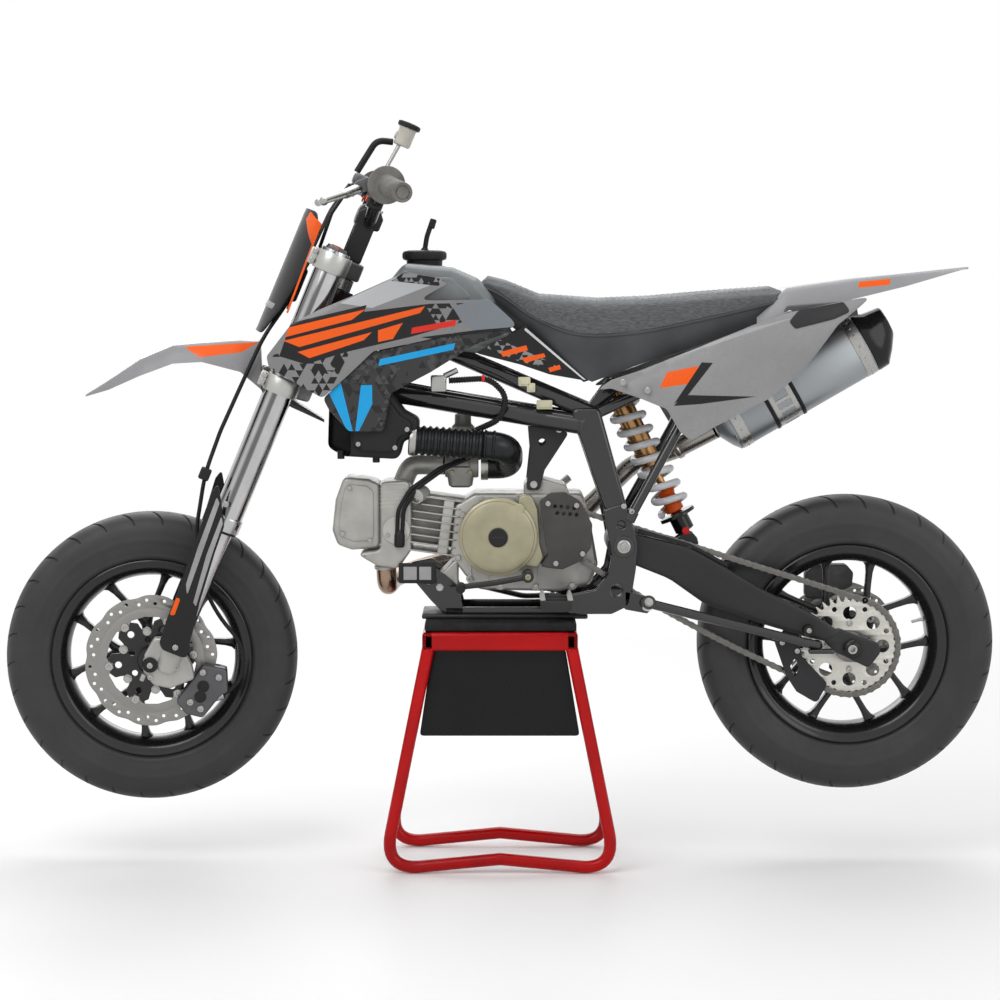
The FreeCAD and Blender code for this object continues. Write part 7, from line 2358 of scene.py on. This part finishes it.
        reach = (end - start).length
        can = Piece("silencer_can", finish="bright_metal")
        can.add(band(.0002, reach - .0002, -.0007, 0, .0013), "silencer_grey")
        for low, high in ((.002, .022), (reach - .022, reach - .002)):
            can.add(band(low, high, 0, .0008, .0006))
            rows = [on_can((low + high) / 2, TURN * k / 20, .0008) for k in range(20)]
            rivet = lathe([(0, .0008), (.0012, .0007), (.0019, .0003), (.0021, 0), (0, 0)], 14)
            rivet.transform(Y_TO_UP)
            can.scatter(rivet, rows, "bright_metal")
        for low in (.068, .118):
            can.add(band(low, low + .007, 0, .0018, .001), "hose_rubber")
        for low in (.0755, .109):
            can.add(band(low, low + .0089, 0, .0009, .0004))
        rows = [on_can(.0967, TURN * (k + .5) / 20, 0) for k in range(20)]
        can.scatter(block((-.0135, -.0032, -.0004), (.0135, .0032, .0009), .0004, 1), rows, "bright_metal")
        can.done("silencer")
        caps = Piece("silencer_end_pieces")
        cone_line = [
            (-.0262, .0172, .0172), (-.024, .0176, .0176), (-.012, .03, .04), (-.002, .037, .0528),
            (0, .0372, .053),
        ]
        caps.add(loft([ring(*row) for row in cone_line]), "silencer_grey")
        cap_line = [
            (reach, .0374, .0534, 0), (reach + .004, .038, .054, 0), (reach + .02, .0352, .049, -.004),
            (reach + .036, .0295, .0385, .004), (reach + .05, .0232, .0275, .013),
            (reach + .052, .0205, .024, .014),
        ]
        caps.add(loft([ring(*row) for row in cap_line]), "gloss_black")
        outlet_from = start + along * (reach + .03) + upright * .014
        outlet = lathe([
            (.0108, .01), (.0122, .01), (.0128, .012), (.0128, .0225), (.012, .0235), (.0108, .0225)
        ], 40, ring=True)
        caps.add(outlet, "bright_metal", towards(outlet_from, outlet_from + along))
        caps.done("silencer_caps")

    def wiring(self):
        """Leads, connectors and the ignition box, which the frame leaves to the scene."""
        loom = Piece("electric_loom", finish="bright_metal")
        for shift in (0, 9):
            lead = [
                at(-40 - shift, -40, 690), at(-92 - shift, -52, 668), at(-140 - shift, -62, 634),
                at(-160 - shift, -64, 600), at(-162 - shift, -62, 560),
            ]
            loom.add(tube(lead, .0034, .04, 14), "hose_rubber")
        loom.add(turned(at(-167, -62, 538), at(-166, -62, 566), [
            (.007, 0), (.0088, .1), (.0088, .75), (.005, 1)
        ], 24), "hose_rubber")
        line = bpy.data.meshes.new("line")
        route = arced(
            [at(-84, -84, 815), at(-18, -86, 819), at(12, -88, 790), at(2, -86, 752), at(-49, -60, 728)], .04,
            6,
        )
        line.from_pydata([tuple(p) for p in route], [(k, k + 1) for k in range(len(route) - 1)], [])
        skin = TREES["ribbed"].grown(
            line, Radius=.0048, Rib_height=.0007, Rib_pitch=.0042, Finish=FINISHES["hose_rubber"]
        )
        loom.add(skin, "hose_rubber")
        loom.add(turned(at(-30, -86, 818.3), at(-25, -86, 818.6), [(.0058, 0), (.0058, 1)], 16), "red_knob")
        for x, z, wide in ((30, 806, 20), (44, 796, 14), (60, 768, 26)):
            loom.add(block(at(x, -90, z), at(x + wide, -80, z + 15), .002), "connector_cream")
            loom.add(block(at(x + 3, -91.5, z + 3), at(x + wide - 3, -79, z + 12), .001), "connector_cream")
        loom.add(block(at(-114, -84, 796), at(-88, -76, 824), .003))
        loom.add(turned(at(-101, -84, 810), at(-101, -90, 810), [
            (.0095, 0), (.0095, .6), (.007, .65), (.007, 1)
        ], 28))
        loom.add(bar(at(-92, -80, 822), at(-70, -78, 832), .0048))
        loom.add(block(at(-168, -66, 478), at(-106, -61.5, 512), .002), "black_plastic")
        loom.add(block(at(-160, -67.2, 484), at(-138, -65.6, 506), .001), "guard_panel")
        loom.add(block(at(-134, -67.2, 484), at(-114, -65.6, 506), .001), "guard_panel")
        loom.add(bar(at(-138, -57, 612), at(-138, -63, 618), .0085))
        loom.add(bar(at(-126, -40, 628), at(-138, -63, 622), .012), "engine_silver")
        loom.done("engine_crankcase", replaced=False)


# Body

SEAT_SHARE = .985


class BIKE_OT_body(bpy.types.Operator):
    """Build the tank, its cap, the shrouds, the side panels, the seat and the rear fender"""

    bl_idname = "bike.body"
    bl_label = "Body"

    def execute(self, context):
        sizes = context.scene.bike_body
        self.tank()
        self.cap()
        self.shrouds(sizes)
        self.seat(sizes)
        self.side_panels(sizes)
        self.infill(sizes)
        self.rear_fender()
        return {"FINISHED"}

    def tank(self):
        piece = Piece("fuel_tank_shell", finish="tank_plastic")
        shape = sketch([
            (0, .22), (.13, .62), (.2, .84), (.27, 1), (.55, .96), (.7, .84), (.78, .66), (.9, .26), (.96, 0),
            (.5, .08), (.1, .18),
        ], (-236, 852), (286, 156))
        piece.add(plate(shape, -.0725, .0725, ease=.02, corner=.022, rounds=6))
        for s in SIDES:
            raised = [(-.19, .93), (-.16, .985), (-.08, .985), (-.04, .95), (-.08, .93)]
            piece.add(plate(raised, *both(s, .062, .0745), ease=.005, corner=.014, rounds=4))
        piece.done("fuel_tank")

    def cap(self):
        piece = Piece("fuel_cap_and_breather", finish="hose_rubber")
        profile = [
            (0, -1.0), (.0295, -1.0), (.03, -1.0125), (.036, -1.0145), (.0365, -1.017), (.0365, -1.0245),
            (.035, -1.0275), (.027, -1.0295), (.024, -1.027), (.008, -1.0268), (.006, -1.029), (0, -1.0295),
        ]
        spun = lathe(profile, 72)
        piece.add(spun, "black_plastic", Matrix.Translation((-.126, 0, 0)) @ Y_TO_DOWN)
        rows = rim_rows((-.126, 0, 1.0208), .0361, 36)
        piece.scatter(block((-.004, -.0012, -.0006), (.004, .0012, .0009), .0005, 1), rows, "black_plastic")
        piece.add(tube([at(-126, 0, 1027), at(-122, 0, 1052), at(-113, 0, 1078)], .0042, .06, 16))
        piece.add(
            turned(at(-126, 0, 1026), at(-125, 0, 1034), [(.0075, 0), (.007, .5), (.0044, 1)], 24),
        )
        piece.add(turned(at(-115, 0, 1066), at(-110.5, 0, 1081.5), [
            (.0042, 0), (.0056, .1), (.0056, .9), (.0045, 1)
        ], 24))
        piece.done("fuel_cap")

    def shrouds(self, sizes):
        upper = sketch([
            (.1, .59), (0, .33), (.01, .24), (.22, 0), (.31, .16), (.42, .37), (.68, .48), (1, .56),
            (.88, .78), (.59, .77), (.71, .9), (.69, .94), (.55, 1), (.45, .91), (.33, .8), (.21, .7),
        ], (-379, 788), (412, 205))
        upper_line = [(-.382, -.134), (-.3, -.136), (-.2, -.128), (-.12, -.112), (-.06, -.1), (.04, -.096)]
        lower = sketch([
            (0, .32), (.03, .21), (.13, 0), (.3, 0), (.34, .37), (.54, .57), (.76, .83), (1, 1), (.59, .9),
            (.25, .76), (.11, .51),
        ], (-288, 733), (325, 170))
        lower_line = [(-.292, -.131), (-.23, -.127), (-.17, -.12), (-.1, -.106), (-.04, -.096), (.04, -.091)]

        def upper_depth(x, z):
            fold = max(0, z - (.9 + (x + .379) * .16)) * .27
            return smooth_line(upper_line, x) + fold

        def lower_depth(x, z):
            return smooth_line(lower_line, x) + max(0, .8 - z) * .1

        for name, node, rim, depth, finish in (
            ("upper_shrouds", "shrouds_upper", upper, upper_depth, "upper_shroud"),
            ("lower_shrouds", "shrouds_lower", lower, lower_depth, "lower_shroud"),
        ):
            piece = Piece(name)
            panel = curved_panel(rim, depth, sizes.panel_wall, .01, .009, .0011)
            piece.add(mirrored(panel), finish)
            piece.add(panel, finish)
            if node == "shrouds_upper":
                for s in SIDES:
                    piece.add(bar((-.125, s * .0735, .972), (-.125, s * .096, .972), .0085), "black_plastic")
                    piece.bolt([((-.125, s * .0985, .972), ACROSS * s)], .006, kind=flange_bolt)
            piece.done(node)

    def seat(self, sizes):
        outline = sketch([
            (0, .91), (.03, 1), (.09, .96), (.2, .83), (.4, .79), (.57, .81), (.73, .85), (.97, .9), (1, .86),
            (.96, .66), (.91, .53), (.73, .35), (.57, .21), (.37, 0), (.15, .52), (.04, .77),
        ], (-36, 812), (499, 176))
        widths = [(-.06, .04), (0, .062), (.1, .092), (.25, .104), (.4, .092), (.48, .07)]
        seam = [(-.036, .972), (0, .955), (.06, .915), (.13, .89), (.22, .893), (.32, .912), (.463, .945)]
        piece = Piece("long_flat_seat", finish="seat_smooth")
        low, high = -.0355, .4625
        count = 64
        rings, edges = [], ([], [])
        for k in range(count + 1):
            x = low + (high - low) * k / count
            bottom, top = spans_at(outline, x)
            half = smooth_line(widths, x) * SEAT_SHARE
            if k in (0, count):
                half *= .93
            line = min(max(smooth_line(seam, x), bottom + .002), top - .004)
            crown = min(sizes.seat_crown, (top - line) * .55)
            shoulder = top - crown
            rim = [(-half * .9, bottom), (-half * .97, (bottom + line) / 2), (-half, line)]
            rim += [
                (-half * .985, shoulder - (shoulder - line) * .25), (-half * .9, shoulder + crown * .12),
                (-half * .72, top - crown * .3), (-half * .4, top - crown * .06),
            ]
            half_ring = through(rim, 4) + [(0, top)]
            ring = half_ring + [(-y, z) for y, z in reversed(half_ring[:-1])]
            rings.append([Vector((x, y, z)) for y, z in ring])
            edges[0].append(Vector((x, -half, line)))
            edges[1].append(Vector((x, half, line)))
        piece.add(loft(rings))
        for line in edges:
            piece.add(swept(line[1:-1], [.0022] * (count - 1), 10))
            rows = []
            reach = 0
            for a, b in zip(line[1:-1], line[2:-1]):
                length_here = (b - a).length
                while reach < length_here:
                    spot = a.lerp(b, reach / length_here)
                    lifted = spot + Vector((0, math.copysign(.0006, spot.y), .0044))
                    outward = Vector((0, math.copysign(1, spot.y), .2))
                    rows.append((lifted, outward, b - a))
                    reach += sizes.stitch_pitch
                reach -= length_here
            stitch = block((-.0013, -.0004, -.0003), (.0013, .0004, .0004), .0003, 1)
            piece.scatter(stitch, rows, "stitch_thread")
        crown = sizes.seat_crown
        x = low + .06
        while x < high - .02:
            _, top = spans_at(outline, x)
            half = smooth_line(widths, x) * SEAT_SHARE
            line = [
                (-half * .8, top - crown * .48), (-half * .66, top - crown * .22),
                (-half * .4, top - crown * .05), (0, top),
            ]
            smooth = through(line, 3)
            whole = smooth + [(-y, z) for y, z in reversed(smooth[:-1])]
            route = [Vector((x, y, z - .0014)) for y, z in whole]
            piece.add(swept(route, [.002] * len(route), 8), "seat_top")
            x += sizes.rib_pitch
        rim = [(-.01, .944), (.038, .909), (.15, .816), (.138, .812), (.026, .898), (-.022, .934)]
        for s in SIDES:
            piece.add(plate(rim, *both(s, .06, .07), ease=.001, corner=.002), "black_plastic")
        seat = piece.done("seat")

    def side_panels(self, sizes):
        shape = sketch([
            (0, .35), (.05, .36), (.16, .29), (.25, .22), (.3, .06), (.34, 0), (.42, .09), (.62, .29),
            (.74, .47), (.87, .8), (1, 1), (.9, .97), (.7, .89), (.56, .8), (.37, .65), (.16, .49),
            (.05, .42),
        ], (159, 718), (450, 235))
        line = [(.15, -.112), (.25, -.122), (.35, -.128), (.45, -.126), (.54, -.112), (.62, -.088)]

        def depth(x, z):
            middle = .8 + (x - .3) * .42
            return smooth_line(line, x) + min(.01, 3.2 * (z - middle) ** 2)

        piece = Piece("side_number_panels")
        panel = curved_panel(shape, depth, sizes.panel_wall, .01, .009, .0011)
        recess = [(.47, .912), (.486, .93), (.56, .944), (.572, .928), (.545, .916), (.48, .9)]
        patch = curved_panel(recess, lambda x, z: depth(x, z) - .002, .001, .006, .008, .0003)
        for part, finish in ((panel, "side_panel"), (patch, "dark_plastic")):
            piece.add(mirrored(part), finish)
            piece.add(part, finish)
        for s in SIDES:
            piece.add(bar((.24, s * .068, .8), (.24, s * .118, .8), .0078), "black_plastic")
            piece.bolt([((.2, s * .1195, .813), ACROSS * s), ((.24, s * .1235, .8), ACROSS * s)], .0052)
        piece.done("side_panels")

    def infill(self, sizes):
        panel_box = (-41, 814), (180, 86)
        shape = sketch([(0, .54), (.455, 1.05), (1.035, 0), (.68, .13), (.41, .32)], *panel_box)
        edge = sketch([(.462, 1.02), (1.015, .02), (.985, .035), (.447, .98)], *panel_box)
        piece = Piece("frame_infill_panels")
        for rim, lift, wall, finish in (
            (shape, 0, sizes.panel_wall, "infill_panel"), (edge, -.0016, .0008, "white_line")
        ):
            panel = curved_panel(rim, lambda x, z: -.0866 + lift, wall, .003, .009, .0003)
            piece.add(mirrored(panel), finish)
            piece.add(panel, finish)
        for s in SIDES:
            piece.add(bar((.006, s * .073, .868), (.006, s * .0858, .868), .0075), "black_plastic")
        piece.done("frame_infills")

    def rear_fender(self):
        piece = Piece("rear_fender_blade")
        shares = [
            (0, .22, 0, 1), (.14, .64, .2, 1), (.46, .8, .46, .86), (.69, .88, .66, .68), (.92, .97, .9, .46),
            (1, 1, .98, .34),
        ]
        piece.add(fender_mesh(shares, (.421, .905), (.356, .097), .092, .004, .8, 6), "rear_fender")
        base = [(.44, .902), (.47, .938), (.56, .945), (.59, .936), (.54, .93), (.48, .905)]
        for s in SIDES:
            piece.add(plate(base, *both(s, .07, .0905), ease=.004, corner=.008, rounds=3), "tail_grey")
            piece.bolt([((.474, s * .0905, .925), ACROSS * s)], .0052)
        piece.done("rear_fender")


# Paddock stand

class BIKE_OT_stand(bpy.types.Operator):
    """Build the red paddock stand with its panels and rubber pad"""

    bl_idname = "bike.stand"
    bl_label = "Paddock stand"

    def execute(self, context):
        piece = Piece("paddock_stand_frame", finish="stand_red")
        radius = .0103
        beads = []
        for s in SIDES:
            y = s * .108
            corners = [(-117, 382), (-193, 14), (0, 32), (193, 14), (117, 382)]
            route = arced([Vector((x / 1000, y, z / 1000)) for x, z in corners], .046, 12)
            lift = radius - min(p.z for p in route) + .0002
            route = [p + Vector((0, 0, lift * max(0, 1 - (p.z - .01) / .3))) for p in route]
            piece.add(swept(route, [radius] * len(route), 32))
            for x in (-.116, .116):
                beads.append(((x, y, .3735), (math.copysign(.2, -x), 0, -1)))
        for low, high in (
            (at(-128, -119, 372), at(128, -97, 402)), (at(-128, 97, 372), at(128, 119, 402)),
            (at(-128, -119, 372), at(-106, 119, 402)), (at(106, -119, 372), at(128, 119, 402)),
        ):
            piece.add(block(low, high, .006, 5))
        for place, normal in beads:
            rows, bead, size = weld(place, normal, .0106, .0034, 18)
            piece.scatter(bead, rows, "stand_red", size)
        piece.done("paddock_stand")
        panels = Piece("paddock_stand_panels")
        rim = sketch([(.08, 1), (.91, 1), (1, 0), (0, 0)], (-133, 228), (265, 144))
        for s in SIDES:
            panels.add(plate(rim, *both(s, .0942, .0978), ease=.0008, corner=.006), "panel_sheet")
        panels.done("paddock_panels")
        pad = Piece("paddock_stand_pad")
        pad.add(block(at(-124, -108, 402), at(126, 108, 418), .004, 4), "pad_rubber")
        rows = [(Vector((-.118 + k * .0148, 0, .4178)), UPWARD, ACROSS) for k in range(17)]
        rib = block((-.104, -.0022, -.001), (.104, .0022, .0004), .0006, 1)
        pad.scatter(rib, rows, "pad_rubber")
        pad.done("paddock_pad")
        return {"FINISHED"}


# Stage

AMBIENT = .42
FLOOR_RADIUS = 8
WHITE_FROM, WHITE_TO = 1.2, 3.2
CAMERA_PLACE = (0, -4.4, .947)
CAMERA_TILT = math.radians(85.645)
CAMERA_LENS = 94.54
SEEN_RAYS = ("Is Glossy Ray", "Is Transmission Ray")


class BIKE_OT_stage(bpy.types.Operator):
    """Set the floor, the world, the lights and the camera of the photo"""

    bl_idname = "bike.stage"
    bl_label = "Stage"

    def execute(self, context):
        scene = context.scene
        self.world(scene)
        floor = self.floor()
        lamps = [
            self.lamp("key_lamp", (-1.6, -2.6, 3.4), (0, 0, .5), 2.6, 62),
            self.lamp("fill_lamp", (2.8, -2.8, 2.0), (.2, 0, .5), 2.4, 26),
            self.lamp("top_lamp", (.2, .6, 3.6), (0, 0, .5), 3.0, 55),
            self.lamp("back_lamp", (-.6, 3.4, 2.2), (0, 0, .6), 3.0, 34),
        ]
        camera = self.camera(scene)
        return {"FINISHED"}

    def world(self, scene):
        world = bpy.data.worlds.new("studio")
        scene.world = world
        world.use_nodes = True
        tree = world.node_tree
        tree.nodes.clear()
        out = tree.nodes.new("ShaderNodeOutputWorld")
        mix = tree.nodes.new("ShaderNodeMixShader")
        seen, lit = tree.nodes.new("ShaderNodeBackground"), tree.nodes.new("ShaderNodeBackground")
        for sky, strength in ((seen, 1.0), (lit, AMBIENT)):
            sky.inputs["Color"].default_value = (1, 1, 1, 1)
            sky.inputs["Strength"].default_value = strength
        path = tree.nodes.new("ShaderNodeLightPath")
        seen_ray = path.outputs["Is Camera Ray"]
        for ray in SEEN_RAYS:
            add = tree.nodes.new("ShaderNodeMath")
            add.use_clamp = True
            tree.links.new(seen_ray, add.inputs[0])
            tree.links.new(path.outputs[ray], add.inputs[1])
            seen_ray = add.outputs[0]
        tree.links.new(seen_ray, mix.inputs[0])
        tree.links.new(lit.outputs[0], mix.inputs[1])
        tree.links.new(seen.outputs[0], mix.inputs[2])
        tree.links.new(mix.outputs[0], out.inputs[0])

    def floor(self):
        paint = Paint("studio_floor")
        reach = paint.add("ShaderNodeVectorMath", operation="LENGTH")
        paint.link(paint.place, reach.inputs[0])
        far = paint.spread(reach.outputs["Value"], WHITE_FROM, WHITE_TO)
        material = paint.finish((.93, .93, .93), paint.spread(paint.noise(3, 3), .3, .7, .5, .62), gloss=.25)
        glow = paint.add("ShaderNodeEmission")
        glow.inputs["Strength"].default_value = 1.0
        path = paint.add("ShaderNodeLightPath")
        seen_ray = path.outputs["Is Camera Ray"]
        for ray in SEEN_RAYS:
            seen_ray = paint.maths("ADD", seen_ray, path.outputs[ray], True)
        amount = paint.maths("MULTIPLY", far, seen_ray)
        mix = paint.add("ShaderNodeMixShader")
        paint.link(amount, mix.inputs[0])
        paint.tree.links.new(paint.shader.outputs[0], mix.inputs[1])
        paint.tree.links.new(glow.outputs[0], mix.inputs[2])
        out = paint.tree.nodes["Material Output"]
        paint.tree.links.new(mix.outputs[0], out.inputs["Surface"])
        turns = [TURN * k / 96 for k in range(96)]
        points = [(FLOOR_RADIUS * math.cos(turn), FLOOR_RADIUS * math.sin(turn), 0) for turn in turns]
        mesh = mesh_of(points, [list(range(len(points)))])
        mesh.materials.append(material)
        floor = bpy.data.objects.new("studio_floor", mesh)
        bpy.context.scene.collection.objects.link(floor)
        return floor

    def lamp(self, name, place, target, size, power):
        light = bpy.data.lights.new(name, "AREA")
        light.shape = "DISK"
        light.size = size
        light.energy = power
        lamp = bpy.data.objects.new(name, light)
        lamp.location = place
        lamp.rotation_euler = (Vector(target) - Vector(place)).to_track_quat("-Z", "Y").to_euler()
        bpy.context.scene.collection.objects.link(lamp)
        return lamp

    def camera(self, scene):
        lens = bpy.data.cameras.new("photo_camera")
        lens.lens = CAMERA_LENS
        lens.sensor_width = 36.0
        camera = bpy.data.objects.new("photo_camera", lens)
        camera.location = CAMERA_PLACE
        camera.rotation_euler = (CAMERA_TILT, 0, 0)
        scene.collection.objects.link(camera)
        scene.camera = camera
        scene.view_settings.view_transform = "Standard"
        return camera


class BIKE_PT_panel(bpy.types.Panel):
    """Sizes, colours and the buttons that build the pieces"""

    bl_idname = "BIKE_PT_panel"
    bl_label = "Dirt bike"
    bl_space_type = "VIEW_3D"
    bl_region_type = "UI"
    bl_category = "Dirt bike"

    def draw(self, context):
        layout = self.layout
        for group in (
            context.scene.bike_wheels, context.scene.bike_body, context.scene.bike_machine,
            context.scene.bike_colours,
        ):
            box = layout.box()
            for name in group.bl_rna.properties.keys():
                if name not in ("rna_type", "name"):
                    box.prop(group, name)
        for operator in PIECE_OPERATORS:
            layout.operator(operator.bl_idname)


GROUPS = (BikeWheelSizes, BikeBodySizes, BikeMachineSizes, BikeColours)
PIECE_OPERATORS = (
    BIKE_OT_front_wheel, BIKE_OT_rear_wheel, BIKE_OT_fork, BIKE_OT_cockpit, BIKE_OT_frame, BIKE_OT_engine,
    BIKE_OT_body, BIKE_OT_stand, BIKE_OT_stage,
)
CLASSES = (*GROUPS, *PIECE_OPERATORS, BIKE_PT_panel)


def register():
    for cls in CLASSES:
        bpy.utils.register_class(cls)
    bpy.types.Scene.bike_wheels = PointerProperty(type=BikeWheelSizes)
    bpy.types.Scene.bike_body = PointerProperty(type=BikeBodySizes)
    bpy.types.Scene.bike_machine = PointerProperty(type=BikeMachineSizes)
    bpy.types.Scene.bike_colours = PointerProperty(type=BikeColours)


def unregister():
    for name in ("bike_wheels", "bike_body", "bike_machine", "bike_colours"):
        delattr(bpy.types.Scene, name)
    for cls in reversed(CLASSES):
        bpy.utils.unregister_class(cls)


def main():
    register()
    make_finishes(bpy.context.scene.bike_colours)
    TREES.update(copies=copies_tree(), ribbed=ribbed_tree(), coil=coil_tree())
    bpy.ops.bike.front_wheel()
    bpy.ops.bike.rear_wheel()
    bpy.ops.bike.fork()
    bpy.ops.bike.cockpit()
    bpy.ops.bike.frame()
    bpy.ops.bike.engine()
    bpy.ops.bike.body()
    bpy.ops.bike.stand()
    bpy.ops.bike.stage()


if __name__ == "__main__":
    main()
